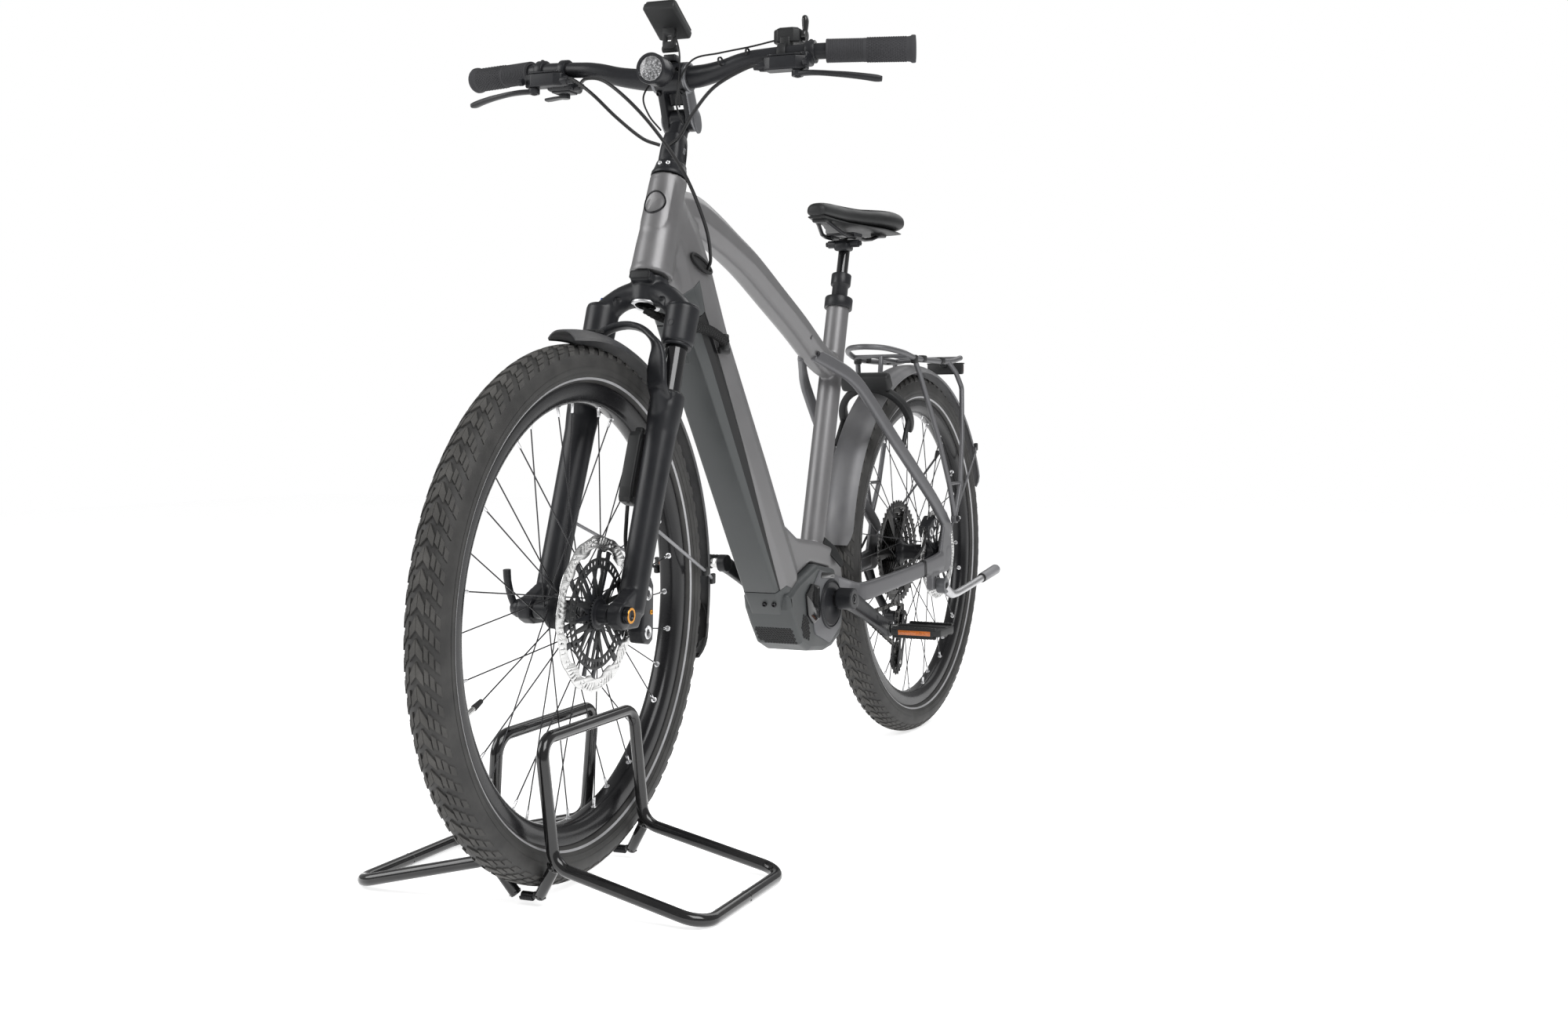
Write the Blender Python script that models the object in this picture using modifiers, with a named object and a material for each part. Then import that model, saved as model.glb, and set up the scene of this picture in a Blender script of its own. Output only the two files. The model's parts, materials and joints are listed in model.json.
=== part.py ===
"""City e-bike with its front wheel held in a bent-tube floor stand.

Every piece is drawn in the bicycle's own frame: X points forward, Y to the rider's left, Z up, with
the rear hub above x = 0. The front end is drawn straight ahead and then turned to the left with the
stand that holds it, as it stands at rest. All sizes are in metres.
"""

import math

import bmesh
import bpy
from mathutils import Matrix, Vector

# Driving dimensions
WHEEL_RADIUS = 0.347
TYRE_RADIUS = 0.0275
WHEELBASE = 1.195
STAND_LIFT = 0.0086
HEAD_ANGLE = math.radians(70)
HEAD_AXIS_AT_FLOOR = 1.280
REST_STEER = math.radians(3.7)
SEAT_ANGLE = math.radians(74.5)
CRANK_LENGTH = 0.166
CRANK_ANGLE = math.radians(203.8)
GAP = 0.0004
WHEEL_STEPS = 48

# Shift that brings the middle of the whole object's box to the origin, on the floor
BOX_MIDDLE = Vector((0.59714, 0.00212, 0.0))

REAR_AXLE = Vector((0, 0, WHEEL_RADIUS))
FRONT_AXLE = Vector((WHEELBASE, 0, WHEEL_RADIUS + STAND_LIFT))
BOTTOM_BRACKET = Vector((0.470, 0, 0.304))
SIDE = Vector((0, 1, 0))
HEAD_UP = Vector((-math.cos(HEAD_ANGLE), 0, math.sin(HEAD_ANGLE)))
HEAD_FORWARD = Vector((math.sin(HEAD_ANGLE), 0, math.cos(HEAD_ANGLE)))
SEAT_UP = Vector((-math.cos(SEAT_ANGLE), 0, math.sin(SEAT_ANGLE)))

FINISHES = {
    "frame_grey": ((0.23, 0.23, 0.235), 0.38, 0.6),
    "charcoal": ((0.055, 0.058, 0.06), 0.5, 0.2),
    "satin_black": ((0.02, 0.021, 0.024), 0.42, 0.1),
    "gloss_black": ((0.008, 0.008, 0.009), 0.12, 0.1),
    "rubber": ((0.03, 0.029, 0.028), 0.85, 0.0),
    "rim_black": ((0.015, 0.015, 0.016), 0.25, 0.3),
    "steel": ((0.62, 0.62, 0.61), 0.28, 1.0),
    "chain_steel": ((0.16, 0.155, 0.15), 0.35, 1.0),
    "alloy": ((0.60, 0.60, 0.61), 0.35, 1.0),
    "grip_rubber": ((0.055, 0.055, 0.058), 0.8, 0.0),
    "saddle_skin": ((0.02, 0.02, 0.021), 0.45, 0.0),
    "lamp_red": ((0.20, 0.008, 0.006), 0.2, 0.0),
    "cable_black": ((0.014, 0.014, 0.015), 0.4, 0.0),
}


def clear_scene():
    for old in list(bpy.data.objects):
        bpy.data.objects.remove(old, do_unlink=True)


clear_scene()
parts = bpy.data.collections.new("bicycle_on_stand")
helpers = bpy.data.collections.new("helpers")
helpers.hide_render = True
bpy.context.scene.collection.children.link(parts)
bpy.context.scene.collection.children.link(helpers)


def finish_material(name):
    material = bpy.data.materials.get(name)
    if material is None:
        colour, roughness, metallic = FINISHES[name]
        material = bpy.data.materials.new(name)
        material.use_nodes = True
        shader = material.node_tree.nodes["Principled BSDF"]
        shader.inputs["Base Color"].default_value = (*colour, 1)
        shader.inputs["Roughness"].default_value = roughness
        shader.inputs["Metallic"].default_value = metallic
    return material


# Shapes. Each one returns a loose mesh object, to be joined, cut or finished into a part.


def shape(mesh):
    obj = bpy.data.objects.new("shape", mesh)
    helpers.objects.link(obj)
    obj.hide_render = True
    obj.display_type = "WIRE"
    return obj


def frame_of(axis):
    """A rotation that takes Z to the axis and keeps X as near the bicycle's X as it can."""
    up = Vector(axis).normalized()
    side = up.cross(Vector((1, 0, 0)))
    side = SIDE.copy() if side.length < 1e-6 else side.normalized()
    front = side.cross(up)
    return Matrix((front, side, up)).transposed().to_4x4()


def moved(obj, matrix):
    obj.data.transform(matrix)
    return obj


def block(size, centre, turn=None):
    mesh = bpy.data.meshes.new("block")
    form = bmesh.new()
    bmesh.ops.create_cube(form, size=1)
    bmesh.ops.scale(form, vec=size, verts=form.verts)
    form.to_mesh(mesh)
    form.free()
    return moved(shape(mesh), Matrix.Translation(centre) @ (turn or Matrix()))


def rod(start, end, radius, end_radius=None, sides=16):
    start, end = Vector(start), Vector(end)
    mesh = bpy.data.meshes.new("rod")
    form = bmesh.new()
    bmesh.ops.create_cone(
        form,
        cap_ends=True,
        segments=sides,
        radius1=radius,
        radius2=radius if end_radius is None else end_radius,
        depth=(end - start).length,
    )
    form.to_mesh(mesh)
    form.free()
    return moved(shape(mesh), Matrix.Translation((start + end) / 2) @ frame_of(end - start))


def as_mesh(obj):
    """The evaluated form of a curve or of an object with modifiers, as a plain mesh object."""
    graph = bpy.context.evaluated_depsgraph_get()
    mesh = bpy.data.meshes.new_from_object(obj.evaluated_get(graph))
    mesh.transform(obj.matrix_world)
    bpy.data.objects.remove(obj, do_unlink=True)
    form = bmesh.new()
    form.from_mesh(mesh)
    bmesh.ops.remove_doubles(form, verts=form.verts, dist=1e-6)
    form.to_mesh(mesh)
    form.free()
    return shape(mesh)


def tube(points, radius, cyclic=False, radii=None, resolution=2):
    """A bent round bar with 4 + 2 * resolution sides; radii scales it point by point."""
    curve = bpy.data.curves.new("tube", "CURVE")
    curve.dimensions = "3D"
    spline = curve.splines.new("POLY")
    spline.points.add(len(points) - 1)
    for i, point in enumerate(points):
        spline.points[i].co = (*point, 1)
        spline.points[i].radius = radii[i] if radii else 1
    spline.use_cyclic_u = cyclic
    curve.bevel_depth = radius
    curve.bevel_resolution = resolution
    curve.use_fill_caps = not cyclic
    obj = bpy.data.objects.new("tube", curve)
    helpers.objects.link(obj)
    return as_mesh(obj)


def slab(outline, low, high):
    """A flat plate whose outline lies in the XZ plane, from y = low to y = high."""
    curve = bpy.data.curves.new("slab", "CURVE")
    curve.dimensions = "2D"
    curve.fill_mode = "BOTH"
    curve.extrude = (high - low) / 2
    spline = curve.splines.new("POLY")
    spline.points.add(len(outline) - 1)
    for i, (x, z) in enumerate(outline):
        spline.points[i].co = (x, z, 0, 1)
    spline.use_cyclic_u = True
    obj = bpy.data.objects.new("slab", curve)
    helpers.objects.link(obj)
    obj.matrix_world = Matrix.Translation((0, (low + high) / 2, 0)) @ Matrix.Rotation(math.pi / 2, 4, "X")
    bpy.context.view_layer.update()
    return as_mesh(obj)


def turned(profile, centre, axis, steps, closed=True, arc=math.tau, thickness=0):
    """A profile of (radius, height) points turned about an axis through the centre."""
    mesh = bpy.data.meshes.new("turned")
    form = bmesh.new()
    corners = [form.verts.new((radius, 0, height)) for radius, height in profile]
    for first, second in zip(corners, corners[1:] + corners[:1] if closed else corners[1:]):
        form.edges.new((first, second))
    form.to_mesh(mesh)
    form.free()
    obj = bpy.data.objects.new("turned", mesh)
    helpers.objects.link(obj)
    screw = obj.modifiers.new("turn", "SCREW")
    screw.angle = arc
    screw.steps = screw.render_steps = steps
    screw.use_merge_vertices = True
    screw.merge_threshold = 1e-5
    screw.use_normal_calculate = True
    if thickness:
        wall = obj.modifiers.new("wall", "SOLIDIFY")
        wall.thickness = thickness
        wall.offset = 0
    solid = as_mesh(obj)
    outward(solid.data)
    return moved(solid, Matrix.Translation(centre) @ frame_of(axis))


def outward(mesh):
    form = bmesh.new()
    form.from_mesh(mesh)
    bmesh.ops.recalc_face_normals(form, faces=form.faces)
    if form.calc_volume(signed=True) < 0:
        bmesh.ops.reverse_faces(form, faces=form.faces)
    form.to_mesh(mesh)
    form.free()


def loft(rings):
    """A closed skin over rings that each hold the same number of points, with flat ends."""
    mesh = bpy.data.meshes.new("loft")
    form = bmesh.new()
    rows = [[form.verts.new(point) for point in ring] for ring in rings]
    count = len(rows[0])
    for row, after in zip(rows, rows[1:]):
        for i in range(count):
            j = (i + 1) % count
            form.faces.new((row[i], row[j], after[j], after[i]))
    form.faces.new(rows[0][::-1])
    form.faces.new(rows[-1])
    bmesh.ops.triangulate(form, faces=form.faces)
    form.to_mesh(mesh)
    form.free()
    outward(mesh)
    return shape(mesh)


def bar_ring(centre, along, half_width, half_height, corner, lean=0.0):
    """An eight-sided ring across a bar: width along Y, height square to the bar's run."""
    up = SIDE.cross(Vector(along).normalized()) * -1
    across = SIDE + Vector(along).normalized() * lean
    w, h, c = half_width, half_height, corner
    corners = [(w, -h + c), (w, h - c), (w - c, h), (-w + c, h), (-w, h - c), (-w, -h + c), (-w + c, -h), (w - c, -h)]
    return [Vector(centre) + across * a + up * b for a, b in corners]


def bar(stations, corner):
    """A bar through (centre, half width, half height) stations, each cut square to the local run."""
    centres = [Vector(centre) for centre, _, _ in stations]
    rings = []
    for i, (centre, half_width, half_height) in enumerate(stations):
        run = centres[min(i + 1, len(centres) - 1)] - centres[max(i - 1, 0)]
        run.y = 0
        rings.append(bar_ring(centre, run, half_width, half_height, corner))
    return loft(rings)


def boolean(obj, others, operation):
    for other in others:
        step = obj.modifiers.new("step", "BOOLEAN")
        step.operation = operation
        step.solver = "EXACT"
        step.object = other
        bpy.context.view_layer.update()
        graph = bpy.context.evaluated_depsgraph_get()
        mesh = bpy.data.meshes.new_from_object(obj.evaluated_get(graph))
        obj.modifiers.clear()
        obj.data = mesh
        bpy.data.objects.remove(other, do_unlink=True)
    return obj


def joined(first, *others):
    return boolean(first, others, "UNION")


def carved(first, *cutters):
    return boolean(first, cutters, "DIFFERENCE")


def mirrored(obj):
    """A copy of a shape on the other side of the bicycle."""
    mesh = obj.data.copy()
    mesh.transform(Matrix.Scale(-1, 4, SIDE))
    mesh.flip_normals()
    return shape(mesh)


def part(name, obj, finish, pivot, smooth=35):
    """Names a finished shape, gives it its material and hangs it on the empty of its joint."""
    obj.name = name
    obj.data.name = name
    obj.hide_render = False
    obj.display_type = "TEXTURED"
    helpers.objects.unlink(obj)
    parts.objects.link(obj)
    obj.data.materials.clear()
    obj.data.materials.append(finish_material(finish))
    obj.data.shade_smooth()
    obj.data.set_sharp_from_angle(angle=math.radians(smooth))
    obj.parent = pivot
    obj.matrix_parent_inverse = pivot.matrix_world.inverted()
    return obj


def pivot(name, centre, axis, parent):
    """An empty whose Z is the joint's axis."""
    empty = bpy.data.objects.new(name, None)
    helpers.objects.link(empty)
    empty.matrix_world = Matrix.Translation(centre) @ frame_of(axis)
    if parent:
        empty.parent = parent
        empty.matrix_parent_inverse = parent.matrix_world.inverted()
    bpy.context.view_layer.update()
    return empty


def head_point(height, forward=0.0, side=0.0):
    """The point of the steering axis at a height, moved square to the axis."""
    foot = Vector((HEAD_AXIS_AT_FLOOR, 0, 0))
    return foot + HEAD_UP * (height / HEAD_UP.z) + HEAD_FORWARD * forward + SIDE * side


def on_wheel(axle, radius, degrees, side=0.0):
    """A point at a radius and an angle round a wheel, counted from the front up."""
    angle = math.radians(degrees)
    return axle + Vector((math.cos(angle) * radius, side, math.sin(angle) * radius))


def rounded(points, radii, cyclic=False, steps=4):
    """A path through corner points, each corner an arc of its own radius."""
    path = []
    count = len(points)
    for i, radius in enumerate(radii):
        corner = Vector(points[i])
        if not cyclic and i in (0, count - 1):
            path.append(corner)
            continue
        before = (Vector(points[i - 1]) - corner).normalized()
        after = (Vector(points[(i + 1) % count]) - corner).normalized()
        half = before.angle(after) / 2
        reach = radius / math.tan(half)
        middle = corner + (before + after).normalized() * (radius / math.sin(half))
        first = corner + before * reach - middle
        last = corner + after * reach - middle
        sweep = first.angle(last)
        around = first.cross(last)
        for step in range(steps + 1):
            path.append(middle + Matrix.Rotation(sweep * step / steps, 3, around) @ first)
    return path


def smooth_path(points, per_span=4):
    """Points of a smooth curve through the given route."""
    route = [Vector(point) for point in points]
    ends = [route[0] * 2 - route[1], *route, route[-1] * 2 - route[-2]]
    path = []
    for a, b, c, d in zip(ends, ends[1:], ends[2:], ends[3:]):
        for step in range(per_span):
            t = step / per_span
            path.append(
                (b * 2 + (c - a) * t + (a * 2 - b * 5 + c * 4 - d) * t**2 + (b * 3 - a - c * 3 + d) * t**3) / 2
            )
    return [*path, route[-1]]


# Joints: one empty on each axis

bike = pivot("bike_origin", (0, 0, 0), (0, 0, 1), None)
steering = pivot("steering_axis", (HEAD_AXIS_AT_FLOOR, 0, 0), HEAD_UP, bike)
fork_slide = pivot("fork_slide", FRONT_AXLE, HEAD_UP, steering)
front_hub_axis = pivot("front_hub_axis", FRONT_AXLE, SIDE, fork_slide)
front_axle_axis = pivot("front_axle_axis", FRONT_AXLE, SIDE, fork_slide)
rear_hub_axis = pivot("rear_hub_axis", REAR_AXLE, SIDE, bike)
crank_axis = pivot("crank_axis", BOTTOM_BRACKET, SIDE, bike)
pedal_arm = Vector((math.cos(CRANK_ANGLE), 0, math.sin(CRANK_ANGLE))) * CRANK_LENGTH
left_eye = BOTTOM_BRACKET + pedal_arm
right_eye = BOTTOM_BRACKET - pedal_arm
left_pedal_axis = pivot("left_pedal_axis", left_eye, SIDE, crank_axis)
right_pedal_axis = pivot("right_pedal_axis", right_eye, SIDE, crank_axis)

SEAT_LOW = Vector((0.4583, 0, 0.385))


def seat_point(z):
    return SEAT_LOW + SEAT_UP * ((z - SEAT_LOW.z) / SEAT_UP.z)


seat_slide = pivot("seat_slide", seat_point(0.8187), SEAT_UP, bike)
seat_spring_slide = pivot("seat_spring_slide", seat_point(0.860), SEAT_UP, seat_slide)
SADDLE_PIVOT = Vector((0.3165, 0, 0.917))
saddle_axis = pivot("saddle_axis", SADDLE_PIVOT, SIDE, seat_spring_slide)

STEM_JOINT = Vector((0.897, 0, 1.0385))
BAR_CLAMP = Vector((0.925, 0, 1.095))
stem_axis = pivot("stem_axis", STEM_JOINT, SIDE, steering)

# Front wheel stand: it stands flat on the floor, turned with the wheel that it holds
STAND_TURN = REST_STEER * math.sin(HEAD_ANGLE)
stand_place = pivot("stand_place", (WHEELBASE, 0, 0), (0, 0, 1), bike)


# Wheels


def tyre(name, axle, hub_axis):
    half = [(0.2963, 0.016), (0.3075, 0.0235), (0.3195, TYRE_RADIUS), (0.334, 0.0215), (0.343, 0.012)]
    profile = [(r, -y) for r, y in half] + [(WHEEL_RADIUS, 0)] + half[::-1]
    part(name, turned(profile, axle, SIDE, WHEEL_STEPS), "rubber", hub_axis)


def rim(name, axle, hub_axis):
    half = [(0.2955, 0.017), (0.282, 0.016), (0.270, 0.012)]
    profile = [(r, -y) for r, y in half[::-1]] + half
    part(name, turned(profile, axle, SIDE, WHEEL_STEPS), "rim_black", hub_axis)


def spokes(axle, left_flange, right_flange):
    made = []
    for i in range(32):
        flange = left_flange if i % 2 else right_flange
        lean = 62 if i % 4 < 2 else -62
        stagger = 0.0015 if i % 4 < 2 else -0.0015
        foot = on_wheel(axle, 0.021, 11.25 * i + lean, flange + stagger)
        head = on_wheel(axle, 0.2688, 11.25 * i, stagger)
        made.append(rod(foot, head, 0.0010, sides=4))
    return made


def wheel(which, axle, hub_axis, hub_profile, left_flange, right_flange):
    tyre(which + "_tyre", axle, hub_axis)
    rim(which + "_rim", axle, hub_axis)
    hub = turned(hub_profile, axle, SIDE, 14)
    hub = joined(hub, *spokes(axle, left_flange, right_flange))
    part(which + "_hub", hub, "satin_black", hub_axis)


def rotor(name, axle, hub_axis, side, radius, tone_ring):
    def ring(inner, outer, low, high):
        profile = [(inner, low), (inner, high), (outer, high), (outer, low)]
        return turned(profile, axle + SIDE * side, SIDE, 28)

    disc = ring(radius - 0.024, radius, -0.0009, 0.0009)
    arms = []
    for i in range(6):
        foot = on_wheel(axle, 0.017, 60 * i, side)
        head = on_wheel(axle, radius - 0.020, 60 * i + 18, side)
        arm = block(((head - foot).length, 0.0014, 0.009), (0, 0, 0))
        run = head - foot
        turn = Matrix.Rotation(math.atan2(run.z, run.x), 4, -SIDE)
        arms.append(moved(arm, Matrix.Translation((foot + head) / 2) @ turn))
    disc = joined(disc, ring(0.0132, 0.022, -0.0009, 0.0009), *arms)
    if tone_ring:
        disc = joined(disc, ring(0.0583, 0.0722, 0.0003, 0.0026))
    part(name, disc, "steel", hub_axis)


FRONT_HUB = [
    (0.0085, -0.055),
    (0.0085, 0.055),
    (0.0125, 0.055),
    (0.0125, 0.0328),
    (0.020, 0.0318),
    (0.024, 0.031),
    (0.024, 0.026),
    (0.014, 0.022),
    (0.014, -0.022),
    (0.024, -0.026),
    (0.024, -0.031),
    (0.0125, -0.0335),
    (0.0125, -0.055),
]
REAR_HUB = [
    (0.0085, -0.0715),
    (0.0085, 0.0715),
    (0.0125, 0.0715),
    (0.0125, 0.0555),
    (0.020, 0.0545),
    (0.020, 0.040),
    (0.025, 0.038),
    (0.025, 0.032),
    (0.015, 0.028),
    (0.015, -0.014),
    (0.026, -0.018),
    (0.026, -0.0225),
    (0.0165, -0.0232),
    (0.0165, -0.064),
    (0.0125, -0.066),
    (0.0125, -0.0715),
]
wheel("front", FRONT_AXLE, front_hub_axis, FRONT_HUB, 0.0285, -0.0285)
wheel("rear", REAR_AXLE, rear_hub_axis, REAR_HUB, 0.035, -0.0195)
rotor("front_rotor", FRONT_AXLE, front_hub_axis, 0.0341, 0.1015, True)
rotor("rear_rotor", REAR_AXLE, rear_hub_axis, 0.0568, 0.090, False)


# Frame

TUBE_MIDDLE = Vector((0.7785, 0, 0.5952))
TUBE_RUN = Vector((0.559, 0, 0.829)).normalized()
TUBE_FRONT = Vector((0.829, 0, -0.559)).normalized()
COVER_LOW, COVER_HIGH = -0.290, 0.205
SLOT_LOW, SLOT_HIGH = 0.038, 0.026


def on_tube(along, front, side=0.0):
    return TUBE_MIDDLE + TUBE_RUN * along + TUBE_FRONT * front + SIDE * side


def tube_ring(along, front_half, side_half, rear_half, depth, shift=0.0):
    """The down tube's eight corners: a narrow front face, full sides and a narrower back."""
    f, r = depth / 2 + shift, -depth / 2 + shift
    corners = [
        (front_half, f),
        (side_half, f - depth * 0.26),
        (side_half, r + depth * 0.30),
        (rear_half, r),
        (-rear_half, r),
        (-side_half, r + depth * 0.30),
        (-side_half, f - depth * 0.26),
        (-front_half, f),
    ]
    return [on_tube(along, b, a) for a, b in corners]


def down_tube():
    return loft(
        [
            tube_ring(-0.335, 0.026, 0.036, 0.026, 0.070, 0.012),
            tube_ring(-0.300, 0.028, 0.040, 0.030, 0.084, 0.004),
            tube_ring(-0.100, 0.027, 0.041, 0.032, 0.086, 0.002),
            tube_ring(0.130, 0.026, 0.041, 0.032, 0.087),
            tube_ring(0.235, 0.024, 0.037, 0.026, 0.110, -0.010),
            tube_ring(0.300, 0.018, 0.030, 0.018, 0.110, -0.022),
        ]
    )


def cover_zone(gap):
    corners = [
        on_tube(COVER_LOW + gap, SLOT_LOW + gap),
        on_tube(COVER_LOW + gap, 0.10),
        on_tube(COVER_HIGH - gap * 1.5, 0.10),
        on_tube(COVER_HIGH - gap * 1.5, SLOT_HIGH + gap),
    ]
    return slab([(p.x, p.z) for p in corners], -0.08, 0.08)


def tube_block(low, high, back, front, half_width):
    corners = [on_tube(low, back), on_tube(low, front), on_tube(high, front), on_tube(high, back)]
    return slab([(p.x, p.z) for p in corners], -half_width, half_width)


MOTOR_TOP = [(0.640, 0.3245), (0.600, 0.3445), (0.530, 0.3675), (0.457, 0.354), (0.432, 0.304)]
MOTOR_BOTTOM = [
    (0.424, 0.290),
    (0.424, 0.262),
    (0.438, 0.237),
    (0.468, 0.223),
    (0.500, 0.219),
    (0.560, 0.226),
    (0.592, 0.240),
    (0.616, 0.272),
    (0.634, 0.300),
]
BRIDGE = [
    (0.670, 0.352),
    (0.630, 0.440),
    (0.575, 0.412),
    (0.500, 0.402),
    (0.440, 0.388),
    (0.402, 0.352),
    (0.392, 0.318),
    (0.400, 0.296),
    (0.424, 0.2915),
]


def motor_room():
    """The drive unit's outline with a little room round it."""
    low = [(x + (x - 0.53) * 0.008, z + (z - 0.29) * 0.012) for x, z in MOTOR_BOTTOM]
    return slab(MOTOR_TOP + low, -0.060, 0.060)


def seat_stay():
    stations = [
        ((0.470, 0.012, 0.716), 0.006, 0.012),
        ((0.427, 0.030, 0.698), 0.0065, 0.0125),
        ((0.391, 0.045, 0.680), 0.0065, 0.0125),
        ((0.350, 0.055, 0.650), 0.0065, 0.0125),
        ((0.252, 0.068, 0.571), 0.0065, 0.013),
        ((0.160, 0.072, 0.511), 0.0065, 0.013),
        ((0.073, 0.075, 0.454), 0.0065, 0.013),
        ((0.000, 0.075, 0.400), 0.0065, 0.014),
        ((-0.010, 0.075, 0.385), 0.0060, 0.012),
    ]
    return bar(stations, 0.003)


def chain_stay_left():
    stations = [
        ((0.428, 0.020, 0.320), 0.010, 0.022),
        ((0.405, 0.048, 0.310), 0.008, 0.018),
        ((0.380, 0.060, 0.307), 0.007, 0.0165),
        ((0.291, 0.067, 0.313), 0.0065, 0.0155),
        ((0.134, 0.0735, 0.3255), 0.0065, 0.0145),
        ((0.030, 0.0755, 0.335), 0.0065, 0.016),
    ]
    return bar(stations, 0.003)


def chain_stay_right():
    stations = [
        ((0.428, -0.018, 0.320), 0.010, 0.022),
        ((0.405, -0.034, 0.310), 0.007, 0.018),
        ((0.372, -0.0365, 0.307), 0.0065, 0.0165),
        ((0.335, -0.045, 0.309), 0.0065, 0.016),
        ((0.270, -0.062, 0.315), 0.0065, 0.0155),
        ((0.134, -0.0735, 0.3255), 0.0065, 0.0145),
        ((0.030, -0.0755, 0.335), 0.0065, 0.016),
    ]
    return bar(stations, 0.003)


def dropout():
    outline = [
        (0.112, 0.308),
        (0.112, 0.339),
        (0.040, 0.352),
        (0.020, 0.412),
        (-0.012, 0.412),
        (-0.020, 0.345),
        (-0.016, 0.322),
        (0.004, 0.312),
    ]
    return slab(outline, 0.0722, 0.0795)


def frame_node():
    head = rod(head_point(0.8045), head_point(0.9485), 0.0295, 0.0255, sides=24)
    top = bar(
        [
            ((0.950, 0, 0.9020), 0.019, 0.024),
            ((0.912, 0, 0.9070), 0.0195, 0.0290),
            ((0.868, 0, 0.904), 0.022, 0.029),
            ((0.757, 0, 0.868), 0.0235, 0.0240),
            ((0.694, 0, 0.8435), 0.0245, 0.0235),
            ((0.5245, 0, 0.7615), 0.024, 0.0225),
            ((0.430, 0, 0.712), 0.022, 0.0225),
            ((0.358, 0, 0.692), 0.019, 0.0225),
        ],
        0.010,
    )
    seat = rod(seat_point(0.370), seat_point(0.8187), 0.0205, 0.0195, sides=20)
    bridge = slab(BRIDGE + MOTOR_TOP[::-1], -0.032, 0.032)
    bracket = joined(
        block((0.040, 0.014, 0.034), (0.072, 0.0745, 0.299)),
        rod((0.066, 0.070, 0.290), (0.066, 0.0815, 0.290), 0.013),
    )
    axle_end = rod((0, 0.0722, WHEEL_RADIUS), (0, 0.084, WHEEL_RADIUS), 0.011)
    mount = block((0.020, 0.016, 0.010), (0.395, 0.000, 0.352))
    body = joined(
        down_tube(),
        top,
        head,
        seat,
        bridge,
        seat_stay(),
        mirrored(seat_stay()),
        chain_stay_left(),
        chain_stay_right(),
        dropout(),
        mirrored(dropout()),
        bracket,
        mirrored(axle_end),
        axle_end,
        mount,
    )
    return carved(
        body,
        cover_zone(0),
        tube_block(-0.286, 0.2065, -0.0195, 0.10, 0.0312),
        motor_room(),
        rod(head_point(0.79), head_point(0.97), 0.0150, sides=20),
        rod(seat_point(0.480), seat_point(0.85), 0.0145, sides=20),
    )


part("frame", frame_node(), "frame_grey", bike)

latch_axis = pivot("battery_hinge", on_tube(COVER_LOW, 0.046), SIDE, bike)
battery = tube_block(-0.281, 0.195, -0.0187, 0.0245, 0.0305)
part("battery", battery, "satin_black", latch_axis)
cover = boolean(down_tube(), [cover_zone(GAP)], "INTERSECT")
part("battery_cover", cover, "charcoal", latch_axis)

clamp = turned([(0.0200, 0.800), (0.0200, 0.8195), (0.0245, 0.8195), (0.0245, 0.800)], (0, 0, 0), (0, 0, 1), 24)
clamp = moved(clamp, Matrix.Translation((0, 0, -0.81)))
clamp = joined(clamp, block((0.014, 0.016, 0.012), (-0.0275, 0, 0)))
clamp = carved(clamp, block((0.026, 0.002, 0.030), (-0.031, 0, 0)))
clamp = moved(clamp, Matrix.Translation(seat_point(0.8100)) @ frame_of(SEAT_UP))
part("seat_clamp", clamp, "satin_black", bike)


# Drive unit, cranks and pedals


def drive_unit():
    top = [(x + 0.0005, z - 0.0006) for x, z in MOTOR_TOP]
    top[0] = (MOTOR_TOP[0][0] - 0.0008, MOTOR_TOP[0][1] - 0.0006)
    case = slab(top + MOTOR_BOTTOM, -0.040, 0.0445)
    disc = rod((0.483, 0.040, 0.296), (0.483, 0.0515, 0.296), 0.042, 0.039, sides=28)
    boss = rod((0.470, -0.046, 0.304), (0.470, -0.030, 0.304), 0.024, sides=20)
    case = joined(case, disc, boss)
    return carved(case, rod((0.470, -0.08, 0.304), (0.470, 0.08, 0.304), 0.0156, sides=16))


part("drive_unit", drive_unit(), "charcoal", bike)


def crank(side, eye):
    """One crank with its half of the axle; side is 1 on the left and -1 on the right."""
    middle = BOTTOM_BRACKET
    run = eye - middle
    axle = rod(middle + SIDE * side * 0.0004, middle + SIDE * side * 0.080, 0.0150, sides=16)
    boss = rod(middle + SIDE * side * 0.0560, middle + SIDE * side * 0.0850, 0.0185, sides=20)
    end = rod(eye + SIDE * side * 0.0740, eye + SIDE * side * 0.0895, 0.0145, sides=16)
    rings = []
    for along, half_width, half_height in ((0.0, 0.0065, 0.0155), (0.5, 0.0065, 0.0135), (1.0, 0.0065, 0.0115)):
        centre = middle + run * along + SIDE * side * (0.0775 + 0.004 * along)
        rings.append(bar_ring(centre, run, half_width, half_height, 0.003))
    return joined(boss, axle, end, loft(rings))


part("crank_left", crank(1, left_eye), "satin_black", crank_axis)
part("crank_right", crank(-1, right_eye), "satin_black", crank_axis)


def pedal(side, eye):
    start = eye + SIDE * side * 0.0900
    spindle = rod(start, eye + SIDE * side * 0.150, 0.0075, sides=12)
    platform = block((0.088, 0.092, 0.020), eye + SIDE * side * 0.148)
    hole_front = block((0.022, 0.060, 0.040), eye + SIDE * side * 0.148 + Vector((0.024, 0, 0)))
    hole_rear = block((0.022, 0.060, 0.040), eye + SIDE * side * 0.148 - Vector((0.024, 0, 0)))
    return joined(carved(platform, hole_front, hole_rear), spindle)


part("pedal_left", pedal(1, left_eye), "satin_black", left_pedal_axis)
part("pedal_right", pedal(-1, right_eye), "satin_black", right_pedal_axis)


# Chain drive

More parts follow.
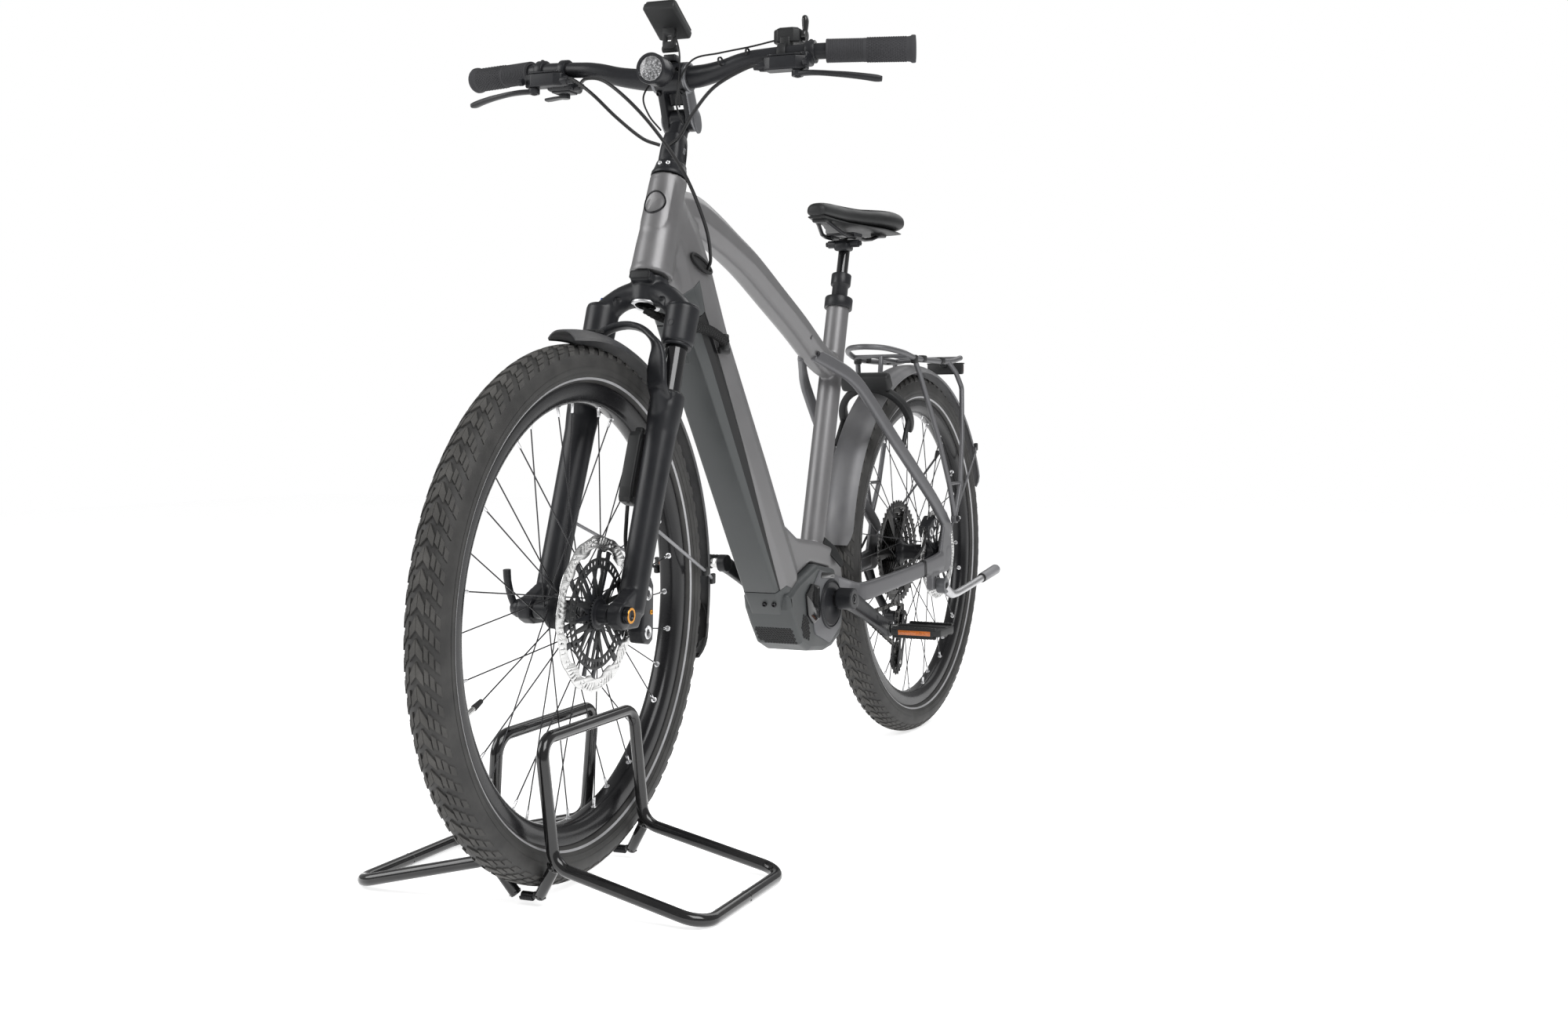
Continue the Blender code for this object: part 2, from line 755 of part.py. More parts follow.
RING_RADIUS = 0.085
COG_RADIUS = 0.101
CHAIN_RADIUS = 0.0033
RING_SIDE = -0.0505
COG_SIDE = -0.0285
UPPER_PULLEY = Vector((-0.022, COG_SIDE, 0.2155))
LOWER_PULLEY = Vector((0.004, COG_SIDE, 0.130))


def chainring():
    def ring(inner, outer, thickness):
        profile = [(inner, -thickness), (inner, thickness), (outer, thickness), (outer, -thickness)]
        return turned(profile, BOTTOM_BRACKET + SIDE * RING_SIDE, SIDE, 32)

    arms = []
    for i in range(5):
        head = on_wheel(BOTTOM_BRACKET, 0.074, 72 * i + 18, RING_SIDE)
        foot = on_wheel(BOTTOM_BRACKET, 0.018, 72 * i + 18, RING_SIDE)
        turn = Matrix.Rotation(math.radians(72 * i + 18), 4, -SIDE)
        arm = block(((head - foot).length, 0.0028, 0.014), (0, 0, 0))
        arms.append(moved(arm, Matrix.Translation((head + foot) / 2) @ turn))
    return joined(ring(0.068, RING_RADIUS, 0.0017), ring(0.0156, 0.025, 0.0017), *arms)


part("chainring", chainring(), "satin_black", crank_axis)

cassette_axis = pivot("cassette_axis", REAR_AXLE, SIDE, bike)


def cassette():
    profile = [(0.0170, -0.0620), (0.0170, -0.0245)]
    for i in range(8):
        radius = COG_RADIUS - i * 0.0105
        front = -0.0250 - i * 0.0046
        profile += [(radius, front - 0.0005), (radius, front - 0.0032)]
    return turned(profile[::-1], REAR_AXLE, SIDE, 20)


part("cassette", cassette(), "chain_steel", cassette_axis)


def belt(wheels, steps):
    """A closed path round wheels given as (centre, radius, +1 or -1 for the way round)."""
    directions = []
    for (a, ra, sa), (b, rb, sb) in zip(wheels, wheels[1:] + wheels[:1]):
        run = b - a
        flat = math.hypot(run.x, run.z)
        directions.append(math.atan2(run.z, run.x) - math.acos((sa * ra - sb * rb) / flat))
    path = []
    for i, (centre, radius, way) in enumerate(wheels):
        start, end = directions[i - 1], directions[i]
        if way < 0:
            start, end = start + math.pi, end + math.pi
        sweep = (end - start) * way % math.tau * way
        count = max(3, round(abs(sweep) * steps))
        for step in range(count + 1):
            angle = start + sweep * step / count
            path.append(centre + Vector((math.cos(angle), 0, math.sin(angle))) * radius)
    return path


CHAIN_ROUTE = belt(
    [
        (BOTTOM_BRACKET + SIDE * RING_SIDE, RING_RADIUS + CHAIN_RADIUS + GAP, 1),
        (REAR_AXLE + SIDE * COG_SIDE, COG_RADIUS + CHAIN_RADIUS + GAP, 1),
        (UPPER_PULLEY, 0.0225 + CHAIN_RADIUS + GAP, -1),
        (LOWER_PULLEY, 0.0265 + CHAIN_RADIUS + GAP, 1),
    ],
    4.5,
)
part("chain", tube(CHAIN_ROUTE, CHAIN_RADIUS, cyclic=True, resolution=1), "chain_steel", bike, smooth=50)


def derailleur():
    knuckle = rod((0.0, -0.0800, 0.322), (0.0, -0.0980, 0.322), 0.012, sides=14)
    lower = rod(UPPER_PULLEY + SIDE * -0.0102, UPPER_PULLEY + SIDE * -0.0330, 0.012, sides=14)
    route = [(0.0, -0.0915, 0.322), (-0.012, -0.0810, 0.272), (-0.022, -0.0530, 0.2155)]
    return joined(knuckle, lower, tube(route, 0.0095, resolution=2))


part("derailleur", derailleur(), "satin_black", bike)
cage_axis = pivot("cage_axis", UPPER_PULLEY, SIDE, bike)


def cage():
    def plate(near, far):
        outline = [
            (UPPER_PULLEY.x - 0.009, UPPER_PULLEY.z + 0.006),
            (UPPER_PULLEY.x + 0.009, UPPER_PULLEY.z + 0.006),
            (LOWER_PULLEY.x + 0.010, LOWER_PULLEY.z + 0.002),
            (LOWER_PULLEY.x + 0.004, LOWER_PULLEY.z - 0.012),
            (LOWER_PULLEY.x - 0.008, LOWER_PULLEY.z - 0.010),
            (UPPER_PULLEY.x - 0.010, UPPER_PULLEY.z - 0.010),
        ]
        return slab(outline, near, far)

    def pulley(centre, radius):
        return rod(centre - SIDE * 0.0012, centre + SIDE * 0.0012, radius, sides=14)

    def pin(centre):
        return rod(centre - SIDE * 0.0090, centre + SIDE * 0.0065, 0.0045, sides=10)

    return joined(
        plate(COG_SIDE - 0.0095, COG_SIDE - 0.0075),
        pin(UPPER_PULLEY),
        pin(LOWER_PULLEY),
        pulley(UPPER_PULLEY, 0.0222),
        pulley(LOWER_PULLEY, 0.0262),
        plate(COG_SIDE + 0.0055, COG_SIDE + 0.0075),
    )


part("derailleur_cage", cage(), "satin_black", cage_axis)


# Mudguards, rack, lock and stand parts at the rear


def mudguard(axle, start, end, steps, radius=0.3655):
    """A thin arched strip round a wheel from one angle to another, in degrees."""
    half = [(radius - 0.0115, -0.031), (radius - 0.0035, -0.024), (radius, -0.008)]
    profile = half + [(r, -y) for r, y in half[::-1]]
    arc = math.radians(end - start)
    strip = turned(profile, (0, 0, 0), (0, 0, 1), steps, closed=False, arc=arc, thickness=0.0018)
    turn = Matrix.Rotation(math.radians(-end), 4, "Z")
    return moved(strip, Matrix.Translation(axle) @ frame_of(SIDE) @ turn)


def rear_mudguard():
    strip = mudguard(REAR_AXLE, 6, 161, 26)
    stays = []
    for side in (1, -1):
        route = [
            on_wheel(REAR_AXLE, 0.3600, 146, 0.0300 * side),
            on_wheel(REAR_AXLE, 0.3300, 145, 0.0400 * side),
            Vector((-0.030, 0.0700 * side, 0.3850)),
        ]
        stays.append(tube(route, 0.0025, resolution=1))
    return joined(strip, *stays)


part("rear_mudguard", rear_mudguard(), "charcoal", bike)


def rack():
    rail = [
        (-0.137, 0.055, 0.7295),
        (-0.060, 0.0565, 0.7200),
        (0.100, 0.0580, 0.7195),
        (0.170, 0.0540, 0.7290),
        (0.212, 0.0360, 0.7360),
        (0.230, 0.0120, 0.7380),
        (0.230, -0.0120, 0.7380),
        (0.212, -0.0360, 0.7360),
        (0.170, -0.0540, 0.7290),
        (0.100, -0.0580, 0.7195),
        (-0.060, -0.0565, 0.7200),
        (-0.137, -0.055, 0.7295),
    ]
    pieces = [tube(rail, 0.0052, resolution=1)]
    for side in (1, -1):
        front_leg = [
            (0.1226, 0.0575, 0.7195),
            (0.110, 0.0620, 0.6950),
            (0.0447, 0.0760, 0.5698),
            (0.0139, 0.0860, 0.4815),
            (-0.0118, 0.0880, 0.4130),
        ]
        rear_leg = [
            (-0.0612, 0.0565, 0.7200),
            (-0.084, 0.0640, 0.7000),
            (-0.097, 0.0720, 0.6697),
            (-0.0704, 0.0820, 0.5687),
            (-0.0479, 0.0865, 0.4794),
            (-0.0118, 0.0880, 0.4150),
        ]
        pieces.append(tube([(x, y * side, z) for x, y, z in front_leg], 0.0048, resolution=1))
        pieces.append(tube([(x, y * side, z) for x, y, z in rear_leg], 0.0048, resolution=1))
        pieces.append(rod((0.0139, 0.0860 * side, 0.4815), (-0.0484, 0.0864 * side, 0.4815), 0.0032, sides=6))
        pieces.append(rod((-0.0118, 0.0822 * side, 0.4130), (-0.0118, 0.0930 * side, 0.4130), 0.0085, sides=12))
    for x, z in ((0.145, 0.7240), (0.020, 0.7198), (-0.128, 0.7285)):
        pieces.append(rod((x, 0.0560, z), (x, -0.0560, z), 0.0036, sides=6))
    for y in (0.020, -0.020):
        wire = [(0.222, y, 0.7375), (0.145, y, 0.7242), (0.020, y, 0.7200), (-0.128, y, 0.7288)]
        pieces.append(tube(wire, 0.0028, resolution=0))
    pieces.append(rod((0.145, 0, 0.7240), (0.152, 0, 0.6830), 0.0040, sides=8))
    pieces.append(block((0.062, 0.018, 0.004), (-0.158, 0, 0.7270)))
    return joined(*pieces)


part("rack", rack(), "frame_grey", bike)
light = joined(
    block((0.017, 0.078, 0.024), (-0.202, 0, 0.7100)),
    block((0.020, 0.014, 0.010), (-0.190, 0, 0.7190)),
)
part("rear_light", light, "satin_black", bike)


# Ring lock: its plane stands across the wheel, just behind the seat stays

LOCK_ANGLE = 55.5
LOCK_CENTRE = on_wheel(REAR_AXLE, 0.313, LOCK_ANGLE)
LOCK_AXIS = Vector((-math.sin(math.radians(LOCK_ANGLE)), 0, math.cos(math.radians(LOCK_ANGLE))))
LOCK_OUT = Vector((math.cos(math.radians(LOCK_ANGLE)), 0, math.sin(math.radians(LOCK_ANGLE))))


def lock_arc(profile, start, end, steps):
    arc = turned(profile, (0, 0, 0), (0, 0, 1), steps, closed=True, arc=math.radians(end - start))
    bmesh_caps(arc)
    turn = Matrix.Rotation(math.radians(start), 4, "Z")
    return moved(arc, Matrix.Translation(LOCK_CENTRE) @ frame_of(LOCK_AXIS) @ turn)


def bmesh_caps(obj):
    """Closes the two open ends that a part-turn leaves."""
    form = bmesh.new()
    form.from_mesh(obj.data)
    open_edges = [edge for edge in form.edges if edge.is_boundary]
    bmesh.ops.holes_fill(form, edges=open_edges)
    bmesh.ops.triangulate(form, faces=form.faces)
    form.to_mesh(obj.data)
    form.free()
    outward(obj.data)


def ring_lock():
    ring = lock_arc([(0.0585, 0.0), (0.0585, 0.016), (0.0725, 0.016), (0.0725, 0.0)], -115, 115, 23)
    turn = Matrix.Translation(LOCK_CENTRE) @ frame_of(LOCK_AXIS)
    body = moved(block((0.034, 0.100, 0.0213), (0.081, 0, 0.0046)), turn)
    mounts = []
    for side in (1, -1):
        foot = Vector((0.205, 0.0675 * side, 0.5575))
        head = LOCK_CENTRE + SIDE * (0.0655 * side) + LOCK_AXIS * 0.006
        mounts.append(rod(foot, head, 0.0045, sides=10))
    return joined(ring, body, *mounts)


part("ring_lock", ring_lock(), "satin_black", bike)
lock_axis = pivot("lock_axis", LOCK_CENTRE, LOCK_AXIS, bike)


def lock_bolt():
    bolt = lock_arc([(0.0615, 0.0165), (0.0615, 0.0240), (0.0690, 0.0240), (0.0690, 0.0165)], -112, 28, 14)
    turn = Matrix.Translation(LOCK_CENTRE) @ frame_of(LOCK_AXIS) @ Matrix.Rotation(math.radians(24), 4, "Z")
    knob = moved(block((0.016, 0.010, 0.007), (0.0740, 0, 0.0203)), turn)
    return joined(bolt, knob)


part("lock_bolt", lock_bolt(), "steel", lock_axis)

caliper = block((0.052, 0.023, 0.030), (0, 0, 0))
caliper = moved(caliper, Matrix.Translation((0.052, 0.0560, 0.4000)) @ Matrix.Rotation(math.radians(38), 4, "Y"))
caliper = carved(caliper, rod((0, 0.0543, WHEEL_RADIUS), (0, 0.0593, WHEEL_RADIUS), 0.0915, sides=48))
part("rear_caliper", caliper, "satin_black", bike)

kickstand_axis = pivot("kickstand_axis", (0.066, 0, 0.290), -SIDE, bike)
kick_leg = tube(
    smooth_path([(0.066, 0.0920, 0.290), (0.0255, 0.0940, 0.2695), (-0.020, 0.0960, 0.2720), (-0.212, 0.1000, 0.297)], 3),
    0.0075,
)
kick_hub = rod((0.066, 0.0820, 0.290), (0.066, 0.1000, 0.290), 0.0145, sides=16)
kick_foot = rod((-0.180, 0.0993, 0.2928), (-0.222, 0.1002, 0.2983), 0.0105, sides=12)
part("kickstand", joined(kick_hub, kick_leg, kick_foot), "alloy", kickstand_axis)


# Seat post and saddle

outer_post = joined(
    rod(seat_point(0.560), seat_point(0.850), 0.0140, sides=20),
    rod(seat_point(0.8400), seat_point(0.8600), 0.0175, sides=20),
)
outer_post = carved(outer_post, rod(seat_point(0.590), seat_point(0.88), 0.0104, sides=16))
part("seatpost_outer", outer_post, "satin_black", seat_slide)
inner_post = joined(
    rod(seat_point(0.680), seat_point(0.9100), 0.0100, sides=16),
    rod(SADDLE_PIVOT - SIDE * 0.030, SADDLE_PIVOT + SIDE * 0.030, 0.0065, sides=16),
    block((0.026, 0.026, 0.018), SADDLE_PIVOT + Vector((0.002, 0, -0.0045))),
)
part("seatpost_inner", inner_post, "steel", seat_spring_slide)

SADDLE_STATIONS = [
    # x, half width, top, bottom edge
    (0.438, 0.010, 0.9700, 0.9580),
    (0.430, 0.018, 0.9760, 0.9540),
    (0.400, 0.023, 0.9790, 0.9515),
    (0.350, 0.029, 0.9795, 0.9500),
    (0.305, 0.044, 0.9800, 0.9490),
    (0.265, 0.064, 0.9830, 0.9470),
    (0.230, 0.0745, 0.9860, 0.9440),
    (0.203, 0.070, 0.9870, 0.9440),
    (0.184, 0.048, 0.9830, 0.9500),
]


def saddle_ring(x, half_width, top, bottom):
    middle = (top + bottom * 2) / 3
    corners = [
        (half_width, bottom),
        (half_width, middle),
        (half_width * 0.86, top - 0.006),
        (half_width * 0.45, top - 0.001),
        (0, top),
    ]
    ring = corners + [(-y, z) for y, z in corners[-2::-1]]
    return [(x, y, z) for y, z in ring]


part("saddle_pad", loft([saddle_ring(*station) for station in SADDLE_STATIONS]), "saddle_skin", saddle_axis)


def saddle_frame():
    rings = []
    for x, half_width, top, bottom in SADDLE_STATIONS:
        w, high, low = half_width * 0.93, bottom - 0.0004, bottom - 0.0046
        rings.append([(x, w, low), (x, w, high), (x, -w, high), (x, -w, low)])
    shell = loft(rings)
    rails = []
    for side in (1, -1):
        route = [
            (0.415, 0.008 * side, 0.9490),
            (0.395, 0.012 * side, 0.9420),
            (0.365, 0.020 * side, 0.9300),
            (0.345, 0.022 * side, 0.9275),
            (0.275, 0.022 * side, 0.9275),
            (0.250, 0.026 * side, 0.9310),
            (0.226, 0.034 * side, 0.9405),
        ]
        rails.append(tube(route, 0.0035, resolution=1))
    plate = block((0.036, 0.056, 0.0050), (0.314, 0, 0.9330))
    return joined(shell, plate, *rails)


part("saddle_frame", saddle_frame(), "satin_black", saddle_axis)


# Fork: the crown and stanchions steer, the lowers slide on them and carry the wheel

LEG_SIDE = 0.0625
LEG_AHEAD = 0.006


def leg_point(height, side, ahead=LEG_AHEAD, out=LEG_SIDE):
    return head_point(height, ahead, out * side)


def fork_crown():
    steerer = rod(head_point(0.770), head_point(0.9560), 0.0143, sides=20)
    race = rod(head_point(0.7620), head_point(0.8035), 0.0200, 0.0265, sides=24)
    arch = [
        leg_point(0.728, 1),
        leg_point(0.750, 1, 0.006, 0.058),
        leg_point(0.772, 1, 0.003, 0.038),
        leg_point(0.780, 1, 0.0, 0.014),
        leg_point(0.780, -1, 0.0, 0.014),
        leg_point(0.772, -1, 0.003, 0.038),
        leg_point(0.750, -1, 0.006, 0.058),
        leg_point(0.728, -1),
    ]
    pieces = [steerer, race, tube(arch, 0.0200, resolution=3)]
    for side in (1, -1):
        pieces.append(rod(leg_point(0.705, side), leg_point(0.758, side), 0.0235, sides=20))
        pieces.append(rod(leg_point(0.528, side), leg_point(0.720, side), 0.0155, sides=20))
    return joined(*pieces)


part("fork_crown", fork_crown(), "satin_black", steering)


def fork_leg(side):
    leg = rod(leg_point(0.344, side), leg_point(0.600, side), 0.0185, 0.0210, sides=20)
    top = rod(leg_point(0.598, side), leg_point(0.638, side), 0.0225, sides=20)
    outline = [
        (1.130, 0.372),
        (1.150, 0.392),
        (1.190, 0.376),
        (1.212, 0.362),
        (1.212, 0.346),
        (1.196, 0.336),
        (1.155, 0.334),
    ]
    low, high = (0.0556, 0.0760) if side > 0 else (-0.0760, -0.0556)
    return joined(leg, top, slab(outline, low, high))


def fork_arch():
    route = [
        leg_point(0.624, 1, 0.010),
        leg_point(0.637, 1, 0.040, 0.062),
        leg_point(0.655, 1, 0.0425, 0.060),
        leg_point(0.690, 1, 0.0425, 0.052),
        leg_point(0.712, 1, 0.0415, 0.030),
        leg_point(0.720, 1, 0.0400, 0.0),
        leg_point(0.712, -1, 0.0415, 0.030),
        leg_point(0.690, -1, 0.0425, 0.052),
        leg_point(0.655, -1, 0.0425, 0.060),
        leg_point(0.637, -1, 0.040, 0.062),
        leg_point(0.624, -1, 0.010),
    ]
    return tube(route, 0.0082, resolution=2)


def fork_lowers():
    body = joined(fork_leg(1), fork_leg(-1), fork_arch())
    bores = [rod(leg_point(0.455, side), leg_point(0.66, side), 0.0160, sides=20) for side in (1, -1)]
    axle_bore = rod(FRONT_AXLE - SIDE * 0.1, FRONT_AXLE + SIDE * 0.1, 0.0080, sides=16)
    return carved(body, *bores, axle_bore)


part("fork_lowers", fork_lowers(), "satin_black", fork_slide)


def front_axle():
    shaft = rod(FRONT_AXLE - SIDE * 0.078, FRONT_AXLE + SIDE * 0.078, 0.0075, sides=16)
    left = rod(FRONT_AXLE + SIDE * 0.0764, FRONT_AXLE + SIDE * 0.0850, 0.0115, sides=16)
    right = rod(FRONT_AXLE - SIDE * 0.0764, FRONT_AXLE - SIDE * 0.0905, 0.0125, sides=16)
    lever = [
        FRONT_AXLE + Vector((0.000, -0.0860, 0.000)),
        FRONT_AXLE + Vector((0.010, -0.0895, 0.022)),
        FRONT_AXLE + Vector((0.018, -0.0895, 0.052)),
    ]
    return joined(shaft, left, right, tube(lever, 0.0052))


part("front_axle", front_axle(), "steel", front_axle_axis)


def front_mudguard():
    strip = mudguard(FRONT_AXLE, 84, 196, 19)
    stays = []
    for side in (1, -1):
        route = [
            on_wheel(FRONT_AXLE, 0.3590, 178, 0.0310 * side),
            on_wheel(FRONT_AXLE, 0.3300, 176, 0.0380 * side),
            leg_point(0.470, side, LEG_AHEAD - 0.0235, 0.0600),
        ]
        stays.append(tube(route, 0.0025, resolution=1))
    return joined(strip, *stays)


part("front_mudguard", front_mudguard(), "charcoal", fork_slide)

front_brake = block((0.0335, 0.0355, 0.092), (1.1030, 0.0443, 0.3500))
front_brake = carved(
    front_brake,
    rod(FRONT_AXLE + SIDE * 0.0305, FRONT_AXLE + SIDE * 0.0385, 0.1030, sides=56),
)
part("front_caliper", front_brake, "satin_black", fork_slide)

abs_box = moved(
    block((0.034, 0.018, 0.100), (0, 0, 0)),
    Matrix.Translation(head_point(0.5370, 0.006, 0.0313)) @ frame_of(HEAD_UP),
)
part("abs_unit", abs_box, "charcoal", fork_slide)


# Cockpit


def stem_base():
    cover = rod(head_point(0.9492), head_point(0.9680), 0.0265, 0.0215, sides=24)
    post = rod(head_point(0.9640), head_point(1.0120), 0.0185, sides=20)
    neck = rod(head_point(1.0000), STEM_JOINT, 0.0115, sides=16)
    knuckle = rod(STEM_JOINT - SIDE * 0.0120, STEM_JOINT + SIDE * 0.0120, 0.0170, sides=20)
    body = joined(cover, post, neck, knuckle)
    return carved(body, rod(head_point(0.940), head_point(0.9575), 0.0150, sides=20))


part("stem_base", stem_base(), "satin_black", steering)
ACROSS_BAR = SIDE * 0.0280


def stem_arm():
    run = BAR_CLAMP - STEM_JOINT
    ears = []
    for side in (1, -1):
        near = STEM_JOINT + SIDE * (0.0124 * side)
        ears.append(rod(near, near + SIDE * (0.0130 * side), 0.0165, sides=20))
        centre = STEM_JOINT + SIDE * (0.0189 * side)
        rings = [
            bar_ring(centre, run, 0.0060, 0.0150, 0.003),
            bar_ring(centre + run * 0.6, run, 0.0060, 0.0155, 0.003),
            bar_ring(centre + run, run, 0.0060, 0.0160, 0.003),
        ]
        ears.append(loft(rings))
    clamp_body = rod(BAR_CLAMP - ACROSS_BAR, BAR_CLAMP + ACROSS_BAR, 0.0215, sides=24)
    mount = block((0.016, 0.020, 0.014), BAR_CLAMP + Vector((0.006, 0, 0.0265)))
    body = joined(clamp_body, *ears, mount)
    return carved(body, rod(BAR_CLAMP - SIDE * 0.05, BAR_CLAMP + SIDE * 0.05, 0.0163, sides=24))


part("stem_arm", stem_arm(), "alloy", stem_axis)

GRIP_START = Vector((0.925, 0.230, 1.118))
GRIP_END = Vector((0.890, 0.350, 1.120))
BEND = Vector((0.935, 0.150, 1.114))


def bar_point(t, side, origin=GRIP_START, end=GRIP_END):
    point = origin + (end - origin) * t
    return Vector((point.x, point.y * side, point.z))


def handlebar():
    half = [BAR_CLAMP + SIDE * 0.0, BAR_CLAMP + SIDE * 0.040]
    half += [Vector((0.932, 0.080, 1.100)), Vector((0.936, 0.115, 1.109)), BEND, GRIP_START, GRIP_END]
    thick = [1.0, 1.0, 0.86, 0.74, 0.70, 0.70, 0.70]
    route = [Vector((p.x, -p.y, p.z)) for p in half[:0:-1]] + half
    return tube(route, 0.0159, radii=thick[:0:-1] + thick, resolution=2)


part("handlebar", handlebar(), "satin_black", stem_axis)


def grip(side):
    body = rod(bar_point(0.04, side), bar_point(1.03, side), 0.0165, sides=16)
    flange = rod(bar_point(0.985, side), bar_point(1.03, side), 0.0190, sides=16)
    return carved(joined(body, flange), rod(bar_point(-0.10, side), bar_point(1.006, side), 0.0118, sides=16))


part("grip_left", grip(1), "grip_rubber", stem_axis)
part("grip_right", grip(-1), "grip_rubber", stem_axis)


def bar_bore(obj, side):
    """Makes room for the bar in a part that is clamped round it."""
    straight = rod(bar_point(-0.15, side, BEND, GRIP_START), bar_point(1.01, side, BEND, GRIP_START), 0.0118)
    return carved(obj, straight)


def bar_band(t, length, side, radius=0.0160):
    half = length / 2 / (GRIP_START - BEND).length
    return rod(bar_point(t - half, side, BEND, GRIP_START), bar_point(t + half, side, BEND, GRIP_START), radius)


def lever_body(side):
    band = bar_band(0.80, 0.014, side)
    neck = block((0.030, 0.014, 0.018), (0.9450, 0.2140 * side, 1.1040))
    body = block((0.026, 0.062, 0.022), (0.9600, 0.1900 * side, 1.0970))
    pieces = [band, neck, body]
    if side < 0:
        pieces.append(bar_band(0.28, 0.016, side))
        pieces.append(block((0.040, 0.042, 0.020), (0.9340, -0.1730, 1.0910)))
    return bar_bore(joined(*pieces), side)


part("brake_body_left", lever_body(1), "satin_black", stem_axis)
part("brake_body_right", lever_body(-1), "satin_black", stem_axis)


def blade(side):
    hub = rod((0.9620, 0.2080 * side, 1.0770), (0.9620, 0.2080 * side, 1.0855), 0.0085, sides=12)
    route = [
        (0.9620, 0.2080 * side, 1.0810),
        (0.9680, 0.2400 * side, 1.0790),
        (0.9620, 0.2800 * side, 1.0750),
        (0.9470, 0.3220 * side, 1.0700),
    ]
    return joined(hub, tube(route, 0.0052, resolution=1))


left_lever_axis = pivot("left_lever_axis", (0.9620, 0.2080, 1.0810), (0, 0, 1), stem_axis)
right_lever_axis = pivot("right_lever_axis", (0.9620, -0.2080, 1.0810), (0, 0, 1), stem_axis)
part("brake_blade_left", blade(1), "gloss_black", left_lever_axis)
part("brake_blade_right", blade(-1), "gloss_black", right_lever_axis)

shifter_axis = pivot("shifter_axis", (0.9300, -0.1750, 1.0770), (0, 0, 1), stem_axis)
shift_paddle = joined(
    rod((0.9300, -0.1750, 1.0745), (0.9300, -0.1750, 1.0806), 0.0080, sides=12),
    block((0.016, 0.040, 0.004), (0.9230, -0.1930, 1.0775)),
)
part("shift_paddle", shift_paddle, "satin_black", shifter_axis)

remote = joined(
    bar_band(0.30, 0.016, 1),
    block((0.016, 0.016, 0.024), (0.9220, 0.1740, 1.1300)),
    block((0.032, 0.040, 0.022), (0.9120, 0.1740, 1.1440)),
)
part("remote", bar_bore(remote, 1), "satin_black", stem_axis)
thumb_axis = pivot("thumb_axis", (0.9120, 0.2000, 1.1440), SIDE, stem_axis)
thumb_lever = joined(
    rod((0.9120, 0.1945, 1.1440), (0.9120, 0.2005, 1.1440), 0.0085, sides=12),
    block((0.012, 0.005, 0.030), (0.9120, 0.1980, 1.1570)),
)
part("thumb_lever", thumb_lever, "satin_black", thumb_axis)

DISPLAY_PIVOT = Vector((0.9350, 0, 1.1345))
display_axis = pivot("display_axis", DISPLAY_PIVOT, SIDE, stem_axis)


def display():
    tilt = Matrix.Rotation(math.radians(-30), 4, "Y")
    face = moved(block((0.067, 0.050, 0.015), (0, 0, 0)), Matrix.Translation((0.9450, 0, 1.1725)) @ tilt)
    hinge = rod(DISPLAY_PIVOT - SIDE * 0.012, DISPLAY_PIVOT + SIDE * 0.012, 0.0052, sides=12)
    post = block((0.008, 0.020, 0.036), (0.9385, 0, 1.1510))
    return joined(face, hinge, post)


part("display", display(), "charcoal", display_axis)

LAMP_PIVOT = Vector((0.9535, 0, 1.0950))
lamp_axis = pivot("lamp_axis", LAMP_PIVOT, SIDE, stem_axis)
lamp = joined(
    rod((0.9620, 0, 1.0950), (0.9980, 0, 1.0950), 0.0200, 0.0220, sides=24),
    rod(LAMP_PIVOT - SIDE * 0.012, LAMP_PIVOT + SIDE * 0.012, 0.0055, sides=12),
    block((0.012, 0.014, 0.010), (0.9590, 0, 1.0950)),
)
part("headlight", lamp, "satin_black", lamp_axis)


# Cables, drawn as they hang at rest


def at_rest(point):
    """Where a point of the straight front end stands once the front end is turned."""
    foot = Matrix.Translation((HEAD_AXIS_AT_FLOOR, 0, 0))
    return foot @ Matrix.Rotation(REST_STEER, 4, HEAD_UP) @ foot.inverted() @ Vector(point)


def hoses():
    half = [
        (0.9600, 0.1560, 1.0970),
        (0.9720, 0.1350, 1.0910),
        (0.9880, 0.0950, 1.0650),
        (0.9820, 0.0600, 1.0320),
        (0.9620, 0.0300, 1.0050),
        (0.9480, 0.0080, 0.9960),
    ]
    route = half + [(x, -y, z) for x, y, z in half[::-1]]
    return tube(smooth_path(route, 2), 0.0025, resolution=1)


part("cockpit_hoses", hoses(), "cable_black", stem_axis)
cable_start = at_rest((0.9400, -0.1475, 1.0890))
shift_route = [
    cable_start,
    at_rest((0.9700, -0.1150, 1.0930)),
    at_rest((1.0060, -0.0600, 1.0750)),
    at_rest((1.0150, 0.0050, 1.0200)),
    at_rest((0.9900, 0.0500, 0.9500)),
    (0.9450, 0.0640, 0.8800),
    (0.9090, 0.0530, 0.8380),
    (0.8930, 0.0400, 0.8230),
]
part("shift_cable", tube(smooth_path(shift_route, 3), 0.0025, resolution=1), "cable_black", bike)
sleeve_route = [
    at_rest((1.0160, 0.0000, 0.7400)),
    at_rest((1.0020, 0.0200, 0.7300)),
    (0.9620, 0.0360, 0.7260),
    (0.9100, 0.0420, 0.7260),
    (0.8650, 0.0500, 0.7180),
]
part("cable_sleeve", tube(smooth_path(sleeve_route, 3), 0.0042, resolution=1), "cable_black", bike)


# Floor stand


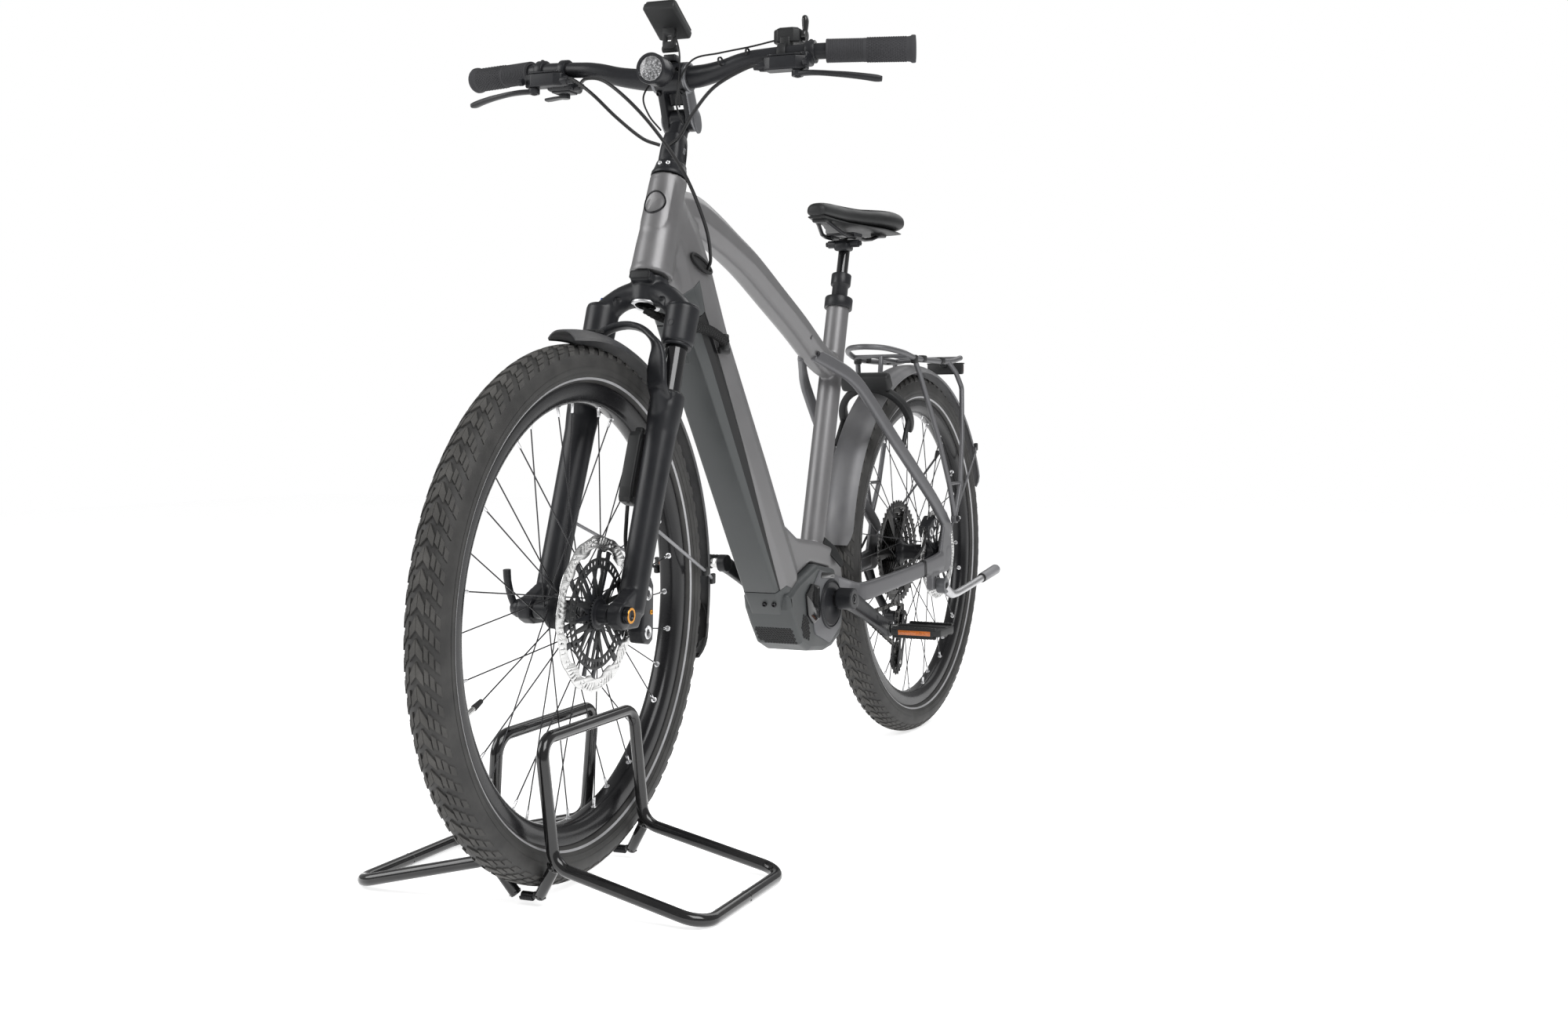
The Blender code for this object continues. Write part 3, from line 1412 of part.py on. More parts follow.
def stand_side(side):
    corners = [
        (1.3120, 0.0450 * side, 0.0570),
        (1.3170, 0.2500 * side, 0.0085),
        (1.0730, 0.2500 * side, 0.0085),
        (1.0750, 0.0450 * side, 0.0570),
        (1.0750, 0.0310 * side, 0.2120),
        (1.3180, 0.0310 * side, 0.2120),
    ]
    loop = tube(rounded(corners, [0.030, 0.030, 0.030, 0.030, 0.025, 0.025], cyclic=True, steps=3), 0.0080, cyclic=True)
    legs = []
    for joint_x, foot_x in ((1.3125, 1.3000), (1.0745, 1.0580)):
        legs.append(
            rod((joint_x, 0.0500 * side, 0.0640), (foot_x, 0.0165 * side, 0.0130), 0.0075, sides=10)
        )
    return joined(loop, *legs)


part("stand_left", stand_side(1), "gloss_black", stand_place)
part("stand_right", stand_side(-1), "gloss_black", stand_place)
for name, x in (("stand_spring_front", 1.3000), ("stand_spring_rear", 1.0580)):
    part(name, rod((x, -0.0085, 0.0125), (x, 0.0085, 0.0125), 0.0060, sides=14), "steel", stand_place)


# The rest pose: the front end turned with the stand, and the whole object's box brought to the origin

steering.matrix_world = steering.matrix_world @ Matrix.Rotation(REST_STEER, 4, "Z")
wheel_foot = at_rest((WHEELBASE, 0, STAND_LIFT))
stand_place.matrix_world = Matrix.Translation((wheel_foot.x, wheel_foot.y, 0)) @ Matrix.Rotation(STAND_TURN, 4, "Z")
bpy.context.view_layer.update()
bike.matrix_world = Matrix.Translation(-BOX_MIDDLE)
bpy.context.view_layer.update()
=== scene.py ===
"""Looks of the e-bike whose front wheel stands in a bent-tube floor stand.

Every piece is drawn in the bicycle's own straight frame, in metres, and then placed by one of three
matrices: BIKE for the frame, FRONT for what steers, and STAND for the floor stand.
"""

import json
import math

import bmesh
import bpy
import numpy as np
from mathutils import Matrix, Vector

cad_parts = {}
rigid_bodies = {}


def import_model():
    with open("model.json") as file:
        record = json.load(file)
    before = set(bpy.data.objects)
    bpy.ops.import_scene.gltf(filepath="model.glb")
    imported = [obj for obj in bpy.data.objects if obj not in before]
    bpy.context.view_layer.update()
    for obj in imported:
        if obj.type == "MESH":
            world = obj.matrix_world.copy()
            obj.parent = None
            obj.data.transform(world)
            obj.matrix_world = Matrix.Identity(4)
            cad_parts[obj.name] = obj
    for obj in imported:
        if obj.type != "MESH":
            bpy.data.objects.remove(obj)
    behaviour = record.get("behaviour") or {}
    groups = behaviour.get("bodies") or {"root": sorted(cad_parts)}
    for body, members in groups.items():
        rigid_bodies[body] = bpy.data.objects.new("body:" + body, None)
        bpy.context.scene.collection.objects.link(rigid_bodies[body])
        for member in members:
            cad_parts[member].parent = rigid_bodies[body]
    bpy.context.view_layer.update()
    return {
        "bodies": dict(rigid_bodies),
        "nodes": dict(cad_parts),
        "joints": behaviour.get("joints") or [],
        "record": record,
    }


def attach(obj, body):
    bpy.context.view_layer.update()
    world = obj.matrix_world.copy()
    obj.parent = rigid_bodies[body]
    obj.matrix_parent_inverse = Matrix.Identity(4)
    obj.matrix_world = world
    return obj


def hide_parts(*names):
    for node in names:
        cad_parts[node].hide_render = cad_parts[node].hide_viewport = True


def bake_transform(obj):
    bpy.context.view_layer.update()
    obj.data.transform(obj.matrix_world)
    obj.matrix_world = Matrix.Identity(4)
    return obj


for old in list(bpy.data.objects):
    bpy.data.objects.remove(old, do_unlink=True)

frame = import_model()

# The same layout as the CAD

WHEEL_RADIUS = 0.347
WHEELBASE = 1.195
STAND_LIFT = 0.0086
HEAD_ANGLE = math.radians(70)
HEAD_AXIS_AT_FLOOR = 1.280
REST_STEER = math.radians(3.7)
SEAT_ANGLE = math.radians(74.5)
CRANK_LENGTH = 0.166
CRANK_ANGLE = math.radians(203.8)
BOX_MIDDLE = Vector((0.59714, 0.00212, 0.0))

SIDE = Vector((0, 1, 0))
UP = Vector((0, 0, 1))
HEAD_UP = Vector((-math.cos(HEAD_ANGLE), 0, math.sin(HEAD_ANGLE)))
HEAD_FORWARD = Vector((math.sin(HEAD_ANGLE), 0, math.cos(HEAD_ANGLE)))
SEAT_UP = Vector((-math.cos(SEAT_ANGLE), 0, math.sin(SEAT_ANGLE)))
REAR_AXLE = Vector((0, 0, WHEEL_RADIUS))
FRONT_AXLE = Vector((WHEELBASE, 0, WHEEL_RADIUS + STAND_LIFT))
BOTTOM_BRACKET = Vector((0.470, 0, 0.304))
PEDAL_ARM = Vector((math.cos(CRANK_ANGLE), 0, math.sin(CRANK_ANGLE))) * CRANK_LENGTH
STEER_FOOT = Vector((HEAD_AXIS_AT_FLOOR, 0, 0))

BIKE = Matrix.Translation(-BOX_MIDDLE)
FRONT = (
    BIKE
    @ Matrix.Translation(STEER_FOOT)
    @ Matrix.Rotation(REST_STEER, 4, HEAD_UP)
    @ Matrix.Translation(-STEER_FOOT)
)
WHEEL_FOOT = FRONT @ Vector((WHEELBASE, 0, STAND_LIFT))
STAND = (
    Matrix.Translation((WHEEL_FOOT.x, WHEEL_FOOT.y, 0))
    @ Matrix.Rotation(REST_STEER * math.sin(HEAD_ANGLE), 4, "Z")
    @ Matrix.Translation((-WHEELBASE, 0, 0))
)


def head_point(height, forward=0.0, side=0.0):
    """The point of the steering axis at a height, moved square to the axis."""
    return STEER_FOOT + HEAD_UP * (height / HEAD_UP.z) + HEAD_FORWARD * forward + SIDE * side


def seat_point(z):
    return Vector((0.4583, 0, 0.385)) + SEAT_UP * ((z - 0.385) / SEAT_UP.z)


def on_wheel(axle, radius, degrees, side=0.0):
    """A point at a radius and an angle round a wheel, counted from the front up."""
    angle = math.radians(degrees)
    return axle + Vector((math.cos(angle) * radius, side, math.sin(angle) * radius))


def leg_point(height, side, ahead=0.006, out=0.0625):
    return head_point(height, ahead, out * side)


# Shapes: points, faces and each face's material number


class Shape:
    def __init__(self, points, faces, slots=None):
        self.points = np.array([tuple(p) for p in points], float).reshape(-1, 3)
        self.faces = [tuple(int(i) for i in face) for face in faces]
        self.slots = list(slots) if slots is not None else [0] * len(self.faces)

    def __add__(self, other):
        shift = len(self.points)
        faces = self.faces + [tuple(i + shift for i in face) for face in other.faces]
        return Shape(np.concatenate([self.points, other.points]), faces, self.slots + other.slots)

    def moved(self, matrix):
        m = np.array(matrix, float)
        points = self.points @ m[:3, :3].T + m[:3, 3]
        faces = self.faces if np.linalg.det(m[:3, :3]) > 0 else [face[::-1] for face in self.faces]
        return Shape(points, faces, self.slots)

    def slot(self, number):
        return Shape(self.points, self.faces, [number] * len(self.faces))

    def mirrored(self):
        return self.moved(Matrix.Scale(-1, 4, SIDE))


def together(shapes):
    shapes = list(shapes)
    counts = np.cumsum([0] + [len(s.points) for s in shapes])
    faces = [tuple(i + int(c) for i in face) for s, c in zip(shapes, counts) for face in s.faces]
    return Shape(np.concatenate([s.points for s in shapes]), faces, [n for s in shapes for n in s.slots])


def frame_of(axis):
    """A rotation that takes Z to the axis and keeps X as near the bicycle's X as it can."""
    up = Vector(axis).normalized()
    side = up.cross(Vector((1, 0, 0)))
    side = SIDE.copy() if side.length < 1e-6 else side.normalized()
    front = side.cross(up)
    return Matrix((front, side, up)).transposed().to_4x4()


def place(centre, axis=UP):
    return Matrix.Translation(centre) @ frame_of(axis)


def mesh_of(shape, name="shape"):
    mesh = bpy.data.meshes.new(name)
    mesh.from_pydata([tuple(p) for p in shape.points], [], shape.faces)
    mesh.polygons.foreach_set("material_index", shape.slots)
    mesh.update()
    return mesh


def shape_of(mesh):
    points = np.empty(len(mesh.vertices) * 3)
    mesh.vertices.foreach_get("co", points)
    faces = [tuple(p.vertices) for p in mesh.polygons]
    return Shape(points.reshape(-1, 3), faces, [p.material_index for p in mesh.polygons])


def outward(shape):
    """The same shape with every closed part's faces turned outwards."""
    mesh = mesh_of(shape)
    form = bmesh.new()
    form.from_mesh(mesh)
    bmesh.ops.recalc_face_normals(form, faces=form.faces)
    form.to_mesh(mesh)
    form.free()
    done = shape_of(mesh)
    bpy.data.meshes.remove(mesh)
    return done


def changed(shape, *steps):
    """The shape after modifiers, each given as (type, {setting: value})."""
    obj = bpy.data.objects.new("work", mesh_of(shape))
    bpy.context.scene.collection.objects.link(obj)
    for kind, settings in steps:
        step = obj.modifiers.new(kind, kind)
        for key, value in settings.items():
            setattr(step, key, value)
    graph = bpy.context.evaluated_depsgraph_get()
    done = bpy.data.meshes.new_from_object(obj.evaluated_get(graph))
    result = shape_of(done)
    bpy.data.objects.remove(obj, do_unlink=True)
    return result


def subdivided(shape, levels=1):
    return changed(shape, ("SUBSURF", {"levels": levels, "render_levels": levels}))


def bevelled(shape, width, segments=2, angle=35):
    settings = {"width": width, "segments": segments, "limit_method": "ANGLE", "angle_limit": math.radians(angle)}
    return changed(shape, ("WELD", {"merge_threshold": 1e-6}), ("BEVEL", {**settings, "harden_normals": False}))


def fused(shape, voxel, rounds=3, factor=0.5):
    """One skin over overlapping forms, with the corners between them rounded like welds."""
    steps = [("REMESH", {"mode": "VOXEL", "voxel_size": voxel})]
    if rounds:
        steps.append(("SMOOTH", {"iterations": rounds, "factor": factor}))
    return changed(shape, *steps)


def cut(shape, cutters, operation="DIFFERENCE"):
    """The shape after an exact Boolean with each cutter."""
    obj = bpy.data.objects.new("work", mesh_of(outward(shape)))
    bpy.context.scene.collection.objects.link(obj)
    for cutter in cutters:
        other = bpy.data.objects.new("cutter", mesh_of(outward(cutter)))
        bpy.context.scene.collection.objects.link(other)
        step = obj.modifiers.new("step", "BOOLEAN")
        step.operation = operation
        step.solver = "EXACT"
        step.object = other
        graph = bpy.context.evaluated_depsgraph_get()
        mesh = bpy.data.meshes.new_from_object(obj.evaluated_get(graph))
        obj.modifiers.clear()
        obj.data = mesh
        bpy.data.objects.remove(other, do_unlink=True)
    done = shape_of(obj.data)
    bpy.data.objects.remove(obj, do_unlink=True)
    return done


def loft(rings, ends=True, cyclic=False):
    """A skin over rings that each hold the same number of points."""
    count = len(rings[0])
    points = [p for ring in rings for p in ring]
    rows = len(rings)
    faces = []
    for row in range(rows if cyclic else rows - 1):
        after = (row + 1) % rows
        for i in range(count):
            j = (i + 1) % count
            faces.append((row * count + i, row * count + j, after * count + j, after * count + i))
    if ends and not cyclic:
        faces.append(tuple(range(count))[::-1])
        faces.append(tuple(range((rows - 1) * count, rows * count)))
    return outward(Shape(points, faces))


def sweep(path, radius, sides=12, cyclic=False, outline=None, radii=None, up=None):
    """A bar along a path: round, or with an outline of (across, up) points."""
    path = [Vector(p) for p in path]
    count = len(path)
    ring = outline or [
        (math.cos(math.tau * i / sides), math.sin(math.tau * i / sides)) for i in range(sides)
    ]
    rings = []
    normal = None
    for i, point in enumerate(path):
        before = path[i - 1] if i or cyclic else point
        after = path[(i + 1) % count] if i < count - 1 or cyclic else point
        run = (after - before).normalized()
        if up is not None:
            normal = Vector(up)
        if normal is None:
            normal = Vector((0, 0, 1)) if abs(run.z) < 0.9 else Vector((1, 0, 0))
        normal = (normal - run * normal.dot(run)).normalized()
        across = run.cross(normal)
        scale = radius * (radii[i] if radii else 1)
        rings.append([point + across * (a * scale) + normal * (b * scale) for a, b in ring])
    return loft(rings, cyclic=cyclic)


def lathe(profile, centre=(0, 0, 0), axis=UP, steps=64, slots=None):
    """A closed profile of (radius, height) points turned about an axis; slots gives each side's material."""
    count = len(profile)
    points = []
    for step in range(steps):
        angle = math.tau * step / steps
        points += [(r * math.cos(angle), r * math.sin(angle), h) for r, h in profile]
    faces, marks = [], []
    for step in range(steps):
        after = (step + 1) % steps
        for i in range(count):
            j = (i + 1) % count
            if profile[i][0] < 1e-9 and profile[j][0] < 1e-9:
                continue
            face = (step * count + i, after * count + i, after * count + j, step * count + j)
            if profile[i][0] < 1e-9:
                face = (i, after * count + j, step * count + j)
            elif profile[j][0] < 1e-9:
                face = (step * count + i, after * count + i, j)
            faces.append(face)
            marks.append(slots[i] if slots else 0)
    return outward(tidy(Shape(points, faces, marks))).moved(place(centre, axis))


def tidy(shape):
    """Drops points that no face uses."""
    used = sorted({i for face in shape.faces for i in face})
    number = {old: new for new, old in enumerate(used)}
    return Shape(shape.points[used], [tuple(number[i] for i in face) for face in shape.faces], shape.slots)


def rod(start, end, radius, end_radius=None, sides=32, edge=0.0006):
    """A round bar with softened rims."""
    start, end = Vector(start), Vector(end)
    last = radius if end_radius is None else end_radius
    length = (end - start).length
    edge = min(edge, radius * 0.45, last * 0.45, length * 0.45)
    e = edge * 0.3
    profile = [
        (0, 0), (radius - edge, 0), (radius - e, e), (radius, edge),
        (last, length - edge), (last - e, length - e), (last - edge, length), (0, length),
    ]
    return lathe(profile, start, end - start, sides)


def ball(centre, radius, steps=24):
    half = [(radius * math.sin(math.pi * i / 12), -radius * math.cos(math.pi * i / 12)) for i in range(13)]
    half[0], half[-1] = (0, -radius), (0, radius)
    return lathe(half, centre, UP, steps)


def block(size, centre=(0, 0, 0), turn=None, edge=0.0015, segments=3):
    """A box with rounded edges."""
    form = bmesh.new()
    bmesh.ops.create_cube(form, size=1)
    bmesh.ops.scale(form, vec=size, verts=form.verts)
    width = min(edge, min(size) * 0.45)
    if width > 0:
        bmesh.ops.bevel(form, geom=form.edges[:], offset=width, segments=segments, profile=0.5, affect="EDGES")
    mesh = bpy.data.meshes.new("block")
    form.to_mesh(mesh)
    form.free()
    done = shape_of(mesh).moved(Matrix.Translation(centre) @ (turn or Matrix()))
    bpy.data.meshes.remove(mesh)
    return done


def plate(outlines, low, high, edge=0.0004, resolution=1):
    """A flat plate in the XZ plane from y = low to y = high: an outline, then the outlines of its holes."""
    curve = bpy.data.curves.new("plate", "CURVE")
    curve.dimensions = "2D"
    curve.fill_mode = "BOTH"
    edge = min(edge, (high - low) * 0.4)
    curve.extrude = (high - low) / 2 - edge
    curve.bevel_depth = edge
    curve.bevel_resolution = resolution
    curve.offset = -edge
    for outline in outlines:
        spline = curve.splines.new("POLY")
        spline.points.add(len(outline) - 1)
        for i, (x, z) in enumerate(outline):
            spline.points[i].co = (x, z, 0, 1)
        spline.use_cyclic_u = True
    obj = bpy.data.objects.new("plate", curve)
    bpy.context.scene.collection.objects.link(obj)
    graph = bpy.context.evaluated_depsgraph_get()
    mesh = bpy.data.meshes.new_from_object(obj.evaluated_get(graph))
    form = bmesh.new()
    form.from_mesh(mesh)
    bmesh.ops.remove_doubles(form, verts=form.verts, dist=1e-7)
    bmesh.ops.recalc_face_normals(form, faces=form.faces)
    form.to_mesh(mesh)
    form.free()
    done = shape_of(mesh)
    bpy.data.objects.remove(obj, do_unlink=True)
    turn = Matrix.Translation((0, (low + high) / 2, 0)) @ Matrix.Rotation(math.pi / 2, 4, "X")
    return done.moved(turn)


def circle(x, z, radius, steps=24, start=0.0):
    return [
        (x + radius * math.cos(start + math.tau * i / steps), z + radius * math.sin(start + math.tau * i / steps))
        for i in range(steps)
    ]


def smooth_path(points, per_span=6):
    """Points of a smooth curve through the given route."""
    route = [Vector(p) for p in points]
    ends = [route[0] * 2 - route[1], *route, route[-1] * 2 - route[-2]]
    path = []
    for a, b, c, d in zip(ends, ends[1:], ends[2:], ends[3:]):
        for step in range(per_span):
            t = step / per_span
            path.append(
                (b * 2 + (c - a) * t + (a * 2 - b * 5 + c * 4 - d) * t**2 + (b * 3 - a - c * 3 + d) * t**3) / 2
            )
    return [*path, route[-1]]


def rounded(points, radii, cyclic=False, steps=8):
    """A path through corner points, each corner an arc of its own radius."""
    path = []
    count = len(points)
    for i, radius in enumerate(radii):
        corner = Vector(points[i])
        if not cyclic and i in (0, count - 1):
            path.append(corner)
            continue
        before = (Vector(points[i - 1]) - corner).normalized()
        after = (Vector(points[(i + 1) % count]) - corner).normalized()
        half = before.angle(after) / 2
        middle = corner + (before + after).normalized() * (radius / math.sin(half))
        first = corner + before * (radius / math.tan(half)) - middle
        last = corner + after * (radius / math.tan(half)) - middle
        sweep_angle = first.angle(last)
        around = first.cross(last)
        for step in range(steps + 1):
            path.append(middle + Matrix.Rotation(sweep_angle * step / steps, 3, around) @ first)
    return path


def superellipse(half_width, half_height, power=3.0, steps=32):
    """(across, up) points of a rounded box section."""
    ring = []
    for i in range(steps):
        angle = math.tau * i / steps
        c, s = math.cos(angle), math.sin(angle)
        ring.append(
            (
                half_width * math.copysign(abs(c) ** (2 / power), c),
                half_height * math.copysign(abs(s) ** (2 / power), s),
            )
        )
    return ring


def bar(stations, power=3.0, steps=32):
    """A rounded-box bar through (centre, half width along Y, half height) stations."""
    centres = [Vector(c) for c, _, _ in stations]
    rings = []
    for i, (centre, half_width, half_height) in enumerate(stations):
        run = (centres[min(i + 1, len(centres) - 1)] - centres[max(i - 1, 0)])
        run.y = 0
        up = (SIDE.cross(run.normalized()) * -1).normalized()
        ring = superellipse(half_width, half_height, power, steps)
        rings.append([Vector(centre) + SIDE * a + up * b for a, b in ring])
    return loft(rings)


def fine(stations, per_span=5):
    """More stations along a bar, on smooth curves through the given ones."""
    centres = smooth_path([c for c, _, _ in stations], per_span)
    sizes = smooth_path([(w, h, 0) for _, w, h in stations], per_span)
    return [(c, s.x, s.y) for c, s in zip(centres, sizes)]


# Materials


class Graph:
    """A material's nodes, with the object's own coordinates ready to use."""

    def __init__(self, name):
        self.material = bpy.data.materials.new(name)
        self.material.use_nodes = True
        self.tree = self.material.node_tree
        self.shader = self.tree.nodes["Principled BSDF"]
        self.coordinates = self.tree.nodes.new("ShaderNodeTexCoord").outputs["Object"]

    def node(self, kind, inputs=None, **settings):
        made = self.tree.nodes.new(kind)
        for key, value in settings.items():
            setattr(made, key, value)
        for key, value in (inputs or {}).items():
            self.feed(made.inputs[key], value)
        return made

    def feed(self, socket, value):
        if isinstance(value, bpy.types.NodeSocket):
            self.tree.links.new(value, socket)
        else:
            socket.default_value = value

    def noise(self, scale, detail=4.0, vector=None, roughness=0.55):
        settings = {"Vector": vector or self.coordinates, "Scale": scale, "Detail": detail, "Roughness": roughness}
        return self.node("ShaderNodeTexNoise", settings).outputs["Fac"]

    def stretched(self, scale):
        return self.node("ShaderNodeMapping", {"Vector": self.coordinates, "Scale": scale}).outputs["Vector"]

    def span(self, value, low, high, new_low, new_high):
        inputs = {"Value": value, "From Min": low, "From Max": high, "To Min": new_low, "To Max": new_high}
        return self.node("ShaderNodeMapRange", inputs).outputs["Result"]

    def math(self, operation, first, second=0.0):
        return self.node("ShaderNodeMath", {0: first, 1: second}, operation=operation).outputs["Value"]

    def mix(self, factor, first, second):
        made = self.node("ShaderNodeMix", data_type="RGBA")
        self.feed(made.inputs["Factor"], factor)
        self.feed(made.inputs["A"], (*first, 1) if isinstance(first, tuple) else first)
        self.feed(made.inputs["B"], (*second, 1) if isinstance(second, tuple) else second)
        return made.outputs["Result"]

    def bump(self, height, strength, distance, normal=None):
        inputs = {"Height": height, "Strength": strength, "Distance": distance}
        if normal is not None:
            inputs["Normal"] = normal
        return self.node("ShaderNodeBump", inputs).outputs["Normal"]

    def set(self, **inputs):
        for key, value in inputs.items():
            self.feed(self.shader.inputs[key.replace("_", " ")], value)
        return self.material


def scaled(colour, factor):
    return tuple(min(1.0, channel * factor) for channel in colour)


def surface(
    name, colour, roughness, metallic=0.0, mottle=0.12, mottle_scale=22.0, grain=1300.0,
    bump=0.12, depth=0.0002, spread=0.07, coat=0.0, specular=0.5, dust=0.0, dust_colour=(0.32, 0.31, 0.29),
):
    """A worked surface: soft colour mottling, uneven gloss, fine grain, and dust in patches."""
    g = Graph(name)
    broad = g.noise(mottle_scale, 5.0)
    small = g.noise(grain, 3.0)
    tint = g.mix(g.span(broad, 0.3, 0.7, 0, 1), scaled(colour, 1 - mottle), scaled(colour, 1 + mottle))
    tint = g.mix(g.span(small, 0.35, 0.65, 0, mottle), tint, scaled(colour, 1.35))
    if dust:
        patches = g.math("MULTIPLY", g.span(g.noise(9.0, 6.0), 0.42, 0.7, 0, 1), g.span(small, 0.3, 0.7, 0.4, 1))
        tint = g.mix(g.math("MULTIPLY", patches, dust), tint, dust_colour)
    gloss = g.math("ADD", g.span(broad, 0.3, 0.7, roughness - spread, roughness + spread), 0.0)
    gloss = g.math("ADD", gloss, g.span(small, 0.3, 0.7, -spread * 0.5, spread * 0.5))
    g.set(Base_Color=tint, Roughness=gloss, Metallic=metallic, Normal=g.bump(small, bump, depth))
    g.shader.inputs["Specular IOR Level"].default_value = specular
    g.shader.inputs["Coat Weight"].default_value = coat
    g.shader.inputs["Coat Roughness"].default_value = 0.12
    return g.material


def tyre_surface():
    """Black rubber that is scuffed grey on the crown of its tread and lightly dusty on the sides."""
    g = Graph("tyre_rubber")
    wear = g.node("ShaderNodeAttribute", attribute_name="wear").outputs["Fac"]
    small = g.noise(900.0, 4.0)
    broad = g.noise(30.0, 6.0)
    side = g.mix(g.span(broad, 0.35, 0.7, 0, 1), (0.017, 0.0165, 0.016), (0.034, 0.033, 0.0315))
    crown = g.mix(g.span(broad, 0.3, 0.7, 0, 1), (0.050, 0.048, 0.045), (0.088, 0.085, 0.080))
    worn = g.math("MULTIPLY", wear, g.span(small, 0.25, 0.6, 0.55, 1.0))
    tint = g.mix(worn, side, crown)
    gloss = g.span(g.math("ADD", wear, g.span(small, 0.3, 0.7, -0.1, 0.1)), 0, 1, 0.62, 0.88)
    return g.set(Base_Color=tint, Roughness=gloss, Normal=g.bump(small, 0.25, 0.0003))


def brushed(name, colour, roughness, scale, metallic=1.0, bump=0.10):
    """Metal with fine lines stretched along one way."""
    g = Graph(name)
    lines = g.noise(1.0, 3.0, g.stretched(scale))
    broad = g.noise(14.0, 4.0)
    tint = g.mix(g.span(lines, 0.3, 0.7, 0, 1), scaled(colour, 0.86), scaled(colour, 1.12))
    gloss = g.math(
        "ADD", g.span(lines, 0.3, 0.7, roughness - 0.06, roughness + 0.08), g.span(broad, 0.3, 0.7, -0.04, 0.04)
    )
    return g.set(Base_Color=tint, Roughness=gloss, Metallic=metallic, Normal=g.bump(lines, bump, 0.0001))


def clear(name, colour, roughness, transmission, emission=0.0, relief=0.35):
    """Moulded glass or reflector plastic with fine prisms behind its face."""
    g = Graph(name)
    cells = g.node("ShaderNodeTexVoronoi", {"Vector": g.coordinates, "Scale": 420.0}).outputs["Distance"]
    tint = g.mix(g.span(cells, 0.1, 0.7, 0, 1), scaled(colour, 0.7), scaled(colour, 1.15))
    g.set(Base_Color=tint, Roughness=g.span(g.noise(60.0), 0.3, 0.7, roughness, roughness + 0.08))
    g.set(Normal=g.bump(cells, relief, 0.0006))
    g.shader.inputs["Transmission Weight"].default_value = transmission
    g.shader.inputs["Coat Weight"].default_value = 0.6
    if emission:
        g.set(Emission_Color=(*colour, 1), Emission_Strength=emission)
    return g.material


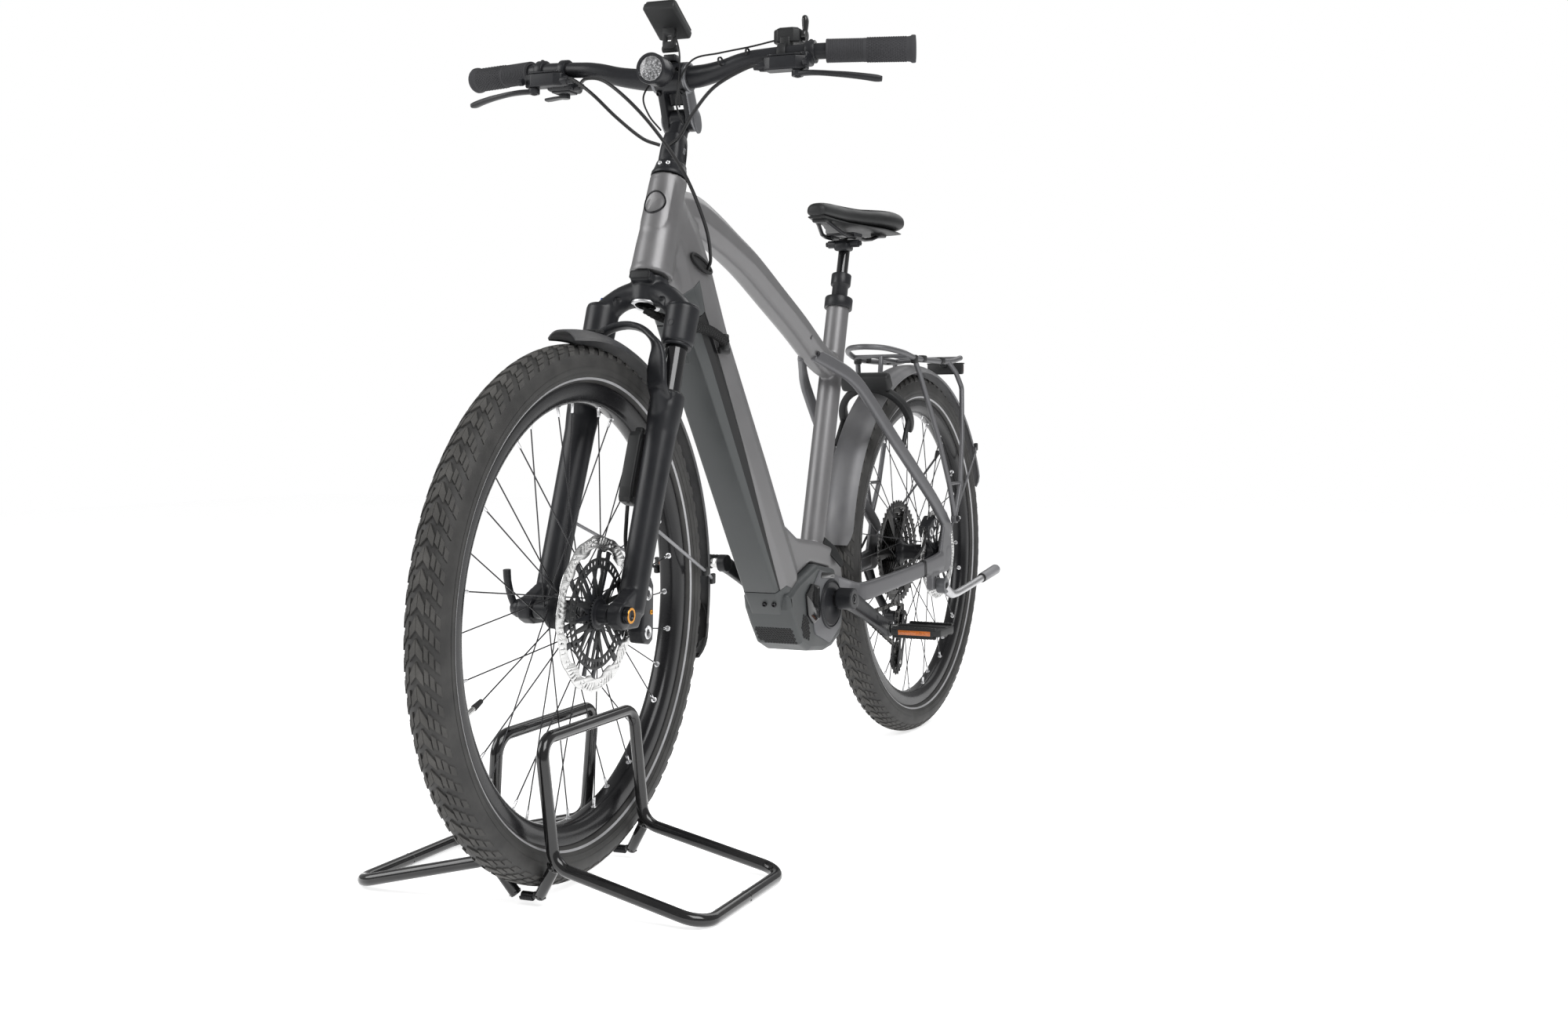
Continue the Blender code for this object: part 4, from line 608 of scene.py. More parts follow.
M = {
    "frame": surface(
        "frame_paint", (0.162, 0.160, 0.163), 0.42, 0.5, mottle=0.05, grain=3200.0, bump=0.10, spread=0.04,
        coat=0.15
    ),
    "stay": surface("stay_paint", (0.12, 0.12, 0.126), 0.42, 0.45, mottle=0.05, grain=3000.0, bump=0.10, spread=0.04),
    "cover": surface(
        "cover_plastic", (0.048, 0.052, 0.053), 0.44, 0.1, mottle=0.08, grain=1900.0, bump=0.2, depth=0.00015
    ),
    "mudguard": surface(
        "mudguard_plastic", (0.046, 0.047, 0.050), 0.46, 0.05, grain=1500.0, bump=0.2, dust=0.25, specular=0.3
    ),
    "guard_grey": surface(
        "guard_grey", (0.125, 0.125, 0.13), 0.46, 0.35, mottle=0.06, grain=2200.0, bump=0.14, dust=0.2
    ),
    "satin": surface(
        "satin_black", (0.013, 0.0135, 0.0155), 0.36, 0.0, mottle=0.15, grain=2200.0, bump=0.10, spread=0.05,
        specular=0.3
    ),
    "plastic": surface(
        "black_plastic", (0.016, 0.0165, 0.017), 0.46, 0.0, mottle=0.15, grain=1700.0, bump=0.30, depth=0.00015,
        specular=0.3
    ),
    "gloss": surface(
        "gloss_black", (0.006, 0.006, 0.0065), 0.13, 0.0, mottle=0.1, grain=260.0, bump=0.10, depth=0.0002,
        spread=0.04, coat=0.6, dust=0.05, specular=0.3
    ),
    "stanchion": surface(
        "stanchion_black", (0.008, 0.008, 0.009), 0.10, 0.3, mottle=0.05, grain=900.0, bump=0.02, spread=0.03,
        coat=0.5
    ),
    "rim": surface(
        "rim_black", (0.010, 0.010, 0.011), 0.24, 0.2, mottle=0.1, grain=1500.0, bump=0.06, spread=0.05, coat=0.1,
        specular=0.3
    ),
    "spoke": surface("spoke_black", (0.028, 0.028, 0.030), 0.30, 0.7, mottle=0.2, grain=1500.0, bump=0.05),
    "stripe": surface("reflective_stripe", (0.36, 0.36, 0.37), 0.42, 0.3, mottle=0.18, grain=900.0, bump=0.1),
    "tyre": tyre_surface(),
    "steel": brushed("steel", (0.62, 0.62, 0.61), 0.24, (260.0, 260.0, 260.0)),
    "rotor": brushed("rotor_steel", (0.66, 0.66, 0.655), 0.26, (60.0, 60.0, 900.0)),
    "alloy": brushed("cast_alloy", (0.52, 0.52, 0.53), 0.38, (320.0, 320.0, 320.0), bump=0.25),
    "stem": surface("stem_alloy", (0.17, 0.172, 0.18), 0.36, 0.85, mottle=0.06, grain=2600.0, bump=0.08, spread=0.04),
    "chain": brushed("chain_steel", (0.10, 0.098, 0.094), 0.36, (700.0, 700.0, 700.0)),
    "cog": brushed("cog_steel", (0.085, 0.084, 0.083), 0.33, (500.0, 500.0, 500.0)),
    "bare": brushed("bare_aluminium", (0.70, 0.70, 0.71), 0.30, (500.0, 500.0, 500.0)),
    "grip": surface(
        "grip_rubber", (0.036, 0.036, 0.039), 0.78, 0.0, mottle=0.15, grain=1100.0, bump=0.35, specular=0.3
    ),
    "rubber": surface(
        "black_rubber", (0.017, 0.017, 0.0175), 0.68, 0.0, mottle=0.2, grain=1300.0, bump=0.3, specular=0.3
    ),
    "cable": surface(
        "cable_sheath", (0.010, 0.010, 0.0105), 0.40, 0.0, mottle=0.15, grain=1400.0, bump=0.1, specular=0.3
    ),
    "cable_grey": surface("cable_grey", (0.22, 0.22, 0.23), 0.42, 0.2, mottle=0.1, grain=1400.0, bump=0.1),
    "blue": surface("blue_anodised", (0.012, 0.06, 0.30), 0.30, 0.7, mottle=0.08, grain=2000.0, bump=0.05),
    "amber_metal": surface("amber_anodised", (0.62, 0.27, 0.03), 0.28, 0.9, mottle=0.1, grain=2000.0, bump=0.05),
    "reflector": clear("amber_reflector", (0.50, 0.13, 0.02), 0.14, 0.10),
    "red_lens": clear("red_lens", (0.35, 0.01, 0.01), 0.10, 0.25),
    "lens": clear("lamp_lens", (0.93, 0.94, 0.95), 0.01, 0.97, relief=0.03),
    "screen": surface(
        "screen_glass", (0.012, 0.014, 0.016), 0.10, 0.0, mottle=0.05, grain=300.0, bump=0.01, spread=0.02, coat=0.8
    ),
    "grey_cap": surface("grey_cap", (0.10, 0.102, 0.108), 0.42, 0.2, mottle=0.08, grain=1800.0, bump=0.2),
    "bolt": surface("dark_bolt", (0.030, 0.030, 0.032), 0.30, 0.9, mottle=0.15, grain=2000.0, bump=0.08),
}


def piece(name, shape, materials, body, replaces=(), at=BIKE, smooth=40, bend=None):
    """Makes one finished piece from a shape and hangs it on its body."""
    mesh = mesh_of(shape.moved(at), name)
    obj = bpy.data.objects.new(name, mesh)
    bpy.context.scene.collection.objects.link(obj)
    for material in materials if isinstance(materials, (list, tuple)) else [materials]:
        mesh.materials.append(M[material])
    mesh.shade_smooth()
    mesh.set_sharp_from_angle(angle=math.radians(smooth))
    if bend:
        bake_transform(obj)
    else:
        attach(obj, body)
    if replaces:
        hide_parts(*replaces)
    return obj


def weighted(obj, name, values):
    """Stores one number per point for a material to read."""
    attribute = obj.data.attributes.new(name, "FLOAT", "POINT")
    attribute.data.foreach_set("value", np.asarray(values, np.float32))


# Floor, light and camera


STUDIO_GLOW = 0.36
FLOOR_GLOW = 0.74


def stage_piece(name, shape, colour):
    mesh = mesh_of(shape, name)
    obj = bpy.data.objects.new(name, mesh)
    bpy.context.scene.collection.objects.link(obj)
    g = Graph(name + "_paint")
    faint = g.mix(g.noise(0.8, 3.0), scaled(colour, 0.985), scaled(colour, 1.0))
    g.set(Base_Color=faint, Roughness=g.span(g.noise(3.0), 0.3, 0.7, 0.5, 0.62))
    g.set(Emission_Color=faint, Emission_Strength=FLOOR_GLOW)
    g.shader.inputs["Specular IOR Level"].default_value = 0.25
    mesh.materials.append(g.material)
    mesh.shade_smooth()
    return obj


def area_light(name, place_at, target, size, power):
    light = bpy.data.lights.new(name, "AREA")
    light.shape = "RECTANGLE"
    light.size, light.size_y = size
    light.energy = power
    obj = bpy.data.objects.new(name, light)
    bpy.context.scene.collection.objects.link(obj)
    run = Vector(target) - Vector(place_at)
    obj.matrix_world = Matrix.Translation(place_at) @ run.to_track_quat("-Z", "Y").to_matrix().to_4x4()
    return obj


def camera():
    """The photograph's viewpoint, fitted to both wheels and the floor."""
    focal, wide, high = 2078.5624, 2000.0, 1306.0
    centre_x, centre_y = 1012.04, 590.92
    yaw, pitch, roll = 3.5893790, -0.0234497, -0.0052639
    look = Vector((math.cos(yaw) * math.cos(pitch), math.sin(yaw) * math.cos(pitch), math.sin(pitch)))
    right = look.cross(UP).normalized()
    up = right.cross(look)
    turned_right = right * math.cos(roll) + up * math.sin(roll)
    turned_up = up * math.cos(roll) - right * math.sin(roll)
    data = bpy.data.cameras.new("camera")
    data.sensor_width = 36.0
    data.lens = focal * data.sensor_width / wide
    data.shift_x = (wide / 2 - centre_x) / wide
    data.shift_y = (centre_y - high / 2) / wide
    data.clip_end = 60.0
    obj = bpy.data.objects.new("camera", data)
    bpy.context.scene.collection.objects.link(obj)
    turn = Matrix((turned_right, turned_up, -look)).transposed().to_4x4()
    obj.matrix_world = BIKE @ Matrix.Translation((2.9716730, 1.1740415, 0.5961560)) @ turn
    bpy.context.scene.camera = obj


def stage():
    reach = 9.0
    floor = Shape([(-reach, -reach, 0), (reach, -reach, 0), (reach, reach, 0), (-reach, reach, 0)], [(0, 1, 2, 3)])
    stage_piece("floor", floor, (0.90, 0.90, 0.90))
    world = bpy.data.worlds.new("studio")
    bpy.context.scene.world = world
    world.use_nodes = True
    tree = world.node_tree
    background = tree.nodes["Background"]
    path = tree.nodes.new("ShaderNodeLightPath")
    strength = tree.nodes.new("ShaderNodeMapRange")
    strength.inputs["To Min"].default_value = STUDIO_GLOW
    strength.inputs["To Max"].default_value = 1.0
    tree.links.new(path.outputs["Is Camera Ray"], strength.inputs["Value"])
    tree.links.new(strength.outputs["Result"], background.inputs["Strength"])
    background.inputs["Color"].default_value = (1.0, 1.0, 1.0, 1)
    area_light("key", (1.6, 2.4, 3.2), (0.1, 0, 0.4), (2.4, 2.4), 112)
    area_light("fill", (2.2, -2.6, 2.2), (0.3, 0, 0.5), (2.2, 2.2), 62)
    area_light("back", (-2.6, 0.4, 2.8), (-0.2, 0, 0.5), (2.4, 2.0), 22)
    bpy.context.scene.view_settings.view_transform = "Standard"


camera()
stage()

# Wheels

TREAD_PITCHES = 84
CROWN_RADIUS = 0.3449
TREAD_HEIGHT = 0.0020


def carcass_radius(side):
    """How far from the axle the tyre's casing stands at a distance to the side."""
    share = min(abs(side) / 0.0275, 1.0)
    return CROWN_RADIUS - 0.0255 * (1 - math.sqrt(max(0.0, 1 - share**2.15)))


def tread_block(outline, height=TREAD_HEIGHT):
    """A rubber block that follows the casing; the outline is (along, side) on the unrolled crown."""
    top, base = [], []
    for along, side in outline:
        radius = carcass_radius(side)
        lean = 0.55 * math.copysign(min(abs(side) / 0.0275, 1) ** 2, side)
        angle = along / CROWN_RADIUS
        for ring, lift in ((top, height), (base, -0.0010)):
            reach = radius + lift * math.cos(lean)
            shift = side + lift * math.sin(lean)
            ring.append((reach * math.cos(angle), shift, reach * math.sin(angle)))
    middle = np.mean(np.array(top), axis=0)
    top = [tuple(middle + (np.array(p) - middle) * 0.93) for p in top]
    count = len(outline)
    faces = [tuple(range(count))]
    faces += [(i, i + count, (i + 1) % count + count, (i + 1) % count) for i in range(count)]
    return Shape(top + base, faces)


def chevron_outline(near, far, width, sweep):
    """One arm of a chevron, from near the middle line out to one side."""
    rows = []
    for k in range(5):
        t = k / 4
        side = near + (far - near) * t
        along = sweep * t
        rows.append((along, side))
    front = [(a + width / 2 * (1 - 0.25 * i / 4), s) for i, (a, s) in enumerate(rows)]
    back = [(a - width / 2 * (1 - 0.25 * i / 4), s) for i, (a, s) in enumerate(rows)]
    return front + back[::-1]


def tread_pitch():
    """The blocks of one pitch: a chevron, then slanting shoulder blocks and side lugs."""
    step = math.tau * CROWN_RADIUS / TREAD_PITCHES
    blocks = []
    for way in (1, -1):
        blocks.append(chevron_outline(0.0000, 0.0088 * way, step * 0.66, -step * 0.50))
        for row, (near, far) in enumerate(((0.0098, 0.0142), (0.0152, 0.0192), (0.0202, 0.0236))):
            start = -step * (0.55 + 0.28 * row)
            length = step * (0.60 if row < 2 else 0.52)
            slant = -step * 0.22
            blocks.append(
                [
                    (start, near * way),
                    (start + slant, far * way),
                    (start + slant + length, far * way),
                    (start + length, near * way),
                ]
            )
            if row == 0:
                blocks.append([(a + step * 0.0, s) for a, s in blocks.pop()])
    shapes = []
    for outline in blocks:
        area = sum(a[0] * b[1] - b[0] * a[1] for a, b in zip(outline, outline[1:] + outline[:1]))
        height = TREAD_HEIGHT if abs(outline[0][1]) < 0.015 else TREAD_HEIGHT * 0.8
        shapes.append(tread_block(outline if area < 0 else outline[::-1], height))
    return together(shapes)


def tyre_shape():
    steps = 168
    half = []
    for k in range(10):
        side = 0.0275 * math.sin(math.pi / 2 * k / 9)
        half.append((carcass_radius(side), side))
    half += [
        (0.3160, 0.02745), (0.3110, 0.0266), (0.3060, 0.0250), (0.3010, 0.0218), (0.2985, 0.0196), (0.2972, 0.0172)
    ]
    profile = half + [(0.2972, 0.0)] + [(r, -s) for r, s in half[:0:-1]]
    casing = lathe(profile, axis=SIDE, steps=steps)
    pitch = tread_pitch()
    blocks = []
    for i in range(TREAD_PITCHES):
        blocks.append(pitch.moved(Matrix.Rotation(math.tau * i / TREAD_PITCHES, 4, SIDE)))
    stripes = []
    for way in (1, -1):
        strip = [(0.3010, 0.0220), (0.3036, 0.02375), (0.3040, 0.0236), (0.3014, 0.0216)]
        stripes.append(lathe([(r, s * way) for r, s in strip], axis=SIDE, steps=steps).slot(1))
        for radius, side in ((0.3090, 0.0263), (0.3165, 0.02755)):
            rib = [
                (radius, side - 0.0004), (radius, side + 0.0002), (radius + 0.0012, side + 0.0003),
                (radius + 0.0012, side)
            ]
            stripes.append(lathe([(r, s * way) for r, s in rib], axis=SIDE, steps=steps))
    return casing, together(blocks), together(stripes)


def rim_shape():
    outer = [
        (0.2962, 0.0172), (0.2930, 0.0171), (0.2870, 0.0168), (0.2820, 0.0162), (0.2780, 0.0150),
        (0.2742, 0.0128), (0.2716, 0.0092), (0.2704, 0.0045),
    ]
    inner = [(0.2974, 0.0166), (0.2974, 0.0150), (0.2880, 0.0145), (0.2860, 0.0)]
    profile = outer + [(0.2702, 0.0)] + [(r, -s) for r, s in outer[::-1]]
    profile += [(r, -s) for r, s in inner] + [(r, s) for r, s in inner[-2::-1]]
    return lathe(profile, axis=SIDE, steps=168)


def wheel_pieces(which, axle, left_flange, right_flange, hub_profile, at):
    body = which + "_wheel"
    casing, blocks, stripes = tyre_shape()
    whole = together([casing, blocks, stripes]).moved(Matrix.Translation(axle))
    tyre = piece(which + "_tyre_rubber", whole, ["tyre", "stripe"], body, [which + "_tyre"], at, 30)
    wear = np.zeros(len(whole.points))
    local = whole.points - np.array(axle)
    reach = np.hypot(local[:, 0], local[:, 2])
    block_points = slice(len(casing.points), len(casing.points) + len(blocks.points))
    crown = np.clip(1.0 - np.abs(local[:, 1]) / 0.026, 0.0, 1)
    raised = reach > np.array([carcass_radius(s) for s in local[:, 1]]) + 0.0004
    wear[block_points] = (raised * (0.35 + 0.65 * crown))[block_points]
    weighted(tyre, "wear", wear)
    piece(
        which + "_rim_box", rim_shape().moved(Matrix.Translation(axle)), "rim", body, [which + "_rim"],
        at, 30
    )
    spokes, nipples = [], []
    for i in range(32):
        flange = left_flange if i % 2 else right_flange
        lean = 62 if i % 4 < 2 else -62
        stagger = 0.0015 if i % 4 < 2 else -0.0015
        foot = on_wheel(axle, 0.0205, 11.25 * i + lean, flange + stagger * 1.6)
        head = on_wheel(axle, 0.2712, 11.25 * i, 0.0042 if i % 2 else -0.0042)
        run = (head - foot).normalized()
        spokes.append(
            sweep(
                [foot, foot + run * 0.012, foot + run * 0.016, head - run * 0.01], 0.0010, 8,
                radii=[1.1, 1.1, 0.9, 0.9]
            )
        )
        spokes.append(rod(foot - SIDE * 0.0016, foot + SIDE * 0.0016, 0.0017, sides=10, edge=0.0003))
        nipples.append(rod(head - run * 0.0135, head, 0.0019, 0.0021, sides=10, edge=0.0003))
        seat = on_wheel(axle, 0.2710, 11.25 * i, 0.0042 if i % 2 else -0.0042)
        out = (seat - axle).normalized()
        nipples.append(
            lathe(
                [(0.0023, 0), (0.0040, 0), (0.0043, 0.0004), (0.0040, 0.0010), (0.0023, 0.0008)],
                seat - out * 0.0009, out, 20
            )
        )
    hub = lathe(hub_profile, axle, SIDE, 64)
    holes = []
    for way, flange in ((1, left_flange), (-1, right_flange)):
        for k in range(3):
            holes.append(
                lathe(
                    [(0.0, 0.0), (0.0148, 0.0), (0.0148, 0.0008), (0.0, 0.0008)],
                    axle + SIDE * (flange * 0.55 - 0.004 * k * way), SIDE, 32
                )
            )
    piece(which + "_hub_shell", hub + together(holes), "satin", body, [which + "_hub"], at, 35)
    piece(which + "_spokes", together(spokes), "spoke", body, (), at, 60)
    piece(which + "_nipples", together(nipples), "bare", body, (), at, 50)
    valve_foot = on_wheel(axle, 0.2705, VALVE_ANGLE[which])
    out = (valve_foot - axle).normalized()
    valve = rod(valve_foot, valve_foot - out * 0.034, 0.0030, sides=20)
    nut = lathe([(0.0030, 0), (0.0062, 0), (0.0062, 0.0028), (0.0030, 0.0028)], valve_foot - out * 0.0032, out, 12)
    cap = rod(valve_foot - out * 0.024, valve_foot - out * 0.042, 0.0040, 0.0030, sides=16, edge=0.001)
    piece(which + "_valve", valve.slot(0) + nut.slot(0) + cap.slot(1), ["steel", "rubber"], body, (), at, 40)


VALVE_ANGLE = {"front": -21.0, "rear": 128.0}
FRONT_HUB = [
    (0.0082, -0.0545), (0.0082, 0.0545), (0.0118, 0.0545), (0.0124, 0.0538), (0.0124, 0.0400), (0.0160, 0.0385),
    (0.0160, 0.0325), (0.0226, 0.0318), (0.0238, 0.0306), (0.0238, 0.0266), (0.0226, 0.0252), (0.0155, 0.0210),
    (0.0138, 0.0160), (0.0132, 0.0), (0.0138, -0.0160), (0.0155, -0.0210), (0.0226, -0.0252), (0.0238, -0.0266),
    (0.0238, -0.0306), (0.0226, -0.0318), (0.0150, -0.0335), (0.0124, -0.0360), (0.0124, -0.0538), (0.0118, -0.0545),
]
REAR_HUB = [
    (0.0082, -0.0710), (0.0082, 0.0710), (0.0118, 0.0710), (0.0124, 0.0700), (0.0124, 0.0620), (0.0196, 0.0600),
    (0.0200, 0.0420), (0.0244, 0.0384), (0.0250, 0.0372), (0.0250, 0.0328), (0.0238, 0.0316), (0.0170, 0.0270),
    (0.0150, 0.0200), (0.0148, -0.0080), (0.0180, -0.0140), (0.0248, -0.0176), (0.0260, -0.0190), (0.0260, -0.0212),
    (0.0240, -0.0225), (0.0166, -0.0232), (0.0164, -0.0620), (0.0124, -0.0655), (0.0124, -0.0700), (0.0118, -0.0710),
]
wheel_pieces("front", FRONT_AXLE, 0.0285, -0.0285, FRONT_HUB, FRONT)
wheel_pieces("rear", REAR_AXLE, 0.035, -0.0195, REAR_HUB, BIKE)


# Brake rotors


def slot_outline(axle, inner, outer, degrees, width, twist=0.0, steps=5):
    """A rounded slot that runs from one radius to another and leans round the disc."""
    line = []
    for k in range(steps + 1):
        t = k / steps
        p = on_wheel(axle, inner + (outer - inner) * t, degrees + twist * t)
        line.append((p.x, p.z))
    left, right = [], []
    for k, (x, z) in enumerate(line):
        ax, az = line[max(k - 1, 0)]
        bx, bz = line[min(k + 1, steps)]
        long = math.hypot(bx - ax, bz - az)
        nx, nz = -(bz - az) / long, (bx - ax) / long
        taper = 0.62 if k in (0, steps) else 1.0
        left.append((x + nx * width / 2 * taper, z + nz * width / 2 * taper))
        right.append((x - nx * width / 2 * taper, z - nz * width / 2 * taper))
    return left + right[::-1]


def rotor_disc(axle, radius, side):
    """The steel braking band with its waved rims, slots, round holes and open windows."""
    band = 0.0175
    waves = 12
    outer, inner = [], []
    for k in range(288):
        degrees = 360 * k / 288
        phase = math.radians(degrees * waves)
        p = on_wheel(axle, radius - 0.0011 + 0.0011 * math.tanh(1.8 * math.cos(phase)), degrees)
        outer.append((p.x, p.z))
        dip = 0.0028 * math.tanh(2.2 * math.cos(phase + 1.2))
        q = on_wheel(axle, radius - band - 0.0018 + dip, degrees)
        inner.append((q.x, q.z))
    holes = [inner]
    for k in range(waves):
        start = 360 * k / waves
        for j, (low, high) in enumerate(((0.0125, 0.0035), (0.0130, 0.0030), (0.0125, 0.0038), (0.0115, 0.0050))):
            holes.append(slot_outline(axle, radius - low, radius - high, start + 3 + 4.1 * j, 0.0021, 3.2))
        for degrees, depth, size in ((22.0, 0.0052, 0.0019), (21.5, 0.0112, 0.0023), (26.0, 0.0085, 0.0015)):
            p = on_wheel(axle, radius - depth, start + degrees)
            holes.append(circle(p.x, p.z, size, 12))
    return plate([outer] + holes, side - 0.0009, side + 0.0009, 0.00025)


def rotor_carrier(axle, root, tip, side, arms=6, thick=0.0012):
    """The dark spider: curved arms from the lock ring out to the braking band."""
    pieces = []
    for k in range(arms):
        start = 360 * k / arms
        for sign in (1, -1):
            route = [
                on_wheel(axle, root, start + 9 * sign),
                on_wheel(axle, root + (tip - root) * 0.5, start + 15 * sign + 10),
                on_wheel(axle, tip, start + 22 * sign + 14),
            ]
            line = smooth_path(route, 6)
            left, right = [], []
            for i, p in enumerate(line):
                a, b = line[max(i - 1, 0)], line[min(i + 1, len(line) - 1)]
                run = (b - a).normalized()
                half = 0.0046 - 0.0020 * math.sin(math.pi * i / (len(line) - 1))
                left.append((p.x - run.z * half, p.z + run.x * half))
                right.append((p.x + run.z * half, p.z - run.x * half))
            pieces.append(plate([left + right[::-1]], side - thick, side + thick, 0.0003))
    ring = [circle(axle.x, axle.z, root + 0.004, 64), circle(axle.x, axle.z, 0.0134, 48)]
    pieces.append(plate(ring, side - thick * 1.02, side + thick * 1.02, 0.0003))
    notches = []
    for k in range(30):
        p = on_wheel(axle, 0.0208, 12 * k)
        notches.append(
            block(
                (0.0026, 0.0024, 0.0030), p + SIDE * (side + 0.0028),
                Matrix.Rotation(-math.radians(12 * k), 4, SIDE), 0.0003, 1
            )
        )
    lock = lathe(
        [(0.0138, 0.0), (0.0198, 0.0), (0.0204, 0.0006), (0.0204, 0.0034), (0.0192, 0.0042), (0.0138, 0.0042)],
        axle + SIDE * (side + 0.0006), SIDE, 64
    )
    return together(pieces + [lock] + notches)


def tone_ring(axle, side):
    """The toothed ring that the brake's speed sensor reads."""
    rims = [circle(axle.x, axle.z, 0.0722, 120), circle(axle.x, axle.z, 0.0583, 96)]
    holes = []
    for k in range(48):
        holes.append(slot_outline(axle, 0.0622, 0.0690, 7.5 * k, 0.0043, 0.0, 3))
    ring = plate([rims[0], rims[1]] + holes, side + 0.0012, side + 0.0026, 0.0002)
    webs = []
    for k in range(6):
        root = on_wheel(axle, 0.0240, 60 * k + 30)
        left = on_wheel(axle, 0.0600, 60 * k + 17)
        right = on_wheel(axle, 0.0600, 60 * k + 43)
        for tip in (left, right):
            run = (tip - root).normalized()
            n = Vector((-run.z, 0, run.x))
            outline = [root + n * 0.0042, tip + n * 0.0026, tip - n * 0.0026, root - n * 0.0042]
            webs.append(plate([[(p.x, p.z) for p in outline]], side + 0.0012, side + 0.0026, 0.0002))
    return together([ring] + webs)


def rotor_pieces(which, axle, radius, side, at, ring):
    body = which + "_wheel"
    disc = rotor_disc(axle, radius, side)
    piece(which + "_rotor_band", disc, "rotor", body, [which + "_rotor"], at, 30)
    piece(
        which + "_rotor_spider", rotor_carrier(axle, 0.0190, radius - 0.0185, side), "satin", body,
        (), at, 30
    )
    if ring:
        piece(which + "_tone_ring", tone_ring(axle, side), "plastic", body, (), at, 30)


rotor_pieces("front", FRONT_AXLE, 0.1015, 0.0341, FRONT, True)
rotor_pieces("rear", REAR_AXLE, 0.090, 0.0568, BIKE, False)

# Floor stand


def bead(centre, axis, radius, width=0.0022):
    """A small uneven weld bead round a tube."""
    points = []
    count = 26
    turn = place(centre, axis)
    for k in range(count):
        angle = math.tau * k / count
        wave = radius + 0.0006 * math.sin(7 * angle) + 0.0004 * math.sin(11 * angle + 1)
        points.append(turn @ Vector((math.cos(angle) * wave, math.sin(angle) * wave, 0.0006 * math.sin(5 * angle))))
    return sweep(points, width, 8, cyclic=True)


def stand_side(side):
    corners = [
        (1.3120, 0.0450 * side, 0.0570),
        (1.3170, 0.2500 * side, 0.0085),
        (1.0730, 0.2500 * side, 0.0085),
        (1.0750, 0.0450 * side, 0.0570),
        (1.0750, 0.0310 * side, 0.2120),
        (1.3180, 0.0310 * side, 0.2120),
    ]
    line = rounded(corners, [0.030, 0.030, 0.030, 0.030, 0.025, 0.025], cyclic=True, steps=12)
    pieces = [sweep(line, 0.0080, 24, cyclic=True)]
    for joint_x, foot_x in ((1.3125, 1.3000), (1.0745, 1.0580)):
        top = Vector((joint_x, 0.0500 * side, 0.0640))
        foot = Vector((foot_x, 0.0165 * side, 0.0130))
        pieces.append(rod(top, foot, 0.0075, sides=24, edge=0.001))
        run = (foot - top).normalized()
        pieces.append(bead(top + run * 0.0105, run, 0.0074))
        pieces.append(bead(foot - run * 0.0030, run, 0.0068, 0.0012))
    middle = (Vector(corners[1]) + Vector(corners[2])) / 2
    pieces.append(bead(middle, Vector((1, 0, 0)), 0.0076, 0.0007))
    return together(pieces)


def coil(start, end, radius, wire, turns):
    """A close-wound spring."""
    start, end = Vector(start), Vector(end)
    turn = place(start, end - start)
    length = (end - start).length
    steps = turns * 16
    points = []
    for k in range(steps + 1):
        angle = math.tau * k / 16
        points.append(turn @ Vector((math.cos(angle) * radius, math.sin(angle) * radius, length * k / steps)))
    return sweep(points, wire, 8)


for number, name in ((1, "left"), (-1, "right")):
    piece(
        "stand_tube_" + name, stand_side(number), "gloss", "stand_" + name, ["stand_" + name], STAND,
        50
    )
for name, x in (("front", 1.3000), ("rear", 1.0580)):
    spring = coil((x, -0.0088, 0.0125), (x, 0.0088, 0.0125), 0.0048, 0.0011, 8)
    core = rod((x, -0.0090, 0.0125), (x, 0.0090, 0.0125), 0.0034, sides=16)
    piece("stand_coil_" + name, spring + core, "bolt", "stand_springs", ["stand_spring_" + name], STAND, 50)

# Frame

TUBE_MIDDLE = Vector((0.7785, 0, 0.5952))
TUBE_RUN = Vector((0.559, 0, 0.829)).normalized()
TUBE_FRONT = Vector((0.829, 0, -0.559)).normalized()
COVER_LOW, COVER_HIGH = -0.290, 0.205
SLOT_LOW, SLOT_HIGH = 0.038, 0.026
MOTOR_TOP = [(0.640, 0.3245), (0.600, 0.3445), (0.530, 0.3675), (0.457, 0.354), (0.432, 0.304)]
MOTOR_BOTTOM = [
    (0.424, 0.290), (0.424, 0.262), (0.438, 0.237), (0.468, 0.223), (0.500, 0.219),
    (0.560, 0.226), (0.592, 0.240), (0.616, 0.272), (0.634, 0.300),
]
BRIDGE = [
    (0.670, 0.352), (0.630, 0.440), (0.575, 0.412), (0.500, 0.402), (0.440, 0.388),
    (0.402, 0.352), (0.392, 0.318), (0.400, 0.296), (0.424, 0.2915),
]


def turned(axis_x, axis_y, axis_z, centre):
    """The placement whose axes are these three."""
    return Matrix.Translation(Vector(centre)) @ Matrix(
        (Vector(axis_x), Vector(axis_y), Vector(axis_z))
    ).transposed().to_4x4()


